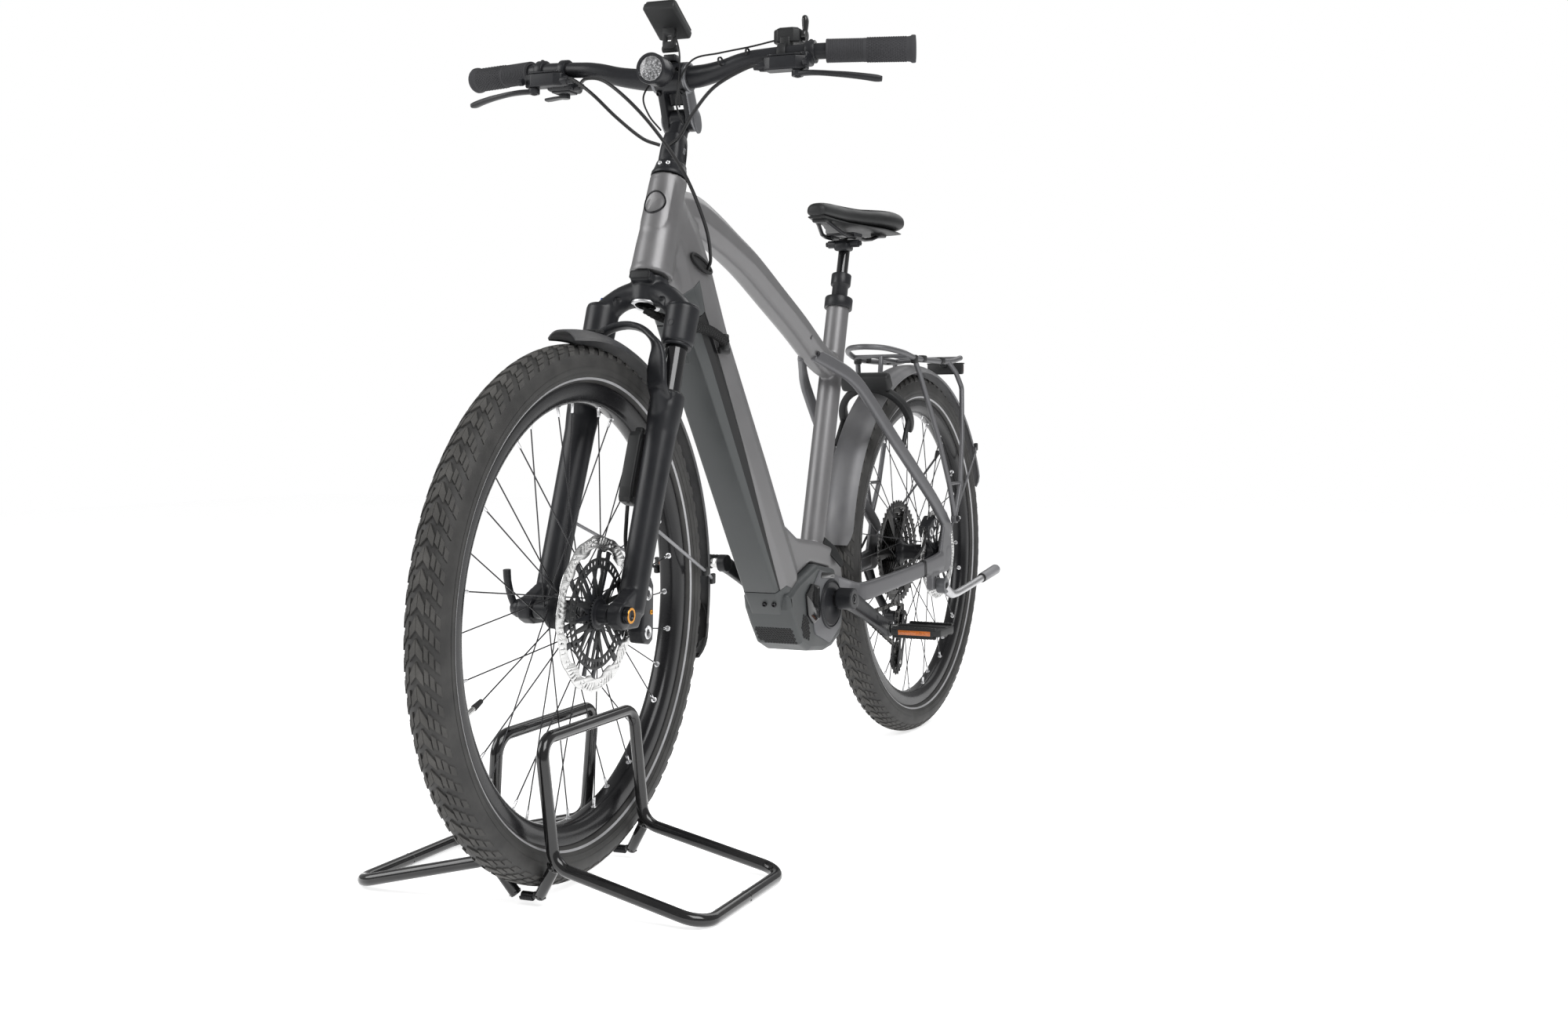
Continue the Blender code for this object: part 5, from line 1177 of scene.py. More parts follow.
def guard_shape(axle, start, stop, radius=0.3655, step=2.0, thick=0.0018):
    """A mudguard: a curved section carried round the wheel, with rounded ends."""
    section = []
    for k in range(13):
        t = -1 + k / 6
        a = 0.0305 * t
        section.append((a, -0.0118 * abs(t) ** 2.6))
    section = [(section[0][0] + 0.0008, section[0][1] - 0.0016)] + section + [
        (section[-1][0] - 0.0008, section[-1][1] - 0.0016)
    ]
    rings = []
    count = int((stop - start) / step)
    for k in range(count + 1):
        degrees = start + (stop - start) * k / count
        near = min(degrees - start, stop - degrees)
        shrink = 1.0 - 0.34 * max(0.0, 1 - near / 5.0) ** 2
        outer = [on_wheel(axle, radius + b * (0.75 + 0.25 * shrink), degrees, a * shrink) for a, b in section]
        inner = [
            on_wheel(axle, radius + b * (0.75 + 0.25 * shrink) - thick, degrees, a * (shrink - 0.03)) for a,
            b in section[::-1]
        ]
        rings.append(outer + inner)
    return loft(rings)


def wire(points, radius=0.0025, sides=14):
    return sweep(smooth_path([Vector(p) for p in points], 6), radius, sides)


def on_tube(along, front, side=0.0):
    return TUBE_MIDDLE + TUBE_RUN * along + TUBE_FRONT * front + SIDE * side


def soft_outline(points, radius, steps=4):
    """A closed outline with its corners rounded."""
    path = rounded([(x, y, 0) for x, y in points], [radius] * len(points), cyclic=True, steps=steps)
    return [(p.x, p.y) for p in path]


def tube_corners(front_half, side_half, rear_half, depth, shift=0.0):
    f, r = depth / 2 + shift, -depth / 2 + shift
    return [
        (front_half, f), (side_half, f - depth * 0.26), (side_half, r + depth * 0.30), (rear_half, r),
        (-rear_half, r), (-side_half, r + depth * 0.30), (-side_half, f - depth * 0.26), (-front_half, f),
    ]


TUBE_STATIONS = [
    (-0.335, 0.026, 0.036, 0.026, 0.070, 0.012),
    (-0.300, 0.028, 0.040, 0.030, 0.084, 0.004),
    (-0.200, 0.0275, 0.0405, 0.031, 0.085, 0.003),
    (-0.100, 0.027, 0.041, 0.032, 0.086, 0.002),
    (0.130, 0.026, 0.041, 0.032, 0.087, 0.0),
    (0.190, 0.025, 0.040, 0.030, 0.098, -0.004),
    (0.235, 0.024, 0.037, 0.026, 0.110, -0.010),
    (0.300, 0.018, 0.030, 0.018, 0.104, -0.026),
    (0.345, 0.013, 0.022, 0.013, 0.080, -0.036),
]


def tube_ring(station, shrink=0.0, radius=0.006):
    along, front_half, side_half, rear_half, depth, shift = station
    corners = tube_corners(front_half - shrink, side_half - shrink, rear_half - shrink, depth - 2 * shrink, shift)
    return [on_tube(along, b, a) for a, b in soft_outline(corners, radius)]


def down_tube(radius=0.006):
    return loft([tube_ring(station, radius=radius) for station in TUBE_STATIONS])


def wedge(low, high, slot_low, slot_high, reach=0.12, half=0.09):
    """The space in front of the line between cover and tube."""
    corners = [on_tube(low, slot_low), on_tube(low, reach), on_tube(high, reach), on_tube(high, slot_high)]
    points = [(p.x, -half, p.z) for p in corners] + [(p.x, half, p.z) for p in corners]
    faces = [(0, 1, 2, 3), (7, 6, 5, 4), (0, 4, 5, 1), (1, 5, 6, 2), (2, 6, 7, 3), (3, 7, 4, 0)]
    return outward(Shape(points, faces))


def facet_bar(stations, radius=0.006, tuck=0.55):
    """A tube with a ridge along each side, through (centre, half width, half height, ridge height)."""
    centres = smooth_path([s[0] for s in stations], 5)
    sizes = smooth_path([(s[1], s[2], s[3]) for s in stations], 5)
    rings = []
    for i, (centre, size) in enumerate(zip(centres, sizes)):
        run = centres[min(i + 1, len(centres) - 1)] - centres[max(i - 1, 0)]
        run.y = 0
        up = (SIDE.cross(run.normalized()) * -1).normalized()
        if up.z < 0:
            up = -up
        w, h, ridge = size
        corners = [
            (w * tuck, h), (w * 0.90, h * 0.60), (w, ridge), (w * 0.72, -h * 0.78), (w * 0.42, -h),
        ]
        corners = corners + [(-a, b) for a, b in corners[::-1]]
        outline = soft_outline(corners, min(radius, w * 0.13, h * 0.16), 3)
        rings.append([centre + SIDE * a + up * b for a, b in outline])
    return loft(rings)


def seat_stay():
    stations = [
        ((0.470, 0.012, 0.716), 0.006, 0.012), ((0.427, 0.030, 0.698), 0.0065, 0.0125),
        ((0.391, 0.045, 0.680), 0.0065, 0.0125), ((0.350, 0.055, 0.650), 0.0065, 0.0125),
        ((0.252, 0.068, 0.571), 0.0065, 0.013), ((0.160, 0.072, 0.511), 0.0065, 0.013),
        ((0.073, 0.075, 0.454), 0.0065, 0.013), ((0.000, 0.075, 0.400), 0.0065, 0.014),
        ((-0.010, 0.075, 0.385), 0.0060, 0.012),
    ]
    return bar(fine(stations, 4), 3.6, 28)


def chain_stay(side):
    left = [
        ((0.428, 0.020, 0.320), 0.010, 0.022), ((0.405, 0.048, 0.310), 0.008, 0.018),
        ((0.380, 0.060, 0.307), 0.007, 0.0165), ((0.291, 0.067, 0.313), 0.0065, 0.0155),
        ((0.134, 0.0735, 0.3255), 0.0065, 0.0145), ((0.030, 0.0755, 0.335), 0.0065, 0.016),
    ]
    right = [
        ((0.428, -0.018, 0.320), 0.010, 0.022), ((0.405, -0.034, 0.310), 0.007, 0.018),
        ((0.372, -0.0365, 0.307), 0.0065, 0.0165), ((0.335, -0.045, 0.309), 0.0065, 0.016),
        ((0.270, -0.062, 0.315), 0.0065, 0.0155), ((0.134, -0.0735, 0.3255), 0.0065, 0.0145),
        ((0.030, -0.0755, 0.335), 0.0065, 0.016),
    ]
    return bar(fine(left if side > 0 else right, 4), 5.0, 28)


DROPOUT = [
    (0.112, 0.308), (0.112, 0.339), (0.040, 0.352), (0.020, 0.412),
    (-0.012, 0.412), (-0.020, 0.345), (-0.016, 0.322), (0.004, 0.312),
]


def battery_pocket():
    """The room for the battery in the tube."""
    turn = Matrix((TUBE_RUN, SIDE, TUBE_FRONT)).transposed().to_4x4()
    room = block((0.4925, 0.0624, 0.1195), (0, 0, 0), None, 0)
    return room.moved(Matrix.Translation(on_tube(-0.03975, 0.04025)) @ turn)


CHIN = wedge(-0.345, COVER_LOW - 0.0006, -0.0104, 0.0246)
BROW = wedge(COVER_HIGH + 0.0006, 0.2480, 0.0080, -0.0080)


def main_frame():
    head = lathe(
        [(0, 0), (0.0300, 0), (0.0310, 0.0016), (0.0309, 0.0080), (0.0303, 0.0092), (0.0293, 0.045),
         (0.0272, 0.085), (0.0257, 0.125), (0.0262, 0.1370), (0.0268, 0.1400), (0.0268, 0.1510), (0.0262, 0.1528),
         (0, 0.1528)],
        head_point(0.8045), HEAD_UP, 64,
    )
    top = facet_bar(
        [
            ((0.952, 0, 0.9010), 0.0190, 0.0240, -0.004),
            ((0.912, 0, 0.9060), 0.0200, 0.0290, -0.006),
            ((0.868, 0, 0.9030), 0.0220, 0.0290, -0.007),
            ((0.812, 0, 0.8875), 0.0230, 0.0265, -0.007),
            ((0.757, 0, 0.8680), 0.0238, 0.0240, -0.006),
            ((0.694, 0, 0.8435), 0.0245, 0.0235, -0.005),
            ((0.610, 0, 0.8030), 0.0245, 0.0228, -0.004),
            ((0.5245, 0, 0.7615), 0.0240, 0.0225, -0.003),
            ((0.430, 0, 0.7120), 0.0220, 0.0225, -0.002),
            ((0.358, 0, 0.6920), 0.0190, 0.0225, 0.0),
        ]
    )
    seat = rod(seat_point(0.370), seat_point(0.8187), 0.0205, 0.0197, sides=64, edge=0.0008)
    bridge = plate([soft_outline(BRIDGE + MOTOR_TOP[::-1], 0.0035, 2)], -0.0318, 0.0318, 0.006, 3)
    gusset = loft(
        [
            [head_point(0.823, -0.006, a * 0.9) + HEAD_UP * b for a, b in superellipse(0.0270, 0.0230, 2.6)],
            [head_point(0.812, -0.034, a) + HEAD_UP * b for a, b in superellipse(0.0262, 0.0250, 2.6)],
            [head_point(0.795, -0.062, a) + HEAD_UP * b for a, b in superellipse(0.0270, 0.0250, 2.6)],
        ]
    )
    throat = loft(
        [
            [head_point(0.878, 0.004, a) + HEAD_UP * b for a, b in superellipse(0.0275, 0.0640, 3.0)],
            [head_point(0.880, -0.022, a) + HEAD_UP * b for a, b in superellipse(0.0262, 0.0560, 3.0)],
            [head_point(0.884, -0.050, a) + HEAD_UP * b for a, b in superellipse(0.0225, 0.0380, 2.8)],
            [head_point(0.890, -0.074, a) + HEAD_UP * b for a, b in superellipse(0.0170, 0.0180, 2.6)],
        ]
    )
    shield_rings = []
    for z, spread in ((0.8640, 30), (0.8690, 44), (0.8800, 54), (0.9050, 56), (0.9300, 56), (0.9400, 54)):
        outer = 0.0300 - (z - 0.8045) * 0.030 + 0.0012
        arc = [math.radians(-spread + 2 * spread * k / 16) for k in range(17)]
        ring = [(outer * math.cos(a), outer * math.sin(a)) for a in arc] + [
            (0.018 * math.cos(a), 0.018 * math.sin(a))
            for a in arc[::-1]
        ]
        shield_rings.append([head_point(z, a, b) for a, b in ring])
    shield = outward(loft(shield_rings))
    skin = fused(together([down_tube(), top, head, seat, bridge, gusset, throat, shield]), 0.0022, 4, 0.5)
    skin = cut(
        skin,
        [
            wedge(COVER_LOW - 0.0006, COVER_HIGH + 0.0008, SLOT_LOW - 0.0012, SLOT_HIGH - 0.0170),
            CHIN,
            BROW,
            battery_pocket(),
            rod(head_point(0.79), head_point(0.8065), 0.0175, sides=48, edge=0),
            rod(head_point(0.9450), head_point(0.97), 0.0175, sides=48, edge=0),
            rod(seat_point(0.560), seat_point(0.85), 0.0146, sides=48, edge=0),
        ],
    )
    return skin


def chin_shape():
    """The charcoal lower end of the tube, under the battery's cover."""
    body = loft([tube_ring(station, -0.0003) for station in TUBE_STATIONS[:4]])
    return bevelled(cut(body, [wedge(-0.334, COVER_LOW - 0.0010, -0.0100, 0.0250)], "INTERSECT"), 0.0007, 2, 40)


def brow_shape():
    """The charcoal panel between the cover and the head tube."""
    body = loft([tube_ring(station, -0.0003) for station in TUBE_STATIONS[3:8]])
    return bevelled(cut(body, [wedge(COVER_HIGH + 0.0010, 0.2476, 0.0084, -0.0076)], "INTERSECT"), 0.0007, 2, 40)


def rear_frame():
    axle_end = rod((0, 0.0700, WHEEL_RADIUS), (0, 0.0800, WHEEL_RADIUS), 0.0130, sides=32)
    bracket = plate(
        [soft_outline([(0.053, 0.283), (0.053, 0.317), (0.091, 0.317), (0.091, 0.283)], 0.004)], 0.0676, 0.0814,
        0.0016, 2
    )
    drop = plate([soft_outline(DROPOUT, 0.004)], 0.0722, 0.0795, 0.0012, 2)
    both = [seat_stay(), drop, axle_end]
    pieces = both + [s.mirrored() for s in both] + [chain_stay(1), chain_stay(-1), bracket]
    return fused(together(pieces), 0.0019, 3, 0.5)


piece("frame_front", main_frame(), "frame", "frame", ["frame"], smooth=60)
piece("frame_chin", chin_shape() + brow_shape(), "cover", "frame", smooth=40)
piece("frame_rear", rear_frame(), "stay", "frame", smooth=60)


# Small fittings on the frame


def screw_head(centre, axis, radius, height=0.0022, socket=0.5):
    profile = [
        (0, -0.001), (radius, -0.001), (radius, height * 0.5), (radius * 0.86, height * 0.9),
        (radius * socket * 1.1, height), (radius * socket, height * 0.9), (radius * socket, height * 0.25),
        (0, height * 0.2),
    ]
    return lathe(profile, centre, axis, 20)


def fittings():
    rings = []
    badge = place(head_point(0.9020, 0.0283), HEAD_FORWARD)
    face = []
    for radius, height in ((0.0170, -0.0010), (0.0168, 0.0004), (0.0160, 0.0009), (0.0150, 0.0004), (0.0, 0.0004)):
        face.append((radius, height))
    disc = lathe([(0, -0.004)] + [(0.0170, -0.004)] + face, (0, 0, 0), UP, 64)
    bent = disc.points.copy()
    bent[:, 2] -= (1 - np.sqrt(np.clip(1 - (bent[:, 1] / 0.0275) ** 2, 0, 1))) * 0.0275
    shield = Shape(bent, disc.faces, disc.slots)
    rings.append(shield.moved(badge).slot(0))
    line = []
    for k in range(64):
        angle = math.tau * k / 64
        a, b = 0.0166 * math.cos(angle), 0.0166 * math.sin(angle)
        line.append(badge @ Vector((a, b, 0.0010 - (1 - math.sqrt(1 - (b / 0.0275) ** 2)) * 0.0275)))
    rings.append(sweep(line, 0.0013, 8, cyclic=True).slot(1))
    for x, z in ((0.500, 0.7430), (0.470, 0.7160)):
        out = Vector((-0.20, 0.93, -0.30)).normalized()
        rings.append(screw_head(Vector((x, 0.0205, z)), out, 0.0042).slot(1))
    for y in (0.003, 0.020):
        rings.append(screw_head(Vector((0.6440, y, 0.3090)), Vector((0.82, 0, -0.57)), 0.0040, 0.0026).slot(1))
    for side in (1, -1):
        for x, z in ((0.078, 0.3065), (0.064, 0.3075)):
            if side > 0:
                rings.append(screw_head(Vector((x, 0.0812, z)), SIDE, 0.0022, 0.0010, 0.7).slot(1))
        rings.append(screw_head(Vector((-0.0118, 0.0925 * side, 0.4130)), SIDE * side, 0.0058, 0.0042).slot(1))
    return together(rings)


piece("frame_fittings", fittings(), ["frame", "bolt"], "frame")

joint = bar([((0.1312, 0.0736, 0.3256), 0.0069, 0.0151), ((0.1294, 0.0736, 0.3258), 0.0069, 0.0151)], 5.0, 28)
clip = bar([((0.126, 0.0740, 0.3262), 0.0072, 0.0156), ((0.1215, 0.0740, 0.3266), 0.0072, 0.0156)], 5.0, 28)
piece("stay_joint_line", joint + clip, "plastic", "frame")


def cable_port():
    """The oval rubber grommet where the cables enter the frame."""
    a, b = Vector((0.930, 0.0345, 0.8395)), Vector((0.880, 0.0385, 0.8200))
    run = (b - a).normalized()
    out = (Vector((0.05, 1, 0.35)) - run * run.dot(Vector((0.05, 1, 0.35)))).normalized()
    across = out.cross(run)
    middle, half = (a + b) / 2, (b - a).length / 2
    line = []
    for k in range(40):
        angle = math.tau * k / 40
        line.append(middle + run * (half * math.cos(angle)) + across * (0.0095 * math.sin(angle)))
    rim = sweep(line, 0.0022, 10, cyclic=True)
    bed_points = [p - out * 0.0010 for p in line] + [p - out * 0.0050 for p in line]
    faces = [tuple(range(40)), tuple(range(79, 39, -1))]
    faces += [(i, i + 40, (i + 1) % 40 + 40, (i + 1) % 40) for i in range(40)]
    return rim + outward(Shape(bed_points, faces))


piece("cable_port", cable_port(), "rubber", "frame")


# Battery and its cover


def cover_shape():
    cover = cut(
        down_tube(0.004), [wedge(COVER_LOW, COVER_HIGH - 0.0008, SLOT_LOW + 0.0012, SLOT_HIGH + 0.0020)],
        "INTERSECT"
    )
    return bevelled(cover, 0.0012, 2, 40)


def cover_details():
    marks = []
    for side in (0.012, 0.026):
        marks.append(screw_head(on_tube(-0.262, 0.0455 - 0.0002, side * 0.9), TUBE_FRONT, 0.0018, 0.0006))
    handle = block((0.052, 0.0205, 0.0034), (0, 0, 0), None, 0.0015)
    turn = Matrix((TUBE_RUN, SIDE, TUBE_FRONT)).transposed().to_4x4()
    marks.append(handle.moved(Matrix.Translation(on_tube(0.165, 0.0428)) @ turn))
    return together(marks)


def battery_shape():
    turn = Matrix((TUBE_RUN, SIDE, TUBE_FRONT)).transposed().to_4x4()
    low, high = -0.2785, 0.1925
    core = block((high - low, 0.0605, 0.0430), (0, 0, 0), None, 0.004, 3)
    return core.moved(Matrix.Translation(on_tube((low + high) / 2, 0.0030)) @ turn)


piece("battery_lid", cover_shape(), "cover", "battery_pack", ["battery_cover"], smooth=35)
piece("battery_lid_fittings", cover_details(), "cover", "battery_pack")
piece("battery_case", battery_shape(), "plastic", "battery_pack", ["battery"])

# Painted shade for the slot beside the lid: a near-black strip sunk just under the tube's skin darkens the gap
lip = cut(
    down_tube(0.005), [wedge(COVER_LOW - 0.0004, COVER_HIGH + 0.0006, SLOT_LOW - 0.0030, SLOT_HIGH - 0.0190)],
    "INTERSECT"
)
slot_shade_strip = changed(cut(lip, [battery_pocket()]), ("DISPLACE", {"strength": -0.0013, "mid_level": 0.0}))
piece("battery_slot_shade", slot_shade_strip, "cable", "frame")


# Drive unit


def honeycomb(origin, across, along, columns, rows, cell, wall, keep):
    """Hexagonal ribs over a patch; keep says which cells are inside it."""
    normal = Vector(across).cross(Vector(along)).normalized()
    pieces = []
    for row in range(rows):
        for column in range(columns):
            a = (column + 0.5 * (row % 2)) * cell
            b = row * cell * 0.866
            if not keep(a, b):
                continue
            centre = Vector(origin) + Vector(across) * a + Vector(along) * b
            ring = []
            for k in range(6):
                angle = math.tau * (k + 0.5) / 6
                radius = cell / math.sqrt(3) - wall
                ring.append(
                    centre + Vector(across) * (radius * math.cos(angle)) + Vector(along) * (radius * math.sin(angle))
                )
            top = [p + normal * 0.0003 for p in ring]
            base = [p - normal * 0.0020 for p in ring]
            pieces.append(loft([base, top]))
    return together(pieces)


def drive_case():
    top = [(x + 0.0005, z - 0.0010) for x, z in MOTOR_TOP]
    top[0] = (MOTOR_TOP[0][0] - 0.0012, MOTOR_TOP[0][1] - 0.0010)
    return plate([soft_outline(top + MOTOR_BOTTOM, 0.004, 3)], -0.0398, 0.0443, 0.0085, 5)


def drive_details():
    plate_outline = [
        (0.4475, 0.3400), (0.5230, 0.3560), (0.5600, 0.3180), (0.5430, 0.2520), (0.4850, 0.2300), (0.4380, 0.2560)
    ]
    face = plate([soft_outline(plate_outline, 0.010, 4)], 0.0405, 0.0468, 0.0022, 3).slot(0)
    centre = Vector((0.483, 0, 0.296))
    disc = lathe(
        [(0, 0.040), (0.0420, 0.040), (0.0420, 0.0476), (0.0412, 0.0492), (0.0392, 0.0500), (0.0378, 0.0494),
         (0.0372, 0.0486), (0.0364, 0.0494), (0.0350, 0.0508), (0.0180, 0.0514), (0.0160, 0.0506), (0, 0.0504)],
        centre, SIDE, 72,
    ).slot(1)
    vents = []
    for outline in (
        [(0.5260, 0.2780), (0.5520, 0.2700), (0.5720, 0.2860), (0.5780, 0.3200), (0.5560, 0.3360), (0.5280, 0.3300)],
        [(0.4620, 0.3455), (0.5180, 0.3520), (0.5240, 0.3420), (0.4980, 0.3410), (0.4720, 0.3380)],
    ):
        vents.append(plate([soft_outline(outline, 0.0035, 3)], 0.0440, 0.0478, 0.0004, 1).slot(3))
    ribs = []
    for k in range(4):
        ribs.append(
            block((0.0012, 0.0022, 0.030), (0.5370 + 0.0042 * k, 0.0478, 0.312 + 0.002 * k), None, 0.0004).slot(2)
        )
    boss = lathe(
        [(0.0156, 0.0300), (0.0235, 0.0300), (0.0240, 0.0306), (0.0240, 0.0450), (0.0232, 0.0460), (0.0156, 0.0460)],
        Vector((0.470, 0, 0.304)), -SIDE, 40
    ).slot(1)
    return together([face, disc, boss] + vents + ribs)


def belly_grille():
    low, high = Vector((0.592, 0, 0.240)), Vector((0.616, 0, 0.272))
    along = (high - low).normalized()
    out = Vector((along.z, 0, -along.x))
    start = low + out * 0.0006 - SIDE * 0.030 + along * 0.003
    front = honeycomb(
        start, SIDE, along, 14, 9, 0.0050, 0.0006, lambda a, b: b < 0.034 and a < 0.0655 and a + b > 0.006
    )
    side_start = Vector((0.566, 0.0450, 0.246))
    across = Vector((1, 0, 0.35)).normalized()
    upward = Vector((-0.35, 0, 1)).normalized()
    side = honeycomb(
        side_start, upward, across, 8, 8, 0.0050, 0.0006,
        lambda a, b: a < 0.034 and b < 0.036 and a > (b - 0.020) * 0.9 and a < 0.014 + b * 1.4,
    )
    return front + side


piece("drive_case", drive_case(), "cover", "frame", ["drive_unit"], smooth=50)
piece("drive_details", drive_details(), ["grey_cap", "satin", "rubber", "gloss"], "frame")
piece("drive_grille", belly_grille(), "rubber", "frame")
tab = bar(
    [
        ((0.456, 0.0200, 0.3960), 0.0020, 0.0120), ((0.440, 0.0330, 0.3800), 0.0022, 0.0110),
        ((0.421, 0.0400, 0.3570), 0.0020, 0.0060)
    ],
    4.0, 20
)
piece("yoke_flap", tab, "plastic", "frame")


# Seat clamp, post and saddle


def seat_clamp_shape():
    collar = lathe(
        [
            (0.0201, -0.0102), (0.0240, -0.0102), (0.0246, -0.0094), (0.0246, 0.0074), (0.0238, 0.0092),
            (0.0170, 0.0094), (0.0170, 0.0085), (0.0201, 0.0085)
        ],
        seat_point(0.8100), SEAT_UP, 64,
    )
    turn = place(seat_point(0.8100), SEAT_UP)
    ears = block((0.013, 0.0055, 0.0120), (-0.0280, 0.0046, 0), None, 0.002) + block(
        (0.013, 0.0055, 0.0120), (-0.0280, -0.0046, 0), None, 0.002
    )
    bolt = rod((-0.0295, -0.0095, 0), (-0.0295, 0.0095, 0), 0.0030, sides=16)
    return collar + (ears + bolt).moved(turn)


piece("seat_clamp_collar", seat_clamp_shape(), "satin", "frame", ["seat_clamp"])
outer = lathe(
    [(0.0105, -0.262), (0.0140, -0.262), (0.0140, 0.0298), (0.0150, 0.0312), (0.0172, 0.0330), (0.0176, 0.0345),
     (0.0176, 0.0520), (0.0170, 0.0532), (0.0105, 0.0536)],
    seat_point(0.8100), SEAT_UP, 56,
)
piece("post_sleeve", outer, "satin", "seatpost_outer", ["seatpost_outer"])
inner = rod(seat_point(0.680), seat_point(0.9075), 0.0100, sides=48).slot(0)
SADDLE_PIVOT = Vector((0.3165, 0, 0.917))
cradle = rod(SADDLE_PIVOT - SIDE * 0.0290, SADDLE_PIVOT + SIDE * 0.0290, 0.0068, sides=28).slot(1)
yoke = block((0.030, 0.027, 0.016), SADDLE_PIVOT + Vector((0.001, 0, -0.0050)), None, 0.005, 4).slot(1)
nuts = together(
    rod(
        SADDLE_PIVOT + SIDE * (0.0288 * s), SADDLE_PIVOT + SIDE * (0.0335 * s), 0.0048, sides=6
    ).slot(1) for s in (1, -1)
)
piece(
    "post_piston", together([inner, cradle, yoke, nuts]), ["stanchion", "satin"], "seatpost_inner",
    ["seatpost_inner"]
)


# Cranks, pedals, chain and gears


def arm_shape(eye, side):
    """A flat broad crank arm from the axle to its pedal eye."""
    eye = Vector(eye)
    start = Vector((BOTTOM_BRACKET.x, 0, BOTTOM_BRACKET.z))
    run = (eye - start).normalized()
    across = Vector((-run.z, 0, run.x))
    rings = []
    for t, y, half, thick in (
        (-0.02, 0.0735, 0.0160, 0.0080), (0.06, 0.0745, 0.0172, 0.0088), (0.18, 0.0760, 0.0162, 0.0078),
        (0.40, 0.0780, 0.0145, 0.0068),
        (0.65, 0.0800, 0.0132, 0.0066), (0.85, 0.0812, 0.0128, 0.0068), (0.97, 0.0818, 0.0134, 0.0072),
        (1.06, 0.0820, 0.0110, 0.0070),
    ):
        centre = start.lerp(eye, t) + SIDE * (y * side)
        rings.append([centre + across * a + SIDE * b for a, b in superellipse(half, thick, 3.4, 36)])
    body = loft(rings)
    boss = rod(start + SIDE * (0.056 * side), start + SIDE * (0.0848 * side), 0.0183, sides=44, edge=0.001)
    end = rod(eye + SIDE * (0.0742 * side), eye + SIDE * (0.0893 * side), 0.0142, sides=40, edge=0.001)
    skin = fused(together([body, boss, end]), 0.0013, 3, 0.5)
    slot = plate(
        [
            [
                (a, b) for a,
                b in soft_outline([(-0.030, -0.0042), (-0.030, 0.0042), (0.030, 0.0042), (0.030, -0.0042)], 0.004)
            ]
        ],
        0.0845 * 1, 0.0980, 0.0003
    )
    place_slot = turned(run, SIDE * side, across * side, start.lerp(eye, 0.47) + SIDE * (0.0015 * side))
    recess = lathe([(0, 0), (0.0088, 0), (0.0088, 0.02), (0, 0.02)], start + SIDE * (0.0826 * side), SIDE * side, 40)
    skin = cut(skin, [recess, outward(slot.moved(place_slot))])
    bolt = lathe(
        [(0, 0), (0.0086, 0), (0.0086, 0.0014), (0.0078, 0.0022), (0.0048, 0.0022), (0.0042, 0.0006), (0, 0.0006)],
        start + SIDE * (0.0826 * side), SIDE * side, 36
    )
    axle = rod(start + SIDE * (0.0300 * side), start + SIDE * (0.0800 * side), 0.0142, sides=40)
    washer = lathe(
        [(0.0050, 0), (0.0088, 0), (0.0088, 0.0010), (0.0050, 0.0010)], eye + SIDE * (0.0892 * side), SIDE * side,
        28
    )
    return together([skin.slot(0), bolt.slot(1), axle.slot(1), washer.slot(1)])


EYE_LEFT = BOTTOM_BRACKET + PEDAL_ARM
EYE_RIGHT = BOTTOM_BRACKET - PEDAL_ARM
piece("arm_left", arm_shape(EYE_LEFT, 1), ["satin", "bolt"], "cranks", ["crank_left"], smooth=50)
piece("arm_right", arm_shape(EYE_RIGHT, -1), ["satin", "bolt"], "cranks", ["crank_right"], smooth=50)


def gear(teeth, root, tip, width, inner, pitch_turn=0.0):
    """A toothed ring in the XZ plane between y low and high."""
    outline = []
    for k in range(teeth):
        base = math.tau * k / teeth + pitch_turn
        for share, radius in (
            (-0.32, root), (-0.24, root + (tip - root) * 0.45), (-0.09, tip), (0.09, tip),
            (0.24, root + (tip - root) * 0.45), (0.32, root)
        ):
            angle = base + share * math.tau / teeth
            outline.append((radius * math.cos(angle), radius * math.sin(angle)))
    holes = inner if isinstance(inner, list) else [circle(0, 0, inner, 48)]
    return plate([outline] + holes, -width / 2, width / 2, 0.0003)


def chainring_shape():
    ring = gear(40, 0.0810, 0.0868, 0.0034, 0.0690)
    parts = [ring.slot(1)]
    spider = []
    for k in range(5):
        angle = math.radians(18 + 72 * k)
        a = Vector((0.014 * math.cos(angle), 0, 0.014 * math.sin(angle)))
        b = Vector((0.0715 * math.cos(angle), 0, 0.0715 * math.sin(angle)))
        spider.append(bar([(a, 0.0026, 0.0115), (a.lerp(b, 0.5), 0.0024, 0.0080), (b, 0.0020, 0.0072)], 4.0, 24))
        parts.append(screw_head(b - SIDE * 0.0018 - (b.normalized() * 0.002), -SIDE, 0.0044, 0.0016).slot(2))
    core = lathe(
        [(0.0155, -0.003), (0.0250, -0.003), (0.0260, -0.002), (0.0260, 0.002), (0.0250, 0.003), (0.0155, 0.003)],
        (0, 0, 0), SIDE, 48
    )
    parts.append(together(spider + [core]).slot(0))
    return together(parts).moved(Matrix.Translation((BOTTOM_BRACKET.x, -0.0505, BOTTOM_BRACKET.z)))


piece("front_ring", chainring_shape(), ["satin", "cog", "bolt"], "cranks", ["chainring"])


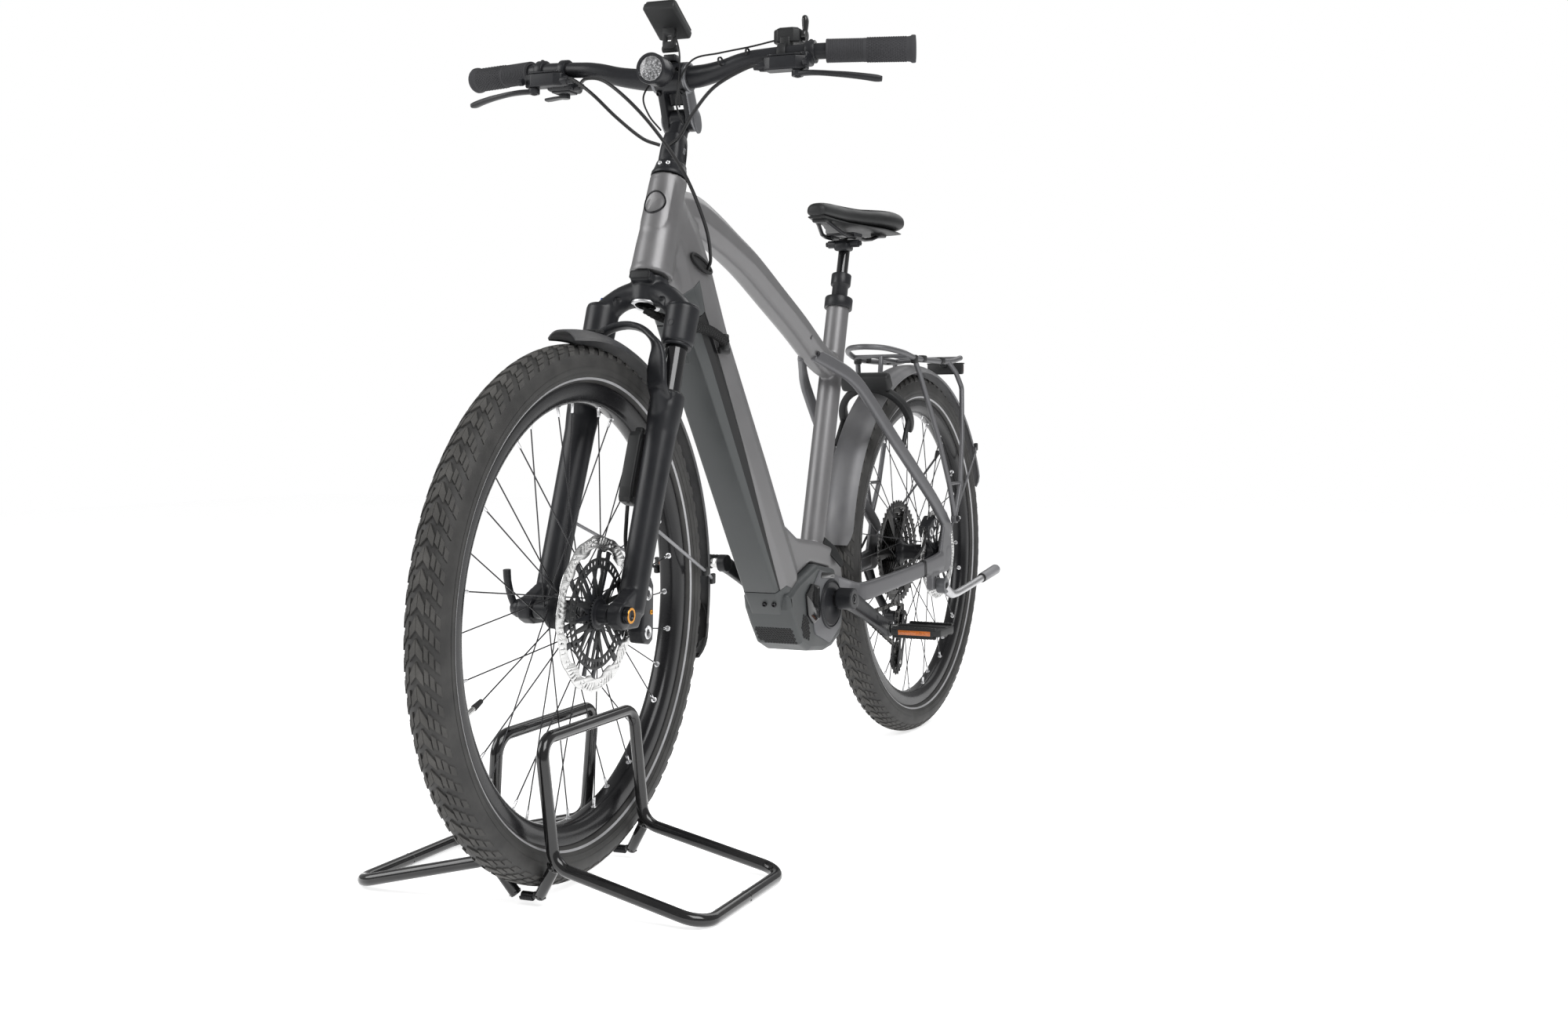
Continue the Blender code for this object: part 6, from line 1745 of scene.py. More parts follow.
def cassette_shape():
    parts = []
    teeth = [50, 44, 38, 33, 28, 24, 20, 16]
    for i in range(8):
        radius = 0.101 - 0.0105 * i
        y = -0.0250 - 0.0046 * i - 0.0018
        holes = [circle(0, 0, 0.0160, 40)]
        if i < 5:
            count = 6
            low, high = 0.0215, radius - 0.0145
            for k in range(count):
                a0, a1 = math.tau * (k + 0.12) / count, math.tau * (k + 0.88) / count
                arc = [
                    (high * math.cos(a0 + (a1 - a0) * j / 6), high * math.sin(a0 + (a1 - a0) * j / 6))
                    for j in range(7)
                ]
                back = [
                    (low * math.cos(a1 - (a1 - a0) * j / 4), low * math.sin(a1 - (a1 - a0) * j / 4))
                    for j in range(5)
                ]
                holes.append(arc + back)
        cog = gear(teeth[i], radius - 0.0048, radius, 0.0024, holes, i * 0.11)
        parts.append(cog.moved(Matrix.Translation((0, y, 0))).slot(0))
    core = lathe(
        [(0.0125, -0.0620), (0.0160, -0.0620), (0.0170, -0.0610), (0.0170, -0.0250), (0.0125, -0.0250)], (0, 0, 0),
        SIDE, 40
    )
    ring = lathe(
        [(0.0100, -0.0632), (0.0150, -0.0632), (0.0155, -0.0622), (0.0150, -0.0612), (0.0100, -0.0612)], (0, 0, 0),
        SIDE, 32
    )
    parts += [core.slot(1), ring.slot(2)]
    return together(parts).moved(Matrix.Translation(REAR_AXLE))


piece("gear_cassette", cassette_shape(), ["cog", "satin", "steel"], "cassette", ["cassette"])


def tangent_points(a, ra, b, rb, side_a, side_b):
    """Where a straight run leaves wheel a and meets wheel b; a side is +1 or -1."""
    delta = (b[0] - a[0], b[1] - a[1])
    distance = math.hypot(*delta)
    angle = math.atan2(delta[1], delta[0])
    offset = math.acos(max(-1, min(1, (ra * side_a - rb * side_b) / distance)))
    first = angle + offset
    na = (math.cos(first), math.sin(first))
    return (
        a[0] + na[0] * ra * side_a, a[1] + na[1] * ra * side_a
    ), (b[0] + na[0] * rb * side_b, b[1] + na[1] * rb * side_b)


def chain_loop():
    """The chain's centre line as points with their sideways position."""
    wheels = [
        ((BOTTOM_BRACKET.x, BOTTOM_BRACKET.z), 0.0850, 1, -0.0505),
        ((REAR_AXLE.x, REAR_AXLE.z), 0.1010, 1, -0.0285),
        ((-0.022, 0.2155), 0.0226, -1, -0.0285),
        ((0.004, 0.130), 0.0266, 1, -0.0285),
    ]
    runs = []
    count = len(wheels)
    for i in range(count):
        (a, ra, sa, ya), (b, rb, sb, yb) = wheels[i], wheels[(i + 1) % count]
        p, q = tangent_points(a, ra, b, rb, sa, sb)
        runs.append((p, q, ya, yb))
    points = []
    for i in range(count):
        p, q, ya, yb = runs[i]
        steps = 24
        for k in range(steps):
            t = k / steps
            points.append(Vector((p[0] + (q[0] - p[0]) * t, ya + (yb - ya) * t, p[1] + (q[1] - p[1]) * t)))
        centre, radius, turn, y = wheels[(i + 1) % count]
        start = math.atan2(q[1] - centre[1], q[0] - centre[0])
        following = runs[(i + 1) % count][0]
        end = math.atan2(following[1] - centre[1], following[0] - centre[0])
        sweep_angle = (end - start) * turn % math.tau * turn
        steps = max(6, int(abs(sweep_angle) * radius / 0.004))
        for k in range(steps):
            angle = start + sweep_angle * k / steps
            points.append(Vector((centre[0] + radius * math.cos(angle), y, centre[1] + radius * math.sin(angle))))
    return points


def spaced(points, gap):
    """Even steps along a closed line."""
    lengths = [0.0]
    closed = points + [points[0]]
    for a, b in zip(closed, closed[1:]):
        lengths.append(lengths[-1] + (b - a).length)
    count = int(lengths[-1] / gap / 2) * 2
    marks = [lengths[-1] * k / count for k in range(count)]
    found, i = [], 0
    for mark in marks:
        while lengths[i + 1] < mark:
            i += 1
        t = (mark - lengths[i]) / max(1e-9, lengths[i + 1] - lengths[i])
        found.append(closed[i].lerp(closed[i + 1], t))
    return found


def link(a, b, wide):
    """Both side plates and the roller of one link."""
    run = b - a
    length = run.length
    direction = run.normalized()
    across = Vector((-direction.z, 0, direction.x)).normalized()
    outline = []
    for k in range(9):
        angle = math.radians(90 + 180 * k / 8)
        outline.append((0.0038 * math.cos(angle), 0.0038 * math.sin(angle)))
    outline += [(length * 0.5, -0.0028)]
    for k in range(9):
        angle = math.radians(-90 + 180 * k / 8)
        outline.append((length + 0.0038 * math.cos(angle), 0.0038 * math.sin(angle)))
    outline += [(length * 0.5, 0.0028)]
    rings = []
    for y0, y1 in (((0.0018, 0.0026), (-0.0026, -0.0018)) if not wide else ((0.0027, 0.0034), (-0.0034, -0.0027))):
        low = [a + direction * p + across * q + SIDE * y0 for p, q in outline]
        high = [a + direction * p + across * q + SIDE * y1 for p, q in outline]
        rings.append(loft([low, high]))
    rings.append(rod(a - SIDE * 0.0036, a + SIDE * 0.0036, 0.0022, sides=8, edge=0))
    return together(rings)


def chain_shape():
    marks = spaced(chain_loop(), 0.0127)
    count = len(marks)
    return outward(together(link(marks[k], marks[(k + 1) % count], k % 2) for k in range(count)))


piece("drive_chain", chain_shape(), "chain", "frame", ["chain"], smooth=35)


def derailleur_shape():
    knuckle = lathe(
        [
            (0, 0.0800), (0.0112, 0.0800), (0.0122, 0.0810), (0.0122, 0.0950), (0.0108, 0.0978), (0.0060, 0.0982),
            (0.0052, 0.0965), (0, 0.0965)
        ],
        (0, 0, 0.322), -SIDE, 36
    )
    route = [
        (0.000, -0.0915, 0.322), (-0.006, -0.0880, 0.300), (-0.012, -0.0810, 0.272), (-0.018, -0.0670, 0.240),
        (-0.022, -0.0560, 0.2155)
    ]
    line = smooth_path([Vector(p) for p in route], 5)
    arm = sweep(
        line, 1.0, 24, radii=[0.0094 - 0.0014 * math.sin(math.pi * i / (len(line) - 1)) for i in range(len(line))]
    )
    lower = rod((-0.022, -0.0390, 0.2155), (-0.022, -0.0612, 0.2155), 0.0118, sides=36, edge=0.001)
    skin = fused(together([knuckle, arm, lower]), 0.0013, 3, 0.5)
    cover = bar(
        [
            ((-0.0040, -0.0975, 0.3080), 0.0030, 0.0080), ((-0.0110, -0.0900, 0.2800), 0.0034, 0.0090),
            ((-0.0170, -0.0745, 0.2520), 0.0028, 0.0060)
        ],
        3.0, 24
    )
    adjuster = lathe(
        [(0, 0), (0.0040, 0), (0.0042, 0.001), (0.0042, 0.010), (0.0030, 0.011), (0.0026, 0.020), (0, 0.020)],
        (-0.012, -0.0900, 0.3180), Vector((-0.8, 0, 0.6)), 18
    )
    bolts = screw_head(Vector((0, -0.0978, 0.322)), -SIDE, 0.0056, 0.0020) + screw_head(
        Vector((-0.022, -0.0610, 0.2155)), -SIDE, 0.0060, 0.0020
    )
    housing = wire(
        [
            (-0.030, -0.0900, 0.3315), (-0.048, -0.0870, 0.3500), (-0.040, -0.0850, 0.3750),
            (0.010, -0.0840, 0.3800), (0.060, -0.0800, 0.3560), (0.110, -0.0775, 0.3420)
        ],
        0.0024
    )
    return together([skin.slot(0), cover.slot(0), adjuster.slot(0), bolts.slot(1), housing.slot(2)])


def cage_shape():
    high, low = Vector((-0.022, 0, 0.2155)), Vector((0.004, 0, 0.130))
    run = (low - high).normalized()
    across = Vector((-run.z, 0, run.x))
    parts = []
    for y0, y1 in ((-0.0379, -0.0361), (-0.0229, -0.0211)):
        outline = []
        for centre, radius, begin, end in ((high, 0.0128, 90, 270), (low, 0.0125, -90, 90)):
            for k in range(9):
                angle = math.radians(begin + (end - begin) * k / 8)
                p = centre + run * (radius * math.cos(angle)) + across * (radius * math.sin(angle))
                outline.append((p.x, p.z))
        hole = []
        for k in range(20):
            angle = math.tau * k / 20
            p = high.lerp(low, 0.5) + run * (0.021 * math.cos(angle)) + across * (0.0055 * math.sin(angle))
            hole.append((p.x, p.z))
        parts.append(plate([outline, hole], y0, y1, 0.0004).slot(0))
    for centre, teeth, radius in ((high, 12, 0.0218), (low, 14, 0.0258)):
        holes = [circle(0, 0, 0.0040, 16)]
        for k in range(5):
            a = math.tau * k / 5
            holes.append(circle(0.0125 * math.cos(a), 0.0125 * math.sin(a), 0.0030, 12))
        wheel = gear(teeth, radius - 0.0040, radius, 0.0024, holes).moved(
            Matrix.Translation((centre.x, -0.0285, centre.z))
        )
        parts.append(wheel.slot(1))
        parts.append(rod((centre.x, -0.0362, centre.z), (centre.x, -0.0228, centre.z), 0.0050, sides=20).slot(0))
        parts.append(screw_head(Vector((centre.x, -0.0212, centre.z)), SIDE, 0.0046, 0.0012).slot(2))
        parts.append(screw_head(Vector((centre.x, -0.0378, centre.z)), -SIDE, 0.0046, 0.0012).slot(2))
    return together(parts)


piece("mech_body", derailleur_shape(), ["satin", "bolt", "cable"], "frame", ["derailleur"])
piece("mech_cage", cage_shape(), ["bolt", "plastic", "steel"], "derailleur_cage", ["derailleur_cage"])


def pedal_shape(eye, side):
    """A platform pedal with toothed rims and a reflector in each edge."""
    centre = Vector((eye.x, 0.148 * side, eye.z))
    spindle = rod(Vector((eye.x, 0.0908 * side, eye.z)), Vector((eye.x, 0.146 * side, eye.z)), 0.0072, sides=28).slot(1)
    flats = rod(
        Vector((eye.x, 0.0908 * side, eye.z)), Vector((eye.x, 0.0990 * side, eye.z)), 0.0084, sides=6, edge=0.0003
    ).slot(1)
    outer = [
        (-0.0440, -0.0440), (0.0440, -0.0440), (0.0440, 0.0350), (0.0330, 0.0455), (-0.0330, 0.0455),
        (-0.0440, 0.0350)
    ]
    windows = []
    for low, high in ((-0.0335, -0.0140), (0.0140, 0.0335)):
        for a, b in ((-0.0350, -0.0050), (0.0020, 0.0340)):
            windows.append(soft_outline([(low, a), (low, b), (high, b), (high, a)], 0.004))
    body = plate([soft_outline(outer, 0.007)] + windows, -0.0062, 0.0062, 0.0014, 2)
    flip = turned((1, 0, 0), (0, 0, 1), (0, side, 0), centre)
    core = rod(centre - SIDE * 0.0440, centre + SIDE * 0.0440, 0.0096, sides=32, edge=0.001).slot(0)
    parts = [spindle, flats, outward(body.moved(flip)).slot(0), core]
    for x in (-0.0405, 0.0405):
        for level in (1, -1):
            rail = block((0.0066, 0.080, 0.0040), centre + Vector((x, 0, 0.0078 * level)), None, 0.0012, 2)
            parts.append(rail.slot(0))
            for k in range(13):
                y = -0.0370 + k * 0.00617
                parts.append(
                    block((0.0056, 0.0030, 0.0020), centre + Vector((x, y, 0.0092 * level)), None, 0.0005, 1).slot(0)
                )
        glow = block((0.0044, 0.060, 0.0090), centre + Vector((x * 1.035, 0.001 * side, 0)), None, 0.0008, 2)
        parts.append(glow.slot(2))
        frame_path = [
            centre + Vector((x * 1.08, a, b)) for a,
            b in soft_outline([(-0.0315, -0.0052), (-0.0315, 0.0052), (0.0315, 0.0052), (0.0315, -0.0052)], 0.002)
        ]
        parts.append(sweep(frame_path, 0.0009, 6, cyclic=True).slot(0))
    return together(parts)


piece(
    "platform_left", pedal_shape(EYE_LEFT, 1), ["plastic", "steel", "reflector"], "pedal_left",
    ["pedal_left"]
)
piece(
    "platform_right", pedal_shape(EYE_RIGHT, -1), ["plastic", "steel", "reflector"], "pedal_right",
    ["pedal_right"]
)


# Rear mudguard, carrier, lock, brake and stand leg


def rear_guard_stays():
    parts = []
    for side in (1, -1):
        a = on_wheel(REAR_AXLE, 0.3600, 146, 0.0300 * side)
        b = on_wheel(REAR_AXLE, 0.3300, 145, 0.0400 * side)
        c = Vector((-0.030, 0.0700 * side, 0.385))
        parts.append(rod(a, b, 0.0023, sides=14).slot(0))
        parts.append(rod(b, c, 0.0023, sides=14).slot(0))
        parts.append(ball(b, 0.0024, 12).slot(0))
        parts.append(block((0.012, 0.006, 0.016), a + SIDE * (0.001 * side), None, 0.002, 3).slot(1))
    return together(parts)


piece(
    "rear_guard", guard_shape(REAR_AXLE, 6.0, 161.0), "guard_grey", "frame", ["rear_mudguard"],
    smooth=50
)
piece("rear_guard_stays", rear_guard_stays(), ["stay", "plastic"], "frame")


def rack_shape():
    parts = []
    rail = [
        (-0.137, 0.055, 0.7295), (-0.060, 0.0565, 0.7200), (0.100, 0.0580, 0.7195), (0.170, 0.0540, 0.7290),
        (0.212, 0.0360, 0.7360), (0.230, 0.0120, 0.7380)
    ]
    loop = [Vector(p) for p in rail] + [Vector((x, -y, z)) for x, y, z in rail[::-1]]
    tubes = [sweep(smooth_path(loop, 8), 0.0052, 20)]
    legs = [
        [
            (0.1226, 0.0575, 0.7195), (0.110, 0.0620, 0.6950), (0.0447, 0.0760, 0.5698), (0.0139, 0.0860, 0.4815),
            (-0.0118, 0.0880, 0.4130)
        ],
        [
            (-0.0612, 0.0565, 0.7200), (-0.084, 0.0640, 0.7000), (-0.097, 0.0720, 0.6697),
            (-0.0704, 0.0820, 0.5687), (-0.0479, 0.0865, 0.4794), (-0.0118, 0.0880, 0.4150)
        ],
    ]
    for leg in legs:
        path = rounded([Vector(p) for p in leg], [0] + [0.02] * (len(leg) - 2) + [0], steps=5)
        for side in (1, -1):
            tubes.append(sweep([Vector((p.x, p.y * side, p.z)) for p in path], 0.0048, 18))
    for side in (1, -1):
        tubes.append(rod((0.0139, 0.0860 * side, 0.4815), (-0.0479, 0.0865 * side, 0.4815), 0.0032, sides=14))
        tubes.append(rod((-0.0118, 0.0824 * side, 0.413), (-0.0118, 0.0928 * side, 0.413), 0.0085, sides=28))
    for x, z, half in ((0.145, 0.7240, 0.0555), (0.020, 0.7198, 0.0570), (-0.128, 0.7285, 0.0550)):
        tubes.append(rod((x, -half, z), (x, half, z), 0.0036, sides=14))
    for y in (0.020, -0.020):
        tubes.append(
            sweep(
                smooth_path([(-0.128, y, 0.7285), (-0.060, y, 0.7215), (0.020, y, 0.7200), (0.145, y, 0.7240)], 5),
                0.0028, 12
            )
        )
    tubes.append(rod((0.145, 0, 0.724), (0.152, 0, 0.683), 0.0046, sides=18))
    plate_shape = block((0.062, 0.018, 0.004), (-0.158, 0, 0.727), None, 0.001)
    parts.append(together(tubes).slot(0))
    parts.append(plate_shape.slot(0))
    for side in (1, -1):
        for x, z in ((0.080, 0.7205), (-0.020, 0.7205)):
            parts.append(block((0.018, 0.014, 0.013), (x, 0.0572 * side, z), None, 0.003, 3).slot(1))
        parts.append(block((0.014, 0.012, 0.016), (0.1226, 0.0575 * side, 0.7185), None, 0.003, 3).slot(1))
    return together(parts)


def rear_light_shape():
    shell = block((0.0120, 0.0765, 0.0225), (-0.1995, 0, 0.710), None, 0.003, 3).slot(0)
    lens = block((0.0060, 0.0740, 0.0150), (-0.2060, 0, 0.7110), None, 0.0018, 3).slot(1)
    lip = block((0.0150, 0.0775, 0.0030), (-0.2010, 0, 0.7210), None, 0.0012, 2).slot(0)
    arm = block((0.0200, 0.0138, 0.0098), (-0.190, 0, 0.719), None, 0.002).slot(0)
    return together([shell, lens, lip, arm])


piece("carrier", rack_shape(), ["stay", "plastic"], "frame", ["rack"])
piece("tail_lamp", rear_light_shape(), ["plastic", "red_lens"], "frame", ["rear_light"])

LOCK_AXIS = Vector((-0.82413, 0, 0.56641))
LOCK_CENTRE = on_wheel(REAR_AXLE, 0.313, 55.5)


def ring_arc(low_radius, high_radius, low, high, start, stop, steps=72):
    """Part of a flat ring, about the local Z axis."""
    rings = []
    middle_r, middle_h = (low_radius + high_radius) / 2, (low + high) / 2
    half_r, half_h = (high_radius - low_radius) / 2, (high - low) / 2
    outline = superellipse(half_r, half_h, 5.0, 24)
    for k in range(steps + 1):
        angle = math.radians(start + (stop - start) * k / steps)
        across = Vector((math.cos(angle), math.sin(angle), 0))
        rings.append([across * (middle_r + a) + Vector((0, 0, middle_h + b)) for a, b in outline])
    return loft(rings)


def lock_place():
    """Local X points out from the wheel, local Z along the lock's own axis."""
    out = Vector((math.cos(math.radians(55.5)), 0, math.sin(math.radians(55.5))))
    return turned(out, SIDE if LOCK_AXIS.cross(out).y > 0 else -SIDE, LOCK_AXIS, LOCK_CENTRE)


def lock_shape():
    ring = ring_arc(0.0587, 0.0723, 0.0004, 0.0156, -115, 115)
    body = block((0.033, 0.098, 0.0205), (0.081, 0, 0.0046), None, 0.007, 5)
    cap = block((0.026, 0.080, 0.004), (0.081, 0, 0.0156), None, 0.0018, 3)
    skin = bevelled(ring, 0.0004, 1, 60) + body + cap
    barrel = lathe(
        [(0, 0), (0.0080, 0), (0.0084, 0.001), (0.0084, 0.004), (0.0060, 0.005), (0, 0.005)],
        (0.084, 0.026, 0.0160), UP, 32
    )
    placed = (skin.slot(0) + barrel.slot(1)).moved(lock_place())
    feet = []
    for side in (1, -1):
        feet.append(
            rod(
                Vector((0.205, 0.0675 * side, 0.5575)), LOCK_CENTRE + SIDE * (0.0655 * side) + LOCK_AXIS * 0.006,
                0.0043, sides=20
            ).slot(0)
        )
    return together([placed] + feet)


def lock_bolt_shape():
    arc = ring_arc(0.0617, 0.0688, 0.0166, 0.0238, -112, 28)
    angle = math.radians(24)
    knob = block((0.016, 0.010, 0.0068), (0, 0, 0), None, 0.003, 4).moved(
        Matrix.Translation((0.074 * math.cos(angle), 0.074 * math.sin(angle), 0.0203)) @ Matrix.Rotation(angle, 4, "Z")
    )
    return (arc.slot(0) + knob.slot(1)).moved(lock_place())


piece("wheel_lock", lock_shape(), ["plastic", "steel"], "frame", ["ring_lock"])
piece("wheel_lock_bolt", lock_bolt_shape(), ["steel", "plastic"], "lock_bolt", ["lock_bolt"])


def rear_caliper_shape():
    turn = Matrix.Rotation(math.radians(38), 4, "Y")
    where = Matrix.Translation((0.052, 0, 0.400)) @ turn
    outline = [
        (-0.0240, -0.0100), (-0.0160, -0.0145), (0.0180, -0.0140), (0.0250, -0.0060), (0.0230, 0.0100),
        (0.0120, 0.0145), (-0.0120, 0.0130), (-0.0235, 0.0120)
    ]
    outer = plate([soft_outline(outline, 0.004)], 0.0597, 0.0670, 0.0022, 3)
    inner = plate([soft_outline([(a * 0.94, b * 0.92) for a, b in outline], 0.004)], 0.0452, 0.0539, 0.0018, 3)
    bridge = block((0.030, 0.020, 0.0060), (0, 0.056, 0.0112), None, 0.0018)
    parts = [(outer + inner + bridge).moved(where).slot(0)]
    for x in (-0.0135, 0.0135):
        ring = lathe(
            [
                (0.0045, 0), (0.0084, 0), (0.0088, 0.0008), (0.0088, 0.0020), (0.0080, 0.0026), (0.0056, 0.0026),
                (0.0045, 0.0018)
            ],
            (x, 0.0664, 0), SIDE, 32
        )
        hub = lathe([(0, 0), (0.0046, 0), (0.0046, 0.0010), (0, 0.0010)], (x, 0.0664, 0), SIDE, 20)
        parts += [ring.moved(where).slot(1), hub.moved(where).slot(2)]
    parts.append(
        wire(
            [
                (0.074, 0.0620, 0.3930), (0.100, 0.0680, 0.3760), (0.130, 0.0700, 0.3560), (0.180, 0.0680, 0.3400),
                (0.250, 0.0640, 0.3340)
            ],
            0.0025
        ).slot(3)
    )
    return together(parts)


def kickstand_shape():
    hub = lathe(
        [
            (0, 0.0822), (0.0138, 0.0822), (0.0145, 0.0832), (0.0145, 0.0990), (0.0136, 0.1000), (0.0080, 0.1002),
            (0.0070, 0.0988), (0, 0.0988)
        ],
        (0.066, 0, 0.290), SIDE, 44
    )
    route = [
        Vector((0.066, 0.092, 0.290)), Vector((0.0460, 0.093, 0.2790)), Vector((0.0255, 0.094, 0.2705)),
        Vector((0.0050, 0.095, 0.2695)), Vector((-0.020, 0.096, 0.2720)), Vector((-0.100, 0.0978, 0.2820)),
        Vector((-0.200, 0.0996, 0.2955))
    ]
    line = smooth_path(route, 6)
    count = len(line)
    radii = [0.0105 - 0.0035 * min(1, i / (count * 0.45)) for i in range(count)]
    leg = sweep(line, 1.0, 24, radii=radii)
    skin = leg.slot(0) + hub.slot(3)
    foot = []
    start, end = Vector((-0.140, 0.0985, 0.2874)), Vector((-0.222, 0.1002, 0.2983))
    run = (end - start).normalized()
    length = (end - start).length
    foot.append(
        lathe(
            [
                (0.0066, 0), (0.0092, 0), (0.0098, 0.001), (0.0100, length * 0.5), (0.0104, length - 0.004),
                (0.0096, length - 0.0005), (0, length)
            ],
            start, run, 36
        ).slot(1)
    )
    foot.append(
        lathe(
            [(0.0066, -0.004), (0.0086, -0.004), (0.0090, -0.003), (0.0090, 0.0), (0.0066, 0.0)], start, run, 36
        ).slot(2)
    )
    return together([skin, screw_head(Vector((0.066, 0.0995, 0.290)), SIDE, 0.0056, 0.0018).slot(2)] + foot)


piece("rear_brake", rear_caliper_shape(), ["satin", "bare", "bolt", "cable"], "frame", ["rear_caliper"])
piece("prop_leg", kickstand_shape(), ["alloy", "cable_grey", "rubber", "grey_cap"], "kickstand", ["kickstand"])


# Saddle

SADDLE = [
    (0.438, 0.010, 0.970, 0.958), (0.430, 0.018, 0.976, 0.954), (0.400, 0.023, 0.979, 0.9515),
    (0.350, 0.029, 0.9795, 0.950),
    (0.305, 0.044, 0.980, 0.949), (0.265, 0.064, 0.983, 0.947), (0.230, 0.0745, 0.986, 0.944),
    (0.203, 0.070, 0.987, 0.944), (0.184, 0.048, 0.983, 0.950),
]


def saddle_rings(scale=1.0, sink=0.0, steps=56):
    stations = smooth_path([(x, w, t) for x, w, t, b in SADDLE], 5)
    lows = smooth_path([(x, b, 0) for x, w, t, b in SADDLE], 5)
    rings = []
    for station, low in zip(stations, lows):
        x, half, top = station
        bottom = low[1]
        half *= scale
        middle, rise = bottom + (top - bottom) * 0.42, (top - bottom) * 0.58
        drop = (top - bottom) * 0.42
        ring = []
        for k in range(steps):
            angle = math.tau * k / steps
            c, s = math.cos(angle), math.sin(angle)
            a = half * math.copysign(abs(c) ** (2 / 2.5), c)
            if s >= 0:
                b = middle + rise * abs(s) ** (2 / 2.3)
                reach = abs(a) / half
                channel = math.exp(-((a / 0.0085) ** 2)) * 0.0030 * min(
                    1, max(0, (0.400 - x) / 0.05)
                ) * min(1, max(0, (x - 0.205) / 0.03))
                b -= channel + sink
                b -= 0.0022 * max(0, reach - 0.55) ** 2
            else:
                b = middle - drop * abs(s) ** (2 / 3.0)
            ring.append(Vector((x, a, b)))
        rings.append(ring)
    return rings


def saddle_skin():
    return subdivided(loft(saddle_rings()), 1)


def saddle_panels():
    """The seams round the rear panels."""
    seams = []
    for side in (1, -1):
        line = []
        for x, share in (
            (0.408, 0.60), (0.360, 0.66), (0.315, 0.70), (0.275, 0.72), (0.240, 0.72), (0.212, 0.66), (0.200, 0.44)
        ):
            for (x0, w0, t0, b0), (x1, w1, t1, b1) in zip(SADDLE, SADDLE[1:]):
                if x1 <= x <= x0:
                    t = (x0 - x) / (x0 - x1)
                    half, top, low = w0 + (w1 - w0) * t, t0 + (t1 - t0) * t, b0 + (b1 - b0) * t
                    break
            c = share ** 1.25
            s = math.sqrt(max(0, 1 - c * c))
            middle, rise = low + (top - low) * 0.42, (top - low) * 0.58
            z = middle + rise * s ** (2 / 2.3)
            line.append(Vector((x, half * share * side, z - 0.0002)))
        seams.append(sweep(smooth_path(line, 6), 0.0008, 8))
    return together(seams)


def saddle_frame_shape():
    rail = [
        (0.415, 0.008, 0.9490), (0.395, 0.012, 0.9420), (0.365, 0.020, 0.9300), (0.345, 0.022, 0.9275),
        (0.275, 0.022, 0.9275), (0.250, 0.026, 0.9310), (0.226, 0.034, 0.9405)
    ]
    path = rounded([Vector(p) for p in rail], [0] + [0.012] * (len(rail) - 2) + [0], steps=5)
    parts = []
    for side in (1, -1):
        parts.append(sweep([Vector((p.x, p.y * side, p.z)) for p in path], 0.0035, 18).slot(0))
    base = []
    for x, w, _, b in SADDLE[1:-1]:
        half = w * 0.92
        base.append([Vector((x, a, b - 0.0014 + c)) for a, c in superellipse(half, 0.0023, 3.0, 40)])
    parts.append(loft(base).slot(1))
    for x, y, z, size in (
        (0.408, 0.0, 0.9480, (0.030, 0.026, 0.008)), (0.228, 0.030, 0.9405, (0.026, 0.022, 0.010)),
        (0.228, -0.030, 0.9405, (0.026, 0.022, 0.010))
    ):
        parts.append(block(size, (x, y, z), None, 0.003, 3).slot(1))
    parts.append(block((0.036, 0.055, 0.0048), (0.314, 0, 0.933), None, 0.0014).slot(2))
    for side in (1, -1):
        parts.append(block((0.032, 0.0120, 0.0060), (0.314, 0.0220 * side, 0.9295), None, 0.002, 3).slot(2))
        parts.append(screw_head(Vector((0.302, 0.0, 0.9350)), UP, 0.0040, 0.0020).slot(3))
    return together(parts)


pad = piece("saddle_skin", saddle_skin(), "plastic", "saddle", ["saddle_pad"], smooth=60)
piece("saddle_seams", saddle_panels(), "rubber", "saddle")
piece(
    "saddle_rails", saddle_frame_shape(), ["bolt", "plastic", "satin", "steel"], "saddle",
    ["saddle_frame"]
)


# Front end: crown, legs and what they carry


def crown_shape():
    route = [
        leg_point(0.730, -1), leg_point(0.751, -1, 0.006, 0.058), leg_point(0.771, -1, 0.004, 0.038),
        leg_point(0.7795, -1, 0.002, 0.014)
    ]
    route = route + [Vector((p.x, -p.y, p.z)) for p in route[::-1]]
    line = smooth_path(route, 6)
    widths = []
    for p in line:
        reach = abs(p.y)
        widths.append(0.0172 + 0.0030 * math.exp(-((reach / 0.022) ** 2)) + 0.0020 * max(0, (reach - 0.045) / 0.0175))
    arch = sweep(line, 1.0, 24, radii=widths)
    body = [arch]
    for side in (1, -1):
        low, high = leg_point(0.705, side), leg_point(0.7575, side)
        body.append(rod(low, high, 0.0226, 0.0236, sides=56, edge=0.0022))
    body.append(rod(head_point(0.7640), head_point(0.8015), 0.0215, 0.0268, sides=56, edge=0.001))
    badge = [head_point(0.7945, 0.0245, y) for y in (-0.016, 0.016)]
    body.append(rod(badge[0], badge[1], 0.0080, sides=24, edge=0.002))
    skin = fused(together(body), 0.0018, 4, 0.5)
    cutters = [rod(head_point(0.74), head_point(0.7755), 0.0172, sides=48, edge=0)]
    for side in (1, -1):
        cutters.append(rod(leg_point(0.690, side), leg_point(0.7075, side), 0.0170, sides=48, edge=0))
        pocket = block((0.016, 0.015, 0.020), (0, 0, 0), None, 0.006, 4)
        cutters.append(pocket.moved(turned(HEAD_FORWARD, SIDE, HEAD_UP, head_point(0.7600, 0.0245, 0.0335 * side))))
    return cut(skin, cutters)


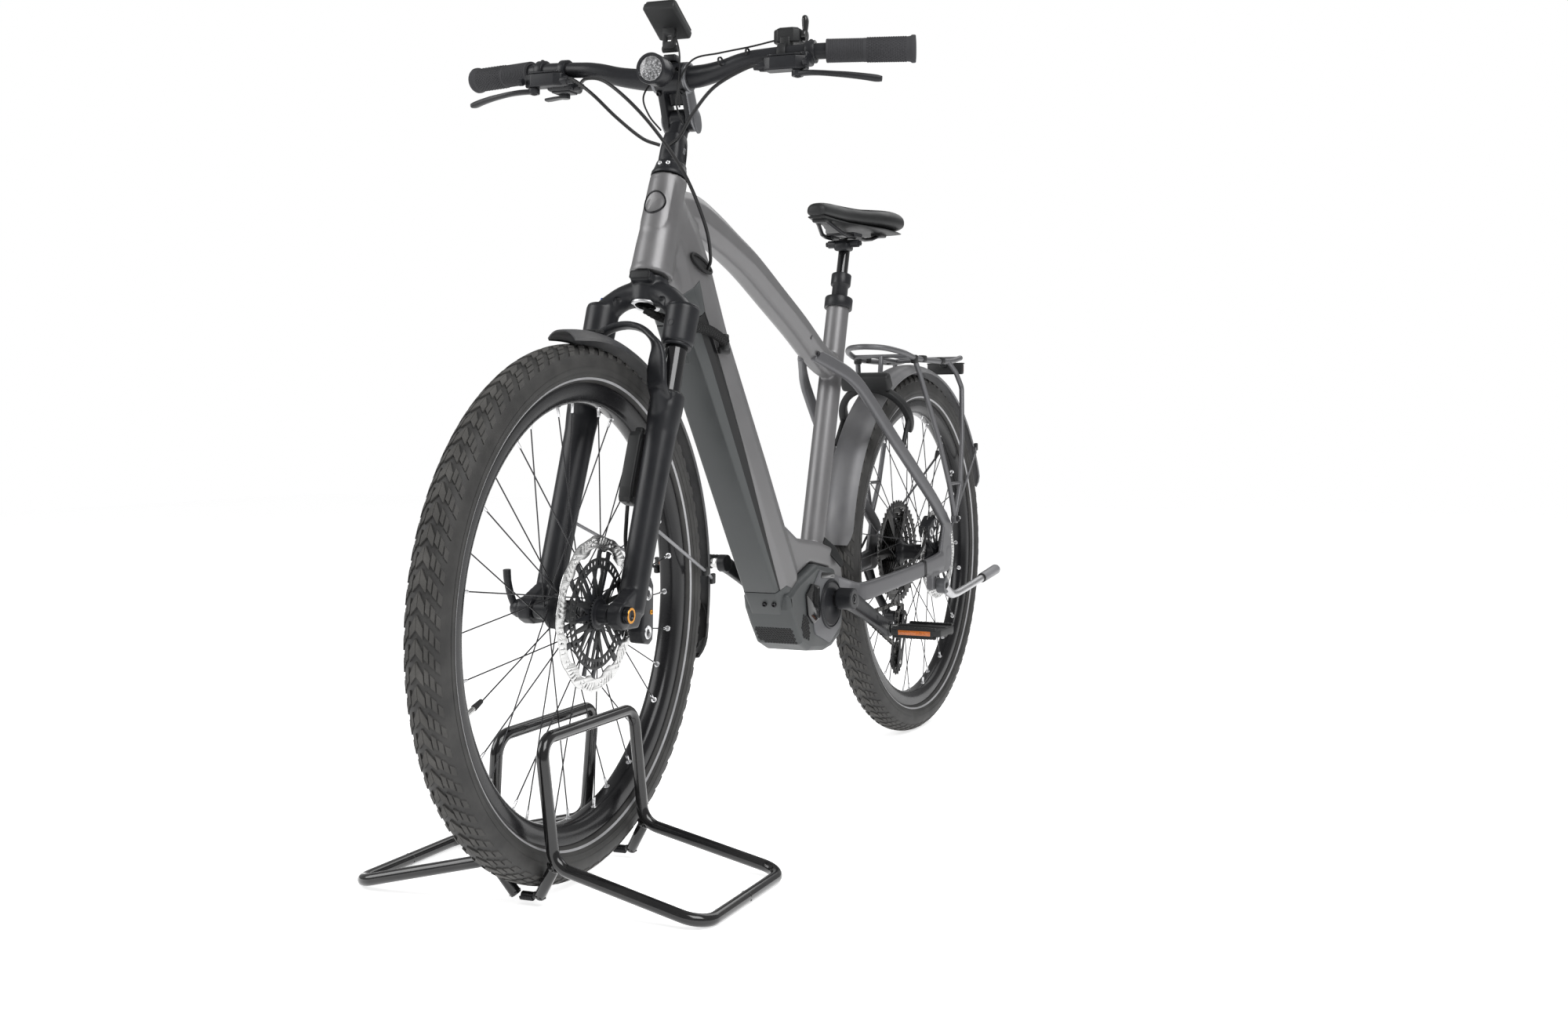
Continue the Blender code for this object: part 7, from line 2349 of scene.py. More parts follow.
def collar_rims():
    rims = []
    for side in (1, -1):
        rims.append(lathe(
            [
                (0.0156, -0.0008), (0.0190, -0.0008), (0.0222, -0.0006), (0.0226, 0.0008), (0.0218, 0.0020),
                (0.0200, 0.0024), (0.0188, 0.0014), (0.0156, 0.0014)
            ],
            leg_point(0.7572, side), HEAD_UP, 56,
        ).slot(0))
    knob = lathe(
        [
            (0, 0), (0.0105, 0), (0.0110, 0.0010), (0.0110, 0.0052), (0.0100, 0.0066), (0.0050, 0.0070),
            (0.0040, 0.0058), (0, 0.0056)
        ],
        leg_point(0.7585, -1), HEAD_UP, 40,
    ).slot(1)
    flap = block((0.020, 0.0050, 0.0050), (0, 0, 0), None, 0.0018, 3).slot(1)
    cap = lathe(
        [(0, 0), (0.0150, 0), (0.0152, 0.0012), (0.0140, 0.0032), (0.0080, 0.0038), (0.0062, 0.0026), (0, 0.0026)],
        leg_point(0.7585, 1), HEAD_UP, 40,
    ).slot(0)
    ring = lathe(
        [(0.0158, -0.0016), (0.0212, -0.0016), (0.0218, -0.0010), (0.0218, 0.0010), (0.0212, 0.0016), (0.0158, 0.0016)],
        leg_point(0.7036, -1), HEAD_UP, 56,
    ).slot(1)
    dark = lathe(
        [(0.0158, -0.0020), (0.0200, -0.0020), (0.0204, -0.0014), (0.0204, 0.0014), (0.0200, 0.0020), (0.0158, 0.0020)],
        leg_point(0.7040, 1), HEAD_UP, 56,
    ).slot(0)
    plug = screw_head(
        leg_point(0.729, 1) + HEAD_FORWARD * 0.0216 - SIDE * 0.004, (HEAD_FORWARD - SIDE * 0.16).normalized(),
        0.0058, 0.0012, 0.55
    ).slot(0)
    steer_ring = lathe(
        [(0.0150, -0.0010), (0.0176, -0.0016), (0.0205, -0.0012), (0.0212, 0.0006), (0.0205, 0.0030), (0.0150, 0.0030)],
        head_point(0.7640), HEAD_UP, 56,
    ).slot(2)
    plate_shape = plate(
        [soft_outline([(-0.0155, -0.0060), (-0.0155, 0.0060), (0.0155, 0.0060), (0.0155, -0.0060)], 0.0028)],
        -0.0012, 0.0012, 0.0006, 2
    )
    face = plate_shape.moved(turned(SIDE, HEAD_FORWARD * -1, HEAD_UP, head_point(0.7950, 0.0328))).slot(3)
    border_path = [
        head_point(0.7950, 0.0338, a) + HEAD_UP * b for a,
        b in soft_outline([(-0.0142, -0.0048), (-0.0142, 0.0048), (0.0142, 0.0048), (0.0142, -0.0048)], 0.0022)
    ]
    border = sweep(border_path, 0.00055, 6, cyclic=True).slot(4)
    return together(
        [
            knob, flap.moved(turned(HEAD_FORWARD, SIDE, HEAD_UP, leg_point(0.7678, -1))), cap, ring, dark, plug,
            steer_ring, face, border
        ] + rims
    )


piece("fork_bridge", crown_shape(), "satin", "front_end", at=FRONT, smooth=60)
piece(
    "fork_bridge_fittings", collar_rims(), ["satin", "blue", "alloy", "plastic", "bolt"], "front_end",
    at=FRONT
)
legs = together(rod(leg_point(0.528, side), leg_point(0.712, side), 0.0155, sides=56, edge=0.001) for side in (1, -1))
steerer = rod(head_point(0.772), head_point(0.955), 0.0142, sides=40)
piece("stanchions", legs + steerer, "stanchion", "front_end", ["fork_crown"], at=FRONT)


def leg_shape():
    body = []
    for side in (1, -1):
        rings = []
        for height, radius, flat, ahead in (
            (0.352, 0.0188, 0.96, 0.0060), (0.400, 0.0186, 1.0, 0.0060), (0.470, 0.0190, 1.0, 0.0060),
            (0.540, 0.0198, 1.0, 0.0060), (0.585, 0.0206, 1.0, 0.0060), (0.603, 0.0222, 1.02, 0.0063),
            (0.618, 0.0231, 1.03, 0.0064), (0.633, 0.0229, 1.02, 0.0062), (0.6385, 0.0221, 1.0, 0.0060),
        ):
            centre = leg_point(height, side, ahead)
            rings.append(
                [centre + SIDE * a + HEAD_FORWARD * b for a, b in superellipse(radius, radius * flat, 2.15, 40)]
            )
        body.append(loft(rings))
        end = [
            (1.130, 0.372), (1.150, 0.392), (1.190, 0.376), (1.212, 0.362),
            (1.212, 0.346), (1.196, 0.336), (1.155, 0.334),
        ]
        drop = plate([soft_outline(end, 0.006)], 0.0562, 0.0756, 0.003, 3)
        body.append(drop if side > 0 else drop.mirrored())
        boss = rod((1.195, 0.0562 * side, FRONT_AXLE.z), (1.195, 0.0768 * side, FRONT_AXLE.z), 0.0165, sides=40)
        body.append(boss)
        tab = rod(leg_point(0.470, side, -0.012, 0.060), leg_point(0.470, side, -0.0190, 0.060), 0.0062, sides=20)
        body.append(tab)
    route = [
        (0.624, 0.010, 0.0600), (0.637, 0.038, 0.0615), (0.655, 0.0425, 0.0590), (0.690, 0.0425, 0.0510),
        (0.712, 0.0415, 0.0300), (0.720, 0.0405, 0.0)
    ]
    path = [leg_point(h, 1, a, o) for h, a, o in route]
    path = path + [Vector((p.x, -p.y, p.z)) for p in path[-2::-1]]
    line = smooth_path(path, 6)
    rings = []
    for i, p in enumerate(line):
        run = (line[min(i + 1, len(line) - 1)] - line[max(i - 1, 0)]).normalized()
        share = min(1.0, max(0.0, (abs(p.y) - 0.040) / 0.018))
        broad = HEAD_FORWARD * (1 - 0.75 * share) + SIDE * (0.9 * share if p.y > 0 else -0.9 * share)
        broad = (broad - run * run.dot(broad)).normalized()
        thin = run.cross(broad).normalized()
        half, slim = 0.0090 + 0.0070 * share, 0.0046 + 0.0012 * share
        rings.append([p + broad * a + thin * b for a, b in superellipse(half, slim, 3.2, 24)])
    body.append(loft(rings))
    root = [leg_point(0.605, 1, 0.012, 0.061), leg_point(0.622, 1, 0.026, 0.0615), leg_point(0.6355, 1, 0.0375, 0.0612)]
    for side in (1, -1):
        points = [Vector((p.x, p.y * side, p.z)) for p in root]
        body.append(
            sweep(
                smooth_path(points, 4), 1.0, 20,
                radii=[0.0170, 0.0160, 0.0150, 0.0140, 0.0130, 0.0120, 0.0110, 0.0100, 0.0092]
            )
        )
    skin = fused(together(body), 0.0019, 5, 0.5)
    cutters = [rod(leg_point(0.455, side), leg_point(0.66, side), 0.0162, sides=48, edge=0) for side in (1, -1)]
    return cut(skin, cutters)


def leg_details():
    parts = []
    for side in (1, -1):
        parts.append(lathe(
            [
                (0.0158, -0.0030), (0.0200, -0.0030), (0.0207, -0.0020), (0.0205, 0.0006), (0.0190, 0.0014),
                (0.0172, 0.0018), (0.0158, 0.0012)
            ],
            leg_point(0.6385, side), HEAD_UP, 56,
        ).slot(0))
        parts.append(screw_head(leg_point(0.470, side, -0.0186, 0.060), -HEAD_FORWARD, 0.0050, 0.0026).slot(0))
        parts.append(lathe(
            [
                (0, -0.004), (0.0110, -0.004), (0.0112, 0.0), (0.0100, 0.0014), (0.0058, 0.0018), (0.0050, -0.0010),
                (0, -0.0010)
            ],
            leg_point(0.349, side, 0.006), -HEAD_UP, 32,
        ).slot(0))
    return together(parts)


piece("fork_legs", leg_shape(), "satin", "fork_lowers", ["fork_lowers"], at=FRONT, smooth=60)
piece("fork_leg_fittings", leg_details(), ["rubber"], "fork_lowers", at=FRONT)


def front_guard_stays():
    parts = []
    for side in (1, -1):
        a = on_wheel(FRONT_AXLE, 0.3590, 178, 0.0305 * side)
        b = on_wheel(FRONT_AXLE, 0.3300, 176, 0.0385 * side)
        c = leg_point(0.470, side, -0.0175, 0.060)
        parts.append(rod(a, b, 0.0023, sides=14).slot(0))
        parts.append(rod(b, c, 0.0023, sides=14).slot(0))
        parts.append(ball(b, 0.0024, 12).slot(0))
        parts.append(block((0.012, 0.006, 0.016), a + SIDE * (0.001 * side), None, 0.002, 3).slot(1))
        parts.append(block((0.013, 0.008, 0.013), b + (c - b).normalized() * 0.012, None, 0.0025, 3).slot(1))
    clip = on_wheel(FRONT_AXLE, 0.3655, 97, 0)
    parts.append(block((0.024, 0.020, 0.0040), clip + Vector((0, 0, 0.0026)), None, 0.0012, 2).slot(1))
    parts.append(block((0.016, 0.006, 0.012), on_wheel(FRONT_AXLE, 0.3630, 118, 0.0310), None, 0.002, 3).slot(1))
    return together(parts)


def guard_bottom():
    return guard_shape(FRONT_AXLE, 184.0, 197.0, 0.3666, 1.5, 0.0032)


piece(
    "front_guard", guard_shape(FRONT_AXLE, 84.0, 196.0), "mudguard", "fork_lowers",
    ["front_mudguard"], at=FRONT, smooth=50
)
piece("front_guard_ends", guard_bottom(), "rubber", "fork_lowers", at=FRONT, smooth=50)
piece("front_guard_stays", front_guard_stays(), ["cable_grey", "plastic"], "fork_lowers", at=FRONT)


def abs_shape():
    outline = [
        (-0.0150, -0.044), (-0.0110, -0.0495), (0.0110, -0.0495), (0.0150, -0.044), (0.0168, -0.030),
        (0.0168, 0.042), (0.0130, 0.0495), (-0.0110, 0.0495), (-0.0168, 0.040), (-0.0168, -0.032)
    ]
    core = plate([soft_outline(outline, 0.003)], -0.0088, 0.0088, 0.0022, 3)
    face = plate([soft_outline([(a * 0.72, b * 0.84) for a, b in outline], 0.003)], 0.0080, 0.0093, 0.0005, 2)
    where = turned(HEAD_FORWARD, SIDE * -1, HEAD_UP, head_point(0.537, 0.006, 0.0313))
    face_back = Shape(face.points * np.array((1, -1, 1)), face.faces, face.slots)
    lug = block((0.014, 0.012, 0.016), (0.0, 0.0, 0.050), None, 0.003, 3)
    return together([core, outward(face_back), lug]).moved(where)


def abs_lead():
    start = head_point(0.488, 0.006, 0.0313)
    return wire(
        [
            start, head_point(0.470, 0.004, 0.0325), head_point(0.440, -0.004, 0.0335),
            head_point(0.412, -0.018, 0.0400), (1.112, 0.0500, 0.398)
        ],
        0.0026
    )


piece("sensor_unit", abs_shape(), "plastic", "fork_lowers", ["abs_unit"], at=FRONT)
piece("sensor_lead", abs_lead(), "cable", "fork_lowers", at=FRONT)


def front_caliper_shape():
    outline = [
        (-0.0150, -0.040), (-0.0060, -0.0455), (0.0110, -0.0420), (0.0162, -0.026), (0.0120, 0.004),
        (0.0162, 0.030), (0.0090, 0.0450), (-0.0080, 0.0455), (-0.0160, 0.034), (-0.0165, -0.026)
    ]
    centre = Vector((1.103, 0, 0.350))
    outer = plate([soft_outline([(centre.x + a, centre.z + b) for a, b in outline], 0.004)], 0.0392, 0.0618, 0.003, 3)
    inner = plate(
        [soft_outline([(centre.x + a * 0.9, centre.z + b * 0.86) for a, b in outline], 0.004)], 0.0268, 0.0298,
        0.001, 2
    )
    bridge = block((0.0120, 0.0300, 0.060), centre + Vector((-0.0105, 0.0440, 0)), None, 0.003, 3)
    arm = block((0.046, 0.0150, 0.020), centre + Vector((0.020, 0.0520, 0.034)), None, 0.004, 3)
    return outward(outer) + inner + bridge + arm


def caliper_rings():
    parts = []
    for z in (0.322, 0.374):
        parts.append(lathe(
            [
                (0.0045, 0), (0.0088, 0), (0.0092, 0.0008), (0.0092, 0.0022), (0.0084, 0.0030), (0.0060, 0.0030),
                (0.0045, 0.0020)
            ],
            (1.105, 0.0608, z), SIDE, 36,
        ).slot(0))
        parts.append(lathe([(0, 0), (0.0046, 0), (0.0046, 0.0012), (0, 0.0012)], (1.105, 0.0608, z), SIDE, 24).slot(1))
    parts.append(screw_head(Vector((1.128, 0.0590, 0.388)), SIDE, 0.0048, 0.0030).slot(1))
    parts.append(screw_head(Vector((1.094, 0.0610, 0.348)), SIDE, 0.0036, 0.0020).slot(2))
    return together(parts)


piece("front_caliper_body", front_caliper_shape(), "satin", "fork_lowers", ["front_caliper"], at=FRONT)
piece("front_caliper_rings", caliper_rings(), ["bare", "bolt", "amber_metal"], "fork_lowers", at=FRONT)


def axle_shape():
    z = FRONT_AXLE.z
    shaft = rod((1.195, -0.078, z), (1.195, 0.078, z), 0.0074, sides=28).slot(1)
    left = lathe(
        [
            (0, 0.0766), (0.0112, 0.0766), (0.0114, 0.0776), (0.0114, 0.0832), (0.0104, 0.0848), (0.0070, 0.0850),
            (0.0052, 0.0830), (0, 0.0830)
        ],
        (1.195, 0, z), SIDE, 40
    ).slot(1)
    amber = lathe(
        [(0.0068, 0.0838), (0.0100, 0.0838), (0.0104, 0.0846), (0.0100, 0.0853), (0.0072, 0.0853)], (1.195, 0, z),
        SIDE, 40
    ).slot(2)
    right = lathe(
        [
            (0, 0.0766), (0.0122, 0.0766), (0.0125, 0.0778), (0.0125, 0.0830), (0.0112, 0.0846), (0.0100, 0.0885),
            (0.0088, 0.0904), (0, 0.0904)
        ],
        (1.195, 0, z), -SIDE, 40
    ).slot(0)
    lever = sweep(
        smooth_path(
            [
                FRONT_AXLE + Vector(p)
                for p in (
                    (0, -0.0862, 0), (0.0045, -0.0885, 0.010), (0.0100, -0.0895, 0.022), (0.0160, -0.0895, 0.038),
                    (0.0180, -0.0895, 0.052)
                )
            ],
            5
        ),
        1.0, 18, radii=[0.0050] * 16 + [0.0052] * 5,
    ).slot(0)
    return together([shaft, left, amber, right, lever])


piece("thru_axle", axle_shape(), ["satin", "bolt", "amber_metal"], "front_axle", ["front_axle"], at=FRONT)


# Stem, bar and controls

STEM_JOINT = Vector((0.897, 0, 1.0385))
BAR_CLAMP = Vector((0.925, 0, 1.095))
BAR_ROUTE = [
    (0.925, 0, 1.095), (0.925, 0.040, 1.095), (0.932, 0.080, 1.100), (0.936, 0.115, 1.109), (0.935, 0.150, 1.114),
    (0.925, 0.230, 1.118), (0.890, 0.350, 1.120)
]
BAR_END_A, BAR_END_B = Vector((0.925, 0.230, 1.118)), Vector((0.890, 0.350, 1.120))
BAR_MID_A, BAR_MID_B = Vector((0.935, 0.150, 1.114)), Vector((0.925, 0.230, 1.118))


def both_sides(shape):
    return shape + shape.mirrored()


def headset_cover():
    rise = 1 / math.sin(HEAD_ANGLE)
    cover_profile = [
        (0.0148, 0.9498), (0.0262, 0.9498), (0.0267, 0.9506), (0.0262, 0.9550), (0.0246, 0.9572),
        (0.0228, 0.9650), (0.0222, 0.9664), (0.0222, 0.9684), (0.0214, 0.9694), (0.0148, 0.9694),
    ]
    ring_profile = [(0.0150, 0.9694), (0.0206, 0.9694), (0.0206, 0.9718), (0.0198, 0.9724), (0.0150, 0.9724)]
    cover = lathe([(r, (z - 0.9498) * rise) for r, z in cover_profile], head_point(0.9498), HEAD_UP, 64).slot(0)
    ring = lathe([(r, (z - 0.9498) * rise) for r, z in ring_profile], head_point(0.9498), HEAD_UP, 64).slot(0)
    post = []
    for height, wide, deep, ahead in (
        (0.9700, 0.0182, 0.0190, 0), (0.9760, 0.0184, 0.0192, 0), (0.9900, 0.0180, 0.0190, 0.0008),
        (1.0040, 0.0165, 0.0180, 0.0016), (1.0120, 0.0150, 0.0165, 0.0022)
    ):
        centre = head_point(height, ahead)
        post.append([centre + SIDE * a + HEAD_FORWARD * b for a, b in superellipse(wide, deep, 2.8, 40)])
    upper = []
    axis = (STEM_JOINT - head_point(1.0)).normalized()
    ahead = SIDE.cross(axis).normalized()
    if ahead.x < 0:
        ahead = -ahead
    for t, wide, deep in ((0.0, 0.0128, 0.0160), (0.35, 0.0122, 0.0150), (0.7, 0.0118, 0.0140), (1.0, 0.0116, 0.0130)):
        centre = head_point(1.0).lerp(STEM_JOINT, t)
        upper.append([centre + SIDE * a + ahead * b for a, b in superellipse(wide, deep, 3.0, 32)])
    knuckle = rod(STEM_JOINT - SIDE * 0.0119, STEM_JOINT + SIDE * 0.0119, 0.0168, sides=48)
    body = fused(together([loft(post), loft(upper), knuckle]), 0.0011, 4, 0.5)
    pocket = plate(
        [soft_outline([(-0.008, -0.012), (0.008, -0.014), (0.004, 0.015), (-0.003, 0.013)], 0.003)], 0.0160, 0.0240,
        0.0004
    )
    where = turned(HEAD_FORWARD, SIDE, HEAD_UP, head_point(0.9880))
    skin = cut(body, [pocket.moved(where)]).slot(0)
    button = block((0.0060, 0.0040, 0.0100), (0, 0, 0), None, 0.0015, 3).moved(
        turned(HEAD_FORWARD, SIDE, HEAD_UP, head_point(0.9900, 0.001, 0.0160))
    ).slot(1)
    bolts = []
    for side, height in ((0.007, 0.9630), (-0.007, 0.9630)):
        out = (HEAD_FORWARD + SIDE * (side * 22)).normalized()
        bolts.append(screw_head(head_point(height, 0.0222, side * 0.9), out, 0.0034, 0.0022, 0.5).slot(2))
    return together([cover, ring, skin, button] + bolts)


def outer_faces(shape, reach):
    """The same shape with its outermost side faces in the first slot and all else in the second."""
    slots = []
    for face in shape.faces:
        slots.append(0 if min(abs(shape.points[i][1]) for i in face) > reach else 1)
    return Shape(shape.points, shape.faces, slots)


def stem_arm_shape():
    run = (BAR_CLAMP - STEM_JOINT).normalized()
    ahead = Vector((run.z, 0, -run.x))
    parts = []
    for side in (1, -1):
        rings = []
        for t, wide, deep, y in (
            (-0.02, 0.0062, 0.0150, 0.0189), (0.12, 0.0064, 0.0160, 0.0189), (0.35, 0.0062, 0.0150, 0.0186),
            (0.62, 0.0062, 0.0146, 0.0184), (0.85, 0.0066, 0.0160, 0.0180), (1.0, 0.0070, 0.0170, 0.0176)
        ):
            centre = STEM_JOINT.lerp(BAR_CLAMP, t) + SIDE * (y * side)
            rings.append([centre + SIDE * a + ahead * b for a, b in superellipse(wide, deep, 3.6, 32)])
        parts.append(loft(rings))
        parts.append(
            rod(STEM_JOINT + SIDE * (0.0125 * side), STEM_JOINT + SIDE * (0.0254 * side), 0.0163, sides=48, edge=0.0012)
        )
    parts.append(rod(BAR_CLAMP - SIDE * 0.0280, BAR_CLAMP + SIDE * 0.0280, 0.0213, sides=56, edge=0.0014))
    web = STEM_JOINT.lerp(BAR_CLAMP, 0.66) - ahead * 0.0060
    parts.append(block((0.0080, 0.0300, 0.040), (0, 0, 0), None, 0.002).moved(turned(ahead, SIDE * -1, run, web)))
    skin = fused(together(parts), 0.0013, 4, 0.5)
    skin = cut(
        skin,
        [
            rod(BAR_CLAMP - SIDE * 0.04, BAR_CLAMP + SIDE * 0.04, 0.0161, sides=48, edge=0),
            rod(STEM_JOINT - SIDE * 0.0124, STEM_JOINT + SIDE * 0.0124, 0.0178, sides=48, edge=0)
        ]
    )
    return outer_faces(skin, 0.022)


def stem_arm_fittings():
    run = (BAR_CLAMP - STEM_JOINT).normalized()
    ahead = Vector((run.z, 0, -run.x))
    parts = []
    for side in (1, -1):
        rings = []
        for h, k in ((0.0245, 1.0), (0.0262, 0.98), (0.0272, 0.86), (0.0275, 0.5)):
            centre = STEM_JOINT + SIDE * (h * side) - run * 0.002
            rings.append([centre + run * a * k + ahead * b * k for a, b in superellipse(0.0178, 0.0118, 2.1, 36)])
        cap = loft(rings)
        parts.append(outward(cap).slot(0))
    for y in (0.0185, -0.0185):
        for lift in (0.0165, -0.0165):
            parts.append(screw_head(BAR_CLAMP + ahead * 0.0168 + run * lift + SIDE * y, ahead, 0.0040, 0.0030).slot(1))
    parts.append(block((0.016, 0.019, 0.010), BAR_CLAMP + Vector((0.006, 0, 0.0265)), None, 0.002).slot(2))
    return together(parts)


piece(
    "stem_foot", headset_cover(), ["satin", "grey_cap", "bare"], "front_end", ["stem_base"],
    at=FRONT, smooth=50
)
piece("stem_swing", stem_arm_shape(), ["stem", "satin"], "cockpit", ["stem_arm"], at=FRONT, smooth=60)
piece(
    "stem_swing_fittings", stem_arm_fittings(), ["grey_cap", "bolt", "satin"], "cockpit",
    at=FRONT
)


def bar_shape():
    route = [Vector((x, -y, z)) for x, y, z in BAR_ROUTE[:0:-1]] + [Vector(p) for p in BAR_ROUTE]
    line = smooth_path(route, 8)
    radii = []
    for p in line:
        y = abs(p.y)
        radii.append(0.0159 - 0.0048 * min(1, max(0, (y - 0.042) / 0.100)) ** 0.8)
    return sweep(line, 1.0, 40, radii=radii)


piece("bar", bar_shape(), "satin", "cockpit", ["handlebar"], at=FRONT, smooth=50)


def grip_shape():
    run = (BAR_END_B - BAR_END_A).normalized()
    length = (BAR_END_B - BAR_END_A).length
    profile = [(0.0119, 0.040), (0.0158, 0.040), (0.0163, 0.046)]
    for k in range(20):
        a = 0.075 + k * 0.0195
        profile += [(0.0163, a - 0.004), (0.0158, a - 0.002), (0.0158, a + 0.002), (0.0163, a + 0.004)]
    profile += [
        (0.0163, 0.50), (0.0166, 0.70), (0.0168, 0.93), (0.0174, 0.965), (0.0188, 0.982), (0.0190, 0.992),
        (0.0190, 1.014), (0.0182, 1.026), (0.0120, 1.030), (0.0119, 1.02)
    ]
    points = [(r, h * length) for r, h in profile]
    body = lathe(points, BAR_END_A, run, 64)
    bumps = []
    frame = place(BAR_END_A, run)
    for row in range(17):
        h = (0.50 + row * 0.026) * length
        for k in range(26):
            angle = math.tau * (k + 0.5 * (row % 2)) / 26
            radius = 0.0165 + 0.0003 * row / 17
            ring = []
            for s in range(4):
                q = math.tau * s / 4
                ring.append((0.0015 * math.cos(q), 0.0016 * math.sin(q)))
            low = [
                Vector((radius * math.cos(angle + a / radius), radius * math.sin(angle + a / radius), h + b)) for a,
                b in ring
            ]
            high = [
                Vector(
                    (
                        (radius + 0.0007) * math.cos(angle + a * 0.6 / radius),
                        (radius + 0.0007) * math.sin(angle + a * 0.6 / radius), h + b * 0.6
                    )
                ) for a,
                b in ring
            ]
            bumps.append(loft([low, high]).moved(frame))
    end = lathe([(0, 1.012), (0.0118, 1.012), (0.0122, 1.020), (0.0118, 1.0300), (0, 1.0305)], (0, 0, 0), UP, 40)
    end = Shape(end.points * np.array((1, 1, length)), end.faces, end.slots).moved(frame)
    return together([body, end] + bumps)


grip = grip_shape()
piece("grip_sleeve_left", grip, "grip", "cockpit", ["grip_left"], at=FRONT, smooth=35)
piece("grip_sleeve_right", grip.mirrored(), "grip", "cockpit", ["grip_right"], at=FRONT, smooth=35)


def band(a, b, t, radius, length):
    """A clamp band round the bar."""
    run = (b - a).normalized()
    centre = a.lerp(b, t)
    return lathe(
        [
            (0.0112, -length / 2), (radius - 0.0006, -length / 2), (radius, -length / 2 + 0.0008),
            (radius, length / 2 - 0.0008), (radius - 0.0006, length / 2), (0.0112, length / 2)
        ],
        centre, run, 44,
    )


def brake_body():
    clamp = band(BAR_MID_A, BAR_MID_B, 0.80, 0.0158, 0.0135)
    neck = block((0.030, 0.0135, 0.017), (0.945, 0.214, 1.104), None, 0.004, 3)
    outline = [
        (-0.0125, -0.030), (0.0080, -0.031), (0.0128, -0.020), (0.0128, 0.018), (0.0060, 0.031), (-0.0080, 0.031),
        (-0.0128, 0.022), (-0.0128, -0.022)
    ]
    core = plate([soft_outline(outline, 0.003)], -0.0105, 0.0085, 0.0025, 3)
    lid = plate([soft_outline([(a * 0.86, b * 0.88) for a, b in outline], 0.003)], 0.0090, 0.0112, 0.0007, 2)
    where = turned((1, 0, 0), (0, 0, 1), (0, 1, 0), (0.960, 0.190, 1.097))
    flip = lambda s: outward(s.moved(where))
    nose = lathe(
        [(0, 0), (0.0072, 0), (0.0076, 0.0012), (0.0070, 0.0100), (0.0052, 0.0112), (0.0044, 0.0190), (0, 0.0192)],
        (0.962, 0.162, 1.094), -SIDE, 28
    )
    nose = nose + lathe([(0, 0), (0.0052, 0), (0.0054, 0.003), (0, 0.003)], (0.962, 0.150, 1.094), -SIDE, 6)
    adjuster = lathe(
        [(0, 0), (0.0052, 0), (0.0055, 0.001), (0.0055, 0.006), (0, 0.007)], (0.972, 0.2205, 1.094), SIDE, 20
    )
    lug = rod((0.962, 0.208, 1.0862), (0.962, 0.208, 1.0945), 0.0092, sides=32)
    skin = bevelled(clamp + neck, 0.0004, 1, 50)
    return together([skin, flip(core), flip(lid), nose, adjuster, lug])


def brake_screws():
    parts = []
    for x, y in ((0.951, 0.166), (0.968, 0.168), (0.951, 0.213), (0.966, 0.214)):
        parts.append(screw_head(Vector((x, y, 1.1078)), UP, 0.0021, 0.0012, 0.6))
    parts.append(screw_head(Vector((0.9285, 0.214, 1.1310)), Vector((-0.5, 0, 0.85)).normalized(), 0.0036, 0.0024))
    parts.append(screw_head(Vector((0.962, 0.208, 1.0770)), -UP, 0.0046, 0.0012))
    return together(parts)


def blade_shape():
    hub = lathe(
        [(0, 1.0772), (0.0078, 1.0772), (0.0084, 1.0780), (0.0084, 1.0848), (0.0078, 1.0854), (0, 1.0854)],
        (0.962, 0.208, 0), UP, 36
    )
    stations = [
        ((0.962, 0.206, 1.0812), 0.0036, 0.0060), ((0.966, 0.226, 1.0804), 0.0037, 0.0064),
        ((0.968, 0.243, 1.0788), 0.0036, 0.0052),
        ((0.966, 0.262, 1.0768), 0.0038, 0.0046), ((0.961, 0.282, 1.0750), 0.0042, 0.0045),
        ((0.954, 0.302, 1.0728), 0.0045, 0.0048),
        ((0.948, 0.317, 1.0708), 0.0047, 0.0051), ((0.9462, 0.3245, 1.0700), 0.0036, 0.0042),
    ]
    route = [Vector(s[0]) for s in stations]
    line = smooth_path(route, 5)
    sizes = smooth_path([(s[1], s[2], 0) for s in stations], 5)
    rings = []
    for i, p in enumerate(line):
        run = (line[min(i + 1, len(line) - 1)] - line[max(i - 1, 0)]).normalized()
        across = UP.cross(run).normalized()
        up = run.cross(across).normalized()
        rings.append([p + across * a + up * b for a, b in superellipse(sizes[i][1], sizes[i][0], 2.6, 24)])
    return hub + loft(rings)


body_shape = brake_body()
screws = brake_screws()
blade = blade_shape()
shifter = band(BAR_MID_A, BAR_MID_B, 0.28, 0.0155, 0.0120).mirrored()
pod = bevelled(block((0.040, 0.042, 0.018), (0.934, -0.173, 1.0915), None, 0.006, 4), 0.0004, 1, 60)
pod_lid = block((0.026, 0.030, 0.004), (0.936, -0.172, 1.0822), None, 0.0018, 3)
pod_nose = lathe(
    [(0, 0), (0.0062, 0), (0.0066, 0.001), (0.0058, 0.009), (0.0042, 0.010), (0.0038, 0.014), (0, 0.0142)],
    (0.938, -0.1535, 1.0890), SIDE, 24
)
piece("master_left", body_shape, "satin", "cockpit", ["brake_body_left"], at=FRONT)
piece(
    "master_right", body_shape.mirrored() + shifter + pod + pod_lid + pod_nose, "satin", "cockpit",
    ["brake_body_right"], at=FRONT
)
piece("master_screws", both_sides(screws), "bolt", "cockpit", at=FRONT)
piece("lever_left", blade, "satin", "brake_blade_left", ["brake_blade_left"], at=FRONT)
piece("lever_right", blade.mirrored(), "satin", "brake_blade_right", ["brake_blade_right"], at=FRONT)


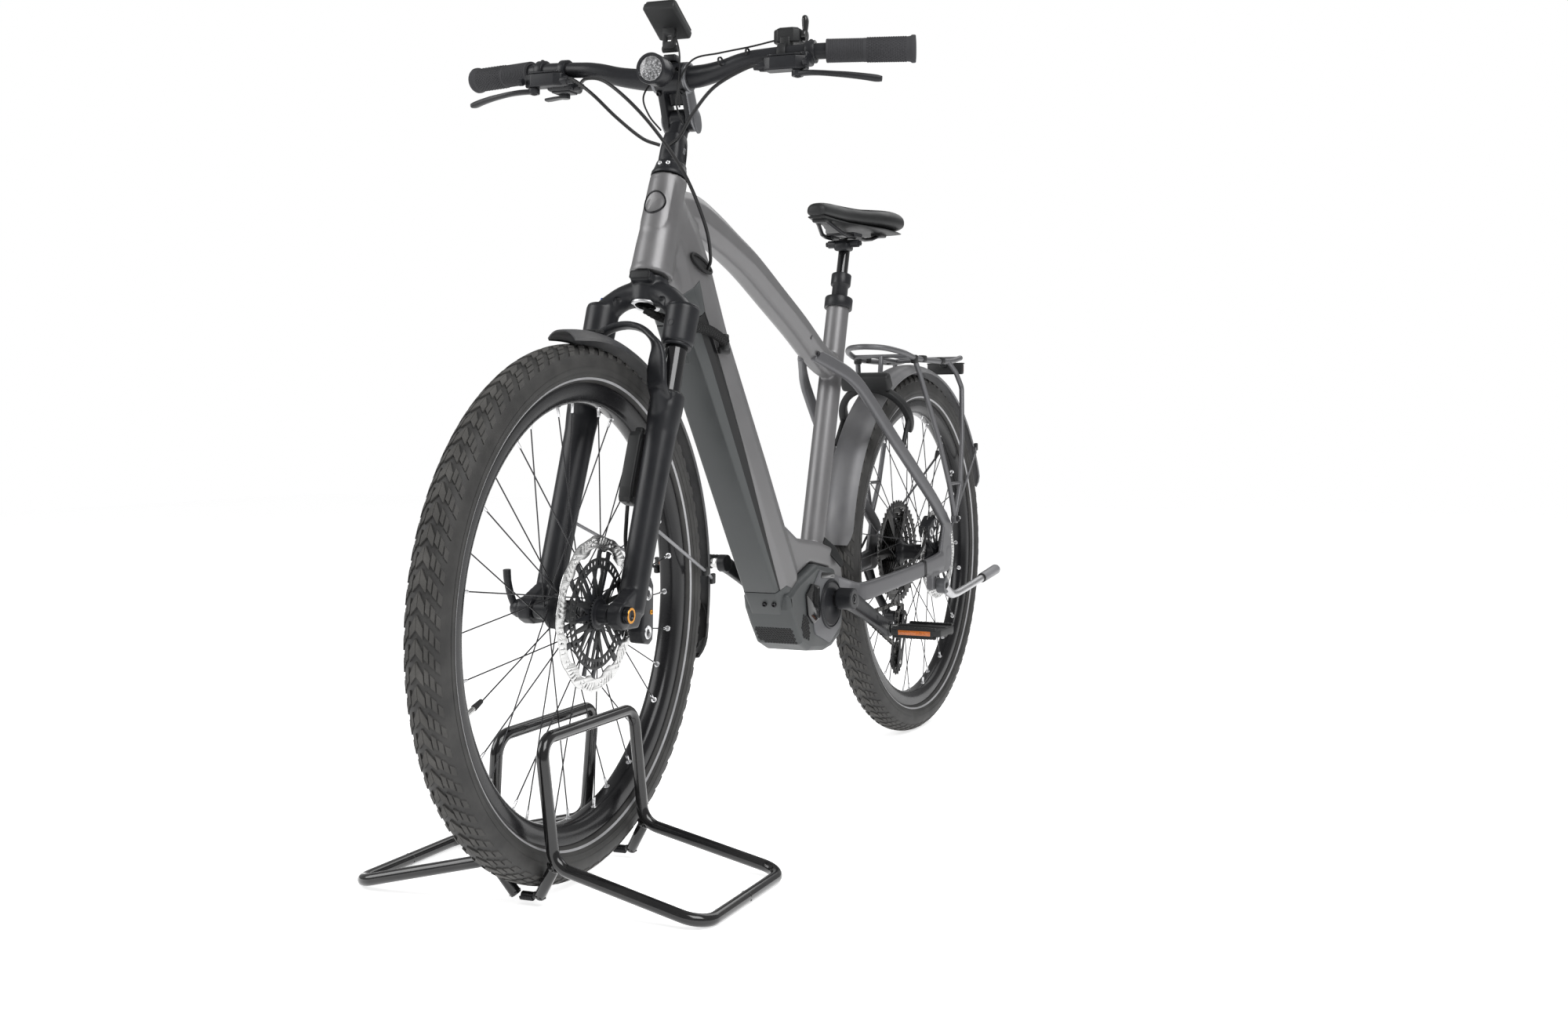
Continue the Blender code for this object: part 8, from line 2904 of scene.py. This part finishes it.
def paddle_shape():
    hub = lathe(
        [(0, 1.0746), (0.0074, 1.0746), (0.0080, 1.0754), (0.0080, 1.0800), (0.0074, 1.0806), (0, 1.0806)],
        (0.930, -0.175, 0), UP, 32
    )
    rings = []
    for y, x, half, z in (
        (-0.172, 0.930, 0.0060, 1.0776), (-0.184, 0.926, 0.0066, 1.0775), (-0.196, 0.9225, 0.0078, 1.0774),
        (-0.207, 0.9195, 0.0082, 1.0770), (-0.2125, 0.9185, 0.0066, 1.0768)
    ):
        rings.append([Vector((x + a, y, z + b)) for a, b in superellipse(half, 0.0022, 3.0, 24)])
    return hub + loft(rings)


piece("shift_trigger", paddle_shape(), "satin", "shift_paddle", ["shift_paddle"], at=FRONT)


def remote_shape():
    clamp = band(BAR_MID_A, BAR_MID_B, 0.30, 0.0155, 0.012)
    foot = block((0.016, 0.016, 0.024), (0.922, 0.174, 1.130), None, 0.003, 3)
    outline = [
        (-0.015, -0.019), (0.009, -0.020), (0.016, -0.012), (0.016, 0.012), (0.010, 0.020), (-0.012, 0.020),
        (-0.016, 0.012), (-0.016, -0.012)
    ]
    where = turned((1, 0, 0), (0, 0, 1), (0, 1, 0), (0.912, 0.174, 1.144))
    core = outward(plate([soft_outline(outline, 0.004)], -0.0108, 0.0092, 0.003, 3).moved(where))
    lid = outward(
        plate([soft_outline([(a * 0.8, b * 0.8) for a, b in outline], 0.003)], 0.0088, 0.0108, 0.0007, 2).moved(where)
    )
    buttons = together(
        block((0.010, 0.008, 0.0024), (0.910, y, 1.1550), None, 0.001, 2) for y in (0.165, 0.1745, 0.184)
    )
    return together([clamp.slot(0), foot.slot(0), core.slot(0), lid.slot(0), buttons.slot(1)])


def thumb_shape():
    hub = lathe(
        [(0, 0), (0.0078, 0), (0.0085, 0.0008), (0.0085, 0.0052), (0.0078, 0.0060), (0, 0.0060)],
        (0.912, 0.1945, 1.144), SIDE, 32
    )
    rings = []
    for z, half, thick, x in (
        (1.142, 0.0050, 0.0028, 0.912), (1.150, 0.0048, 0.0030, 0.912), (1.158, 0.0056, 0.0040, 0.912),
        (1.166, 0.0060, 0.0046, 0.912), (1.1705, 0.0050, 0.0038, 0.912), (1.1722, 0.0028, 0.0020, 0.912)
    ):
        rings.append([Vector((x + a, 0.198 + b, z)) for a, b in superellipse(half, thick, 2.6, 24)])
    return hub + loft(rings)


piece("assist_remote", remote_shape(), ["plastic", "grey_cap"], "cockpit", ["remote"], at=FRONT)
piece("assist_thumb", thumb_shape(), "gloss", "thumb_lever", ["thumb_lever"], at=FRONT)


def display_shape():
    pivot = rod((0.935, -0.0118, 1.1345), (0.935, 0.0118, 1.1345), 0.0050, sides=28).slot(0)
    outline = [
        (-0.0095, -0.018), (0.0095, -0.018), (0.0092, 0.006), (0.0095, 0.018), (-0.0095, 0.018), (-0.0092, 0.006)
    ]
    window = [(-0.0042, -0.0070), (0.0042, -0.0070), (0.0042, 0.0014), (-0.0042, 0.0014)]
    post = plate([soft_outline(outline, 0.003), soft_outline(window, 0.001)], -0.0040, 0.0040, 0.0010, 2)
    post = outward(post.moved(turned(SIDE, (1, 0, 0), (0, 0, 1), (0.9385, 0, 1.1510)))).slot(0)
    face = turned(
        (math.cos(math.radians(30)), 0, math.sin(math.radians(30))), SIDE,
        (-math.sin(math.radians(30)), 0, math.cos(math.radians(30))), (0.945, 0, 1.1725)
    )
    shell = block((0.067, 0.050, 0.0128), (0, 0, -0.0010), None, 0.0040, 4).moved(face).slot(0)
    rim = plate(
        [
            soft_outline([(-0.0325, -0.0240), (0.0325, -0.0240), (0.0325, 0.0240), (-0.0325, 0.0240)], 0.005),
            soft_outline([(-0.0285, -0.0200), (0.0285, -0.0200), (0.0285, 0.0200), (-0.0285, 0.0200)], 0.003)
        ],
        0.0048, 0.0074, 0.0006, 2
    )
    rim = outward(rim.moved(face @ turned((1, 0, 0), (0, 0, 1), (0, 1, 0), (0, 0, 0)))).slot(0)
    glass = block((0.0575, 0.0405, 0.0020), (0, 0, 0.0052), None, 0.0006, 2).moved(face).slot(1)
    ridge = block((0.004, 0.044, 0.003), (0.0310, 0, -0.0010), None, 0.0012, 2).moved(face).slot(0)
    return together([pivot, post, shell, rim, glass, ridge])


piece("display_unit", display_shape(), ["plastic", "screen"], "display", ["display"], at=FRONT)


def headlight_shape():
    at = (0, 0, 1.095)
    along = Vector((1, 0, 0))
    body = lathe(
        [(0, 0.9620), (0.0150, 0.9622), (0.0196, 0.9640), (0.0208, 0.9680), (0.0216, 0.9800), (0.0220, 0.9930), (0.0220, 0.9968), (0.0214, 0.9980),
         (0.0186, 0.9980), (0.0176, 0.9960), (0.0164, 0.9872), (0.0100, 0.9800), (0, 0.9780)],
        at, along, 64,
    ).slot(0)
    chrome = lathe(
        [(0.0173, 0.9958), (0.0165, 0.9900), (0.0148, 0.9850), (0.0100, 0.9812), (0.0040, 0.9802), (0.0, 0.9801),
         (0, 0.9808), (0.0042, 0.9810), (0.0098, 0.9820), (0.0144, 0.9858), (0.0160, 0.9904), (0.0168, 0.9958)],
        at, along, 14,
    ).slot(1)
    facets = []
    for ring, count in ((0.0125, 10), (0.0075, 7), (0.0028, 3)):
        for k in range(count):
            angle = math.tau * (k + ring * 90) / count
            centre = Vector((0.9856 - (0.0125 - ring) * 0.35, ring * math.cos(angle), 1.095 + ring * math.sin(angle)))
            facets.append(ball(centre, 0.0026, 8).slot(1))
    cover = lathe(
        [(0, 0.9950), (0.0172, 0.9930), (0.0176, 0.9940), (0.0174, 0.9955), (0.0100, 0.9968), (0, 0.9972)], at,
        along, 56
    ).slot(2)
    arm = rod((0.9535, -0.0118, 1.095), (0.9535, 0.0118, 1.095), 0.0054, sides=28).slot(0)
    stalk = block((0.012, 0.0138, 0.010), (0.959, 0, 1.095), None, 0.002).slot(0)
    ribs = together(
        lathe(
            [(0.0196, x - 0.0008), (0.0215, x - 0.0006), (0.0215, x + 0.0006), (0.0196, x + 0.0008)], at, along, 56
        ) for x in (0.9690, 0.9730, 0.9770)
    ).slot(0)
    return together([body, chrome, cover, arm, stalk, ribs] + facets)


piece("front_lamp", headlight_shape(), ["satin", "bare", "lens"], "headlight", ["headlight"], at=FRONT)


# Cables

HOSE = [
    (0.960, 0.156, 1.097), (0.972, 0.135, 1.091), (0.988, 0.095, 1.065), (0.982, 0.060, 1.032),
    (0.962, 0.030, 1.005), (0.948, 0.008, 0.996)
]
SHIFT_UPPER = [
    (0.940, -0.1475, 1.089), (0.970, -0.115, 1.093), (1.006, -0.060, 1.075), (1.015, 0.005, 1.020),
    (0.990, 0.050, 0.950)
]
SHIFT_LOWER = [(0.945, 0.064, 0.880), (0.909, 0.053, 0.838), (0.893, 0.040, 0.823)]
SLEEVE_UPPER = [(1.007, 0, 0.758), (0.996, 0.018, 0.749)]
SLEEVE_LOWER = [(0.963, 0.041, 0.738), (0.912, 0.051, 0.733), (0.866, 0.053, 0.719)]


def front_turned(points):
    """Points given on the straight front end, moved to where the bars stand, in the bike's own frame."""
    back = BIKE.inverted()
    return [back @ (FRONT @ Vector(p)) for p in points]


hose = sweep(smooth_path([Vector(p) for p in HOSE], 12), 0.0025, 16)
piece(
    "brake_hoses", both_sides(hose), "cable", None, ["cockpit_hoses"], at=FRONT,
    bend=("cockpit", "front_end", tuple(FRONT @ Vector((0.985, 0, 1.060))), tuple(FRONT @ Vector((0.952, 0, 1.000)))),
)


def thin_leads():
    """Thin leads from the display, the lamp and the remote to the stem."""
    leads = [
        [
            (0.940, 0.0090, 1.1500), (0.958, 0.0200, 1.1440), (0.972, 0.0330, 1.1150), (0.968, 0.0290, 1.0750),
            (0.950, 0.0180, 1.0520), (0.925, 0.0160, 1.0300)
        ],
        [
            (0.918, 0.1550, 1.1390), (0.935, 0.1250, 1.1290), (0.950, 0.0850, 1.1200), (0.955, 0.0450, 1.1120),
            (0.956, 0.0250, 1.0800), (0.940, 0.0180, 1.0500)
        ],
        [(0.963, -0.0100, 1.0900), (0.978, -0.0200, 1.0600), (0.970, -0.0150, 1.0350), (0.944, -0.0090, 1.0180)],
    ]
    parts = [sweep(smooth_path([Vector(p) for p in line], 8), 0.0013, 10).slot(0) for line in leads]
    for centre, axis in (((0.948, 0.0850, 1.1090), (0.15, 1, 0.1)), ((0.944, 0.1250, 1.1190), (0.1, 1, 0.1))):
        parts.append(
            lathe(
                [(0.0050, -0.0014), (0.0062, -0.0014), (0.0062, 0.0014), (0.0050, 0.0014)], centre,
                Vector(axis).normalized(), 20
            ).slot(0)
        )
    return together(parts)


piece(
    "thin_leads", thin_leads(), "cable", None, at=FRONT,
    bend=("cockpit", "front_end", tuple(FRONT @ Vector((0.960, 0, 1.075))), tuple(FRONT @ Vector((0.935, 0, 1.022)))),
)


line = smooth_path(front_turned(SHIFT_UPPER) + [Vector(p) for p in SHIFT_LOWER], 12)
middle = int(len(line) * 4.35 / 7)
upper_line, lower_line = line[: middle + 1], line[middle:]
shift_upper = sweep(upper_line, 0.0025, 16)
shift_lower = sweep(lower_line, 0.0025, 16)
as_row = lambda p: tuple(BIKE @ p)
piece(
    "shift_cable_upper", shift_upper, "cable", None,
    bend=("cockpit", "front_end", as_row(upper_line[0]), as_row(upper_line[-1]))
)
piece(
    "shift_cable_lower", shift_lower, "cable", None, ["shift_cable"],
    bend=("front_end", "frame", as_row(lower_line[0]), as_row(lower_line[-1]))
)
sleeve_line = smooth_path(front_turned(SLEEVE_UPPER) + [Vector(p) for p in SLEEVE_LOWER], 14)


def braid(path, radius):
    """A cable sleeve with a woven surface."""
    swell = [0.72 + 0.46 * min(1.0, i / (len(path) * 0.45)) for i in range(len(path))]
    core = sweep(path, radius - 0.0004, 20, radii=swell)
    strands = []
    total = sum((b - a).length for a, b in zip(path, path[1:]))
    for turn in (1, -1):
        for k in range(6):
            points = []
            run_length = 0.0
            for i, p in enumerate(path):
                if i:
                    run_length += (p - path[i - 1]).length
                run = (path[min(i + 1, len(path) - 1)] - path[max(i - 1, 0)]).normalized()
                across = UP.cross(run).normalized()
                up = run.cross(across).normalized()
                angle = turn * run_length / total * math.tau * 5 + math.tau * k / 6
                wide = radius * swell[i]
                points.append(p + across * (wide * math.cos(angle)) + up * (wide * math.sin(angle)))
            strands.append(sweep(points, 0.00045, 5))
    return together([core] + strands)


sleeve = braid(smooth_path(sleeve_line, 2), 0.0060)
piece(
    "loom_sleeve", sleeve, "rubber", None, ["cable_sleeve"],
    bend=("front_end", "frame", as_row(sleeve_line[0]), as_row(sleeve_line[int(len(sleeve_line) * 0.42)]))
)
bracket = block(
    (0.012, 0.013, 0.024), (0.864, 0.0500, 0.7180), None, 0.003
) + block((0.030, 0.006, 0.010), (0.856, 0.0460, 0.7060), None, 0.002)
piece("loom_clamp", bracket, "plastic", "frame")

# A finish for each CAD part that a piece above replaces and hides

LEFTOVER = {
    "frame": "frame", "battery": "plastic", "battery_cover": "cover", "seat_clamp": "satin", "drive_unit": "cover",
    "crank_left": "satin", "crank_right": "satin", "pedal_left": "plastic", "pedal_right": "plastic",
    "chainring": "satin", "cassette": "cog", "chain": "chain", "derailleur": "satin", "derailleur_cage": "satin",
    "rear_mudguard": "guard_grey", "front_mudguard": "mudguard", "rack": "stay", "rear_light": "plastic",
    "ring_lock": "plastic", "lock_bolt": "steel", "rear_caliper": "satin", "front_caliper": "satin",
    "kickstand": "alloy", "seatpost_outer": "satin", "seatpost_inner": "gloss", "saddle_pad": "plastic",
    "saddle_frame": "plastic", "fork_crown": "satin", "fork_lowers": "satin", "front_axle": "steel",
    "abs_unit": "plastic", "stem_base": "satin", "stem_arm": "stem", "handlebar": "satin", "grip_left": "grip",
    "grip_right": "grip", "brake_body_left": "satin", "brake_body_right": "satin", "remote": "plastic",
    "shift_paddle": "satin", "thumb_lever": "plastic", "brake_blade_left": "gloss", "brake_blade_right": "gloss",
    "display": "plastic", "headlight": "satin", "cockpit_hoses": "cable", "shift_cable": "cable",
    "cable_sleeve": "cable",
}
for node_name, finish_name in LEFTOVER.items():
    obj = frame["nodes"][node_name]
    obj.data.materials.clear()
    obj.data.materials.append(M[finish_name])
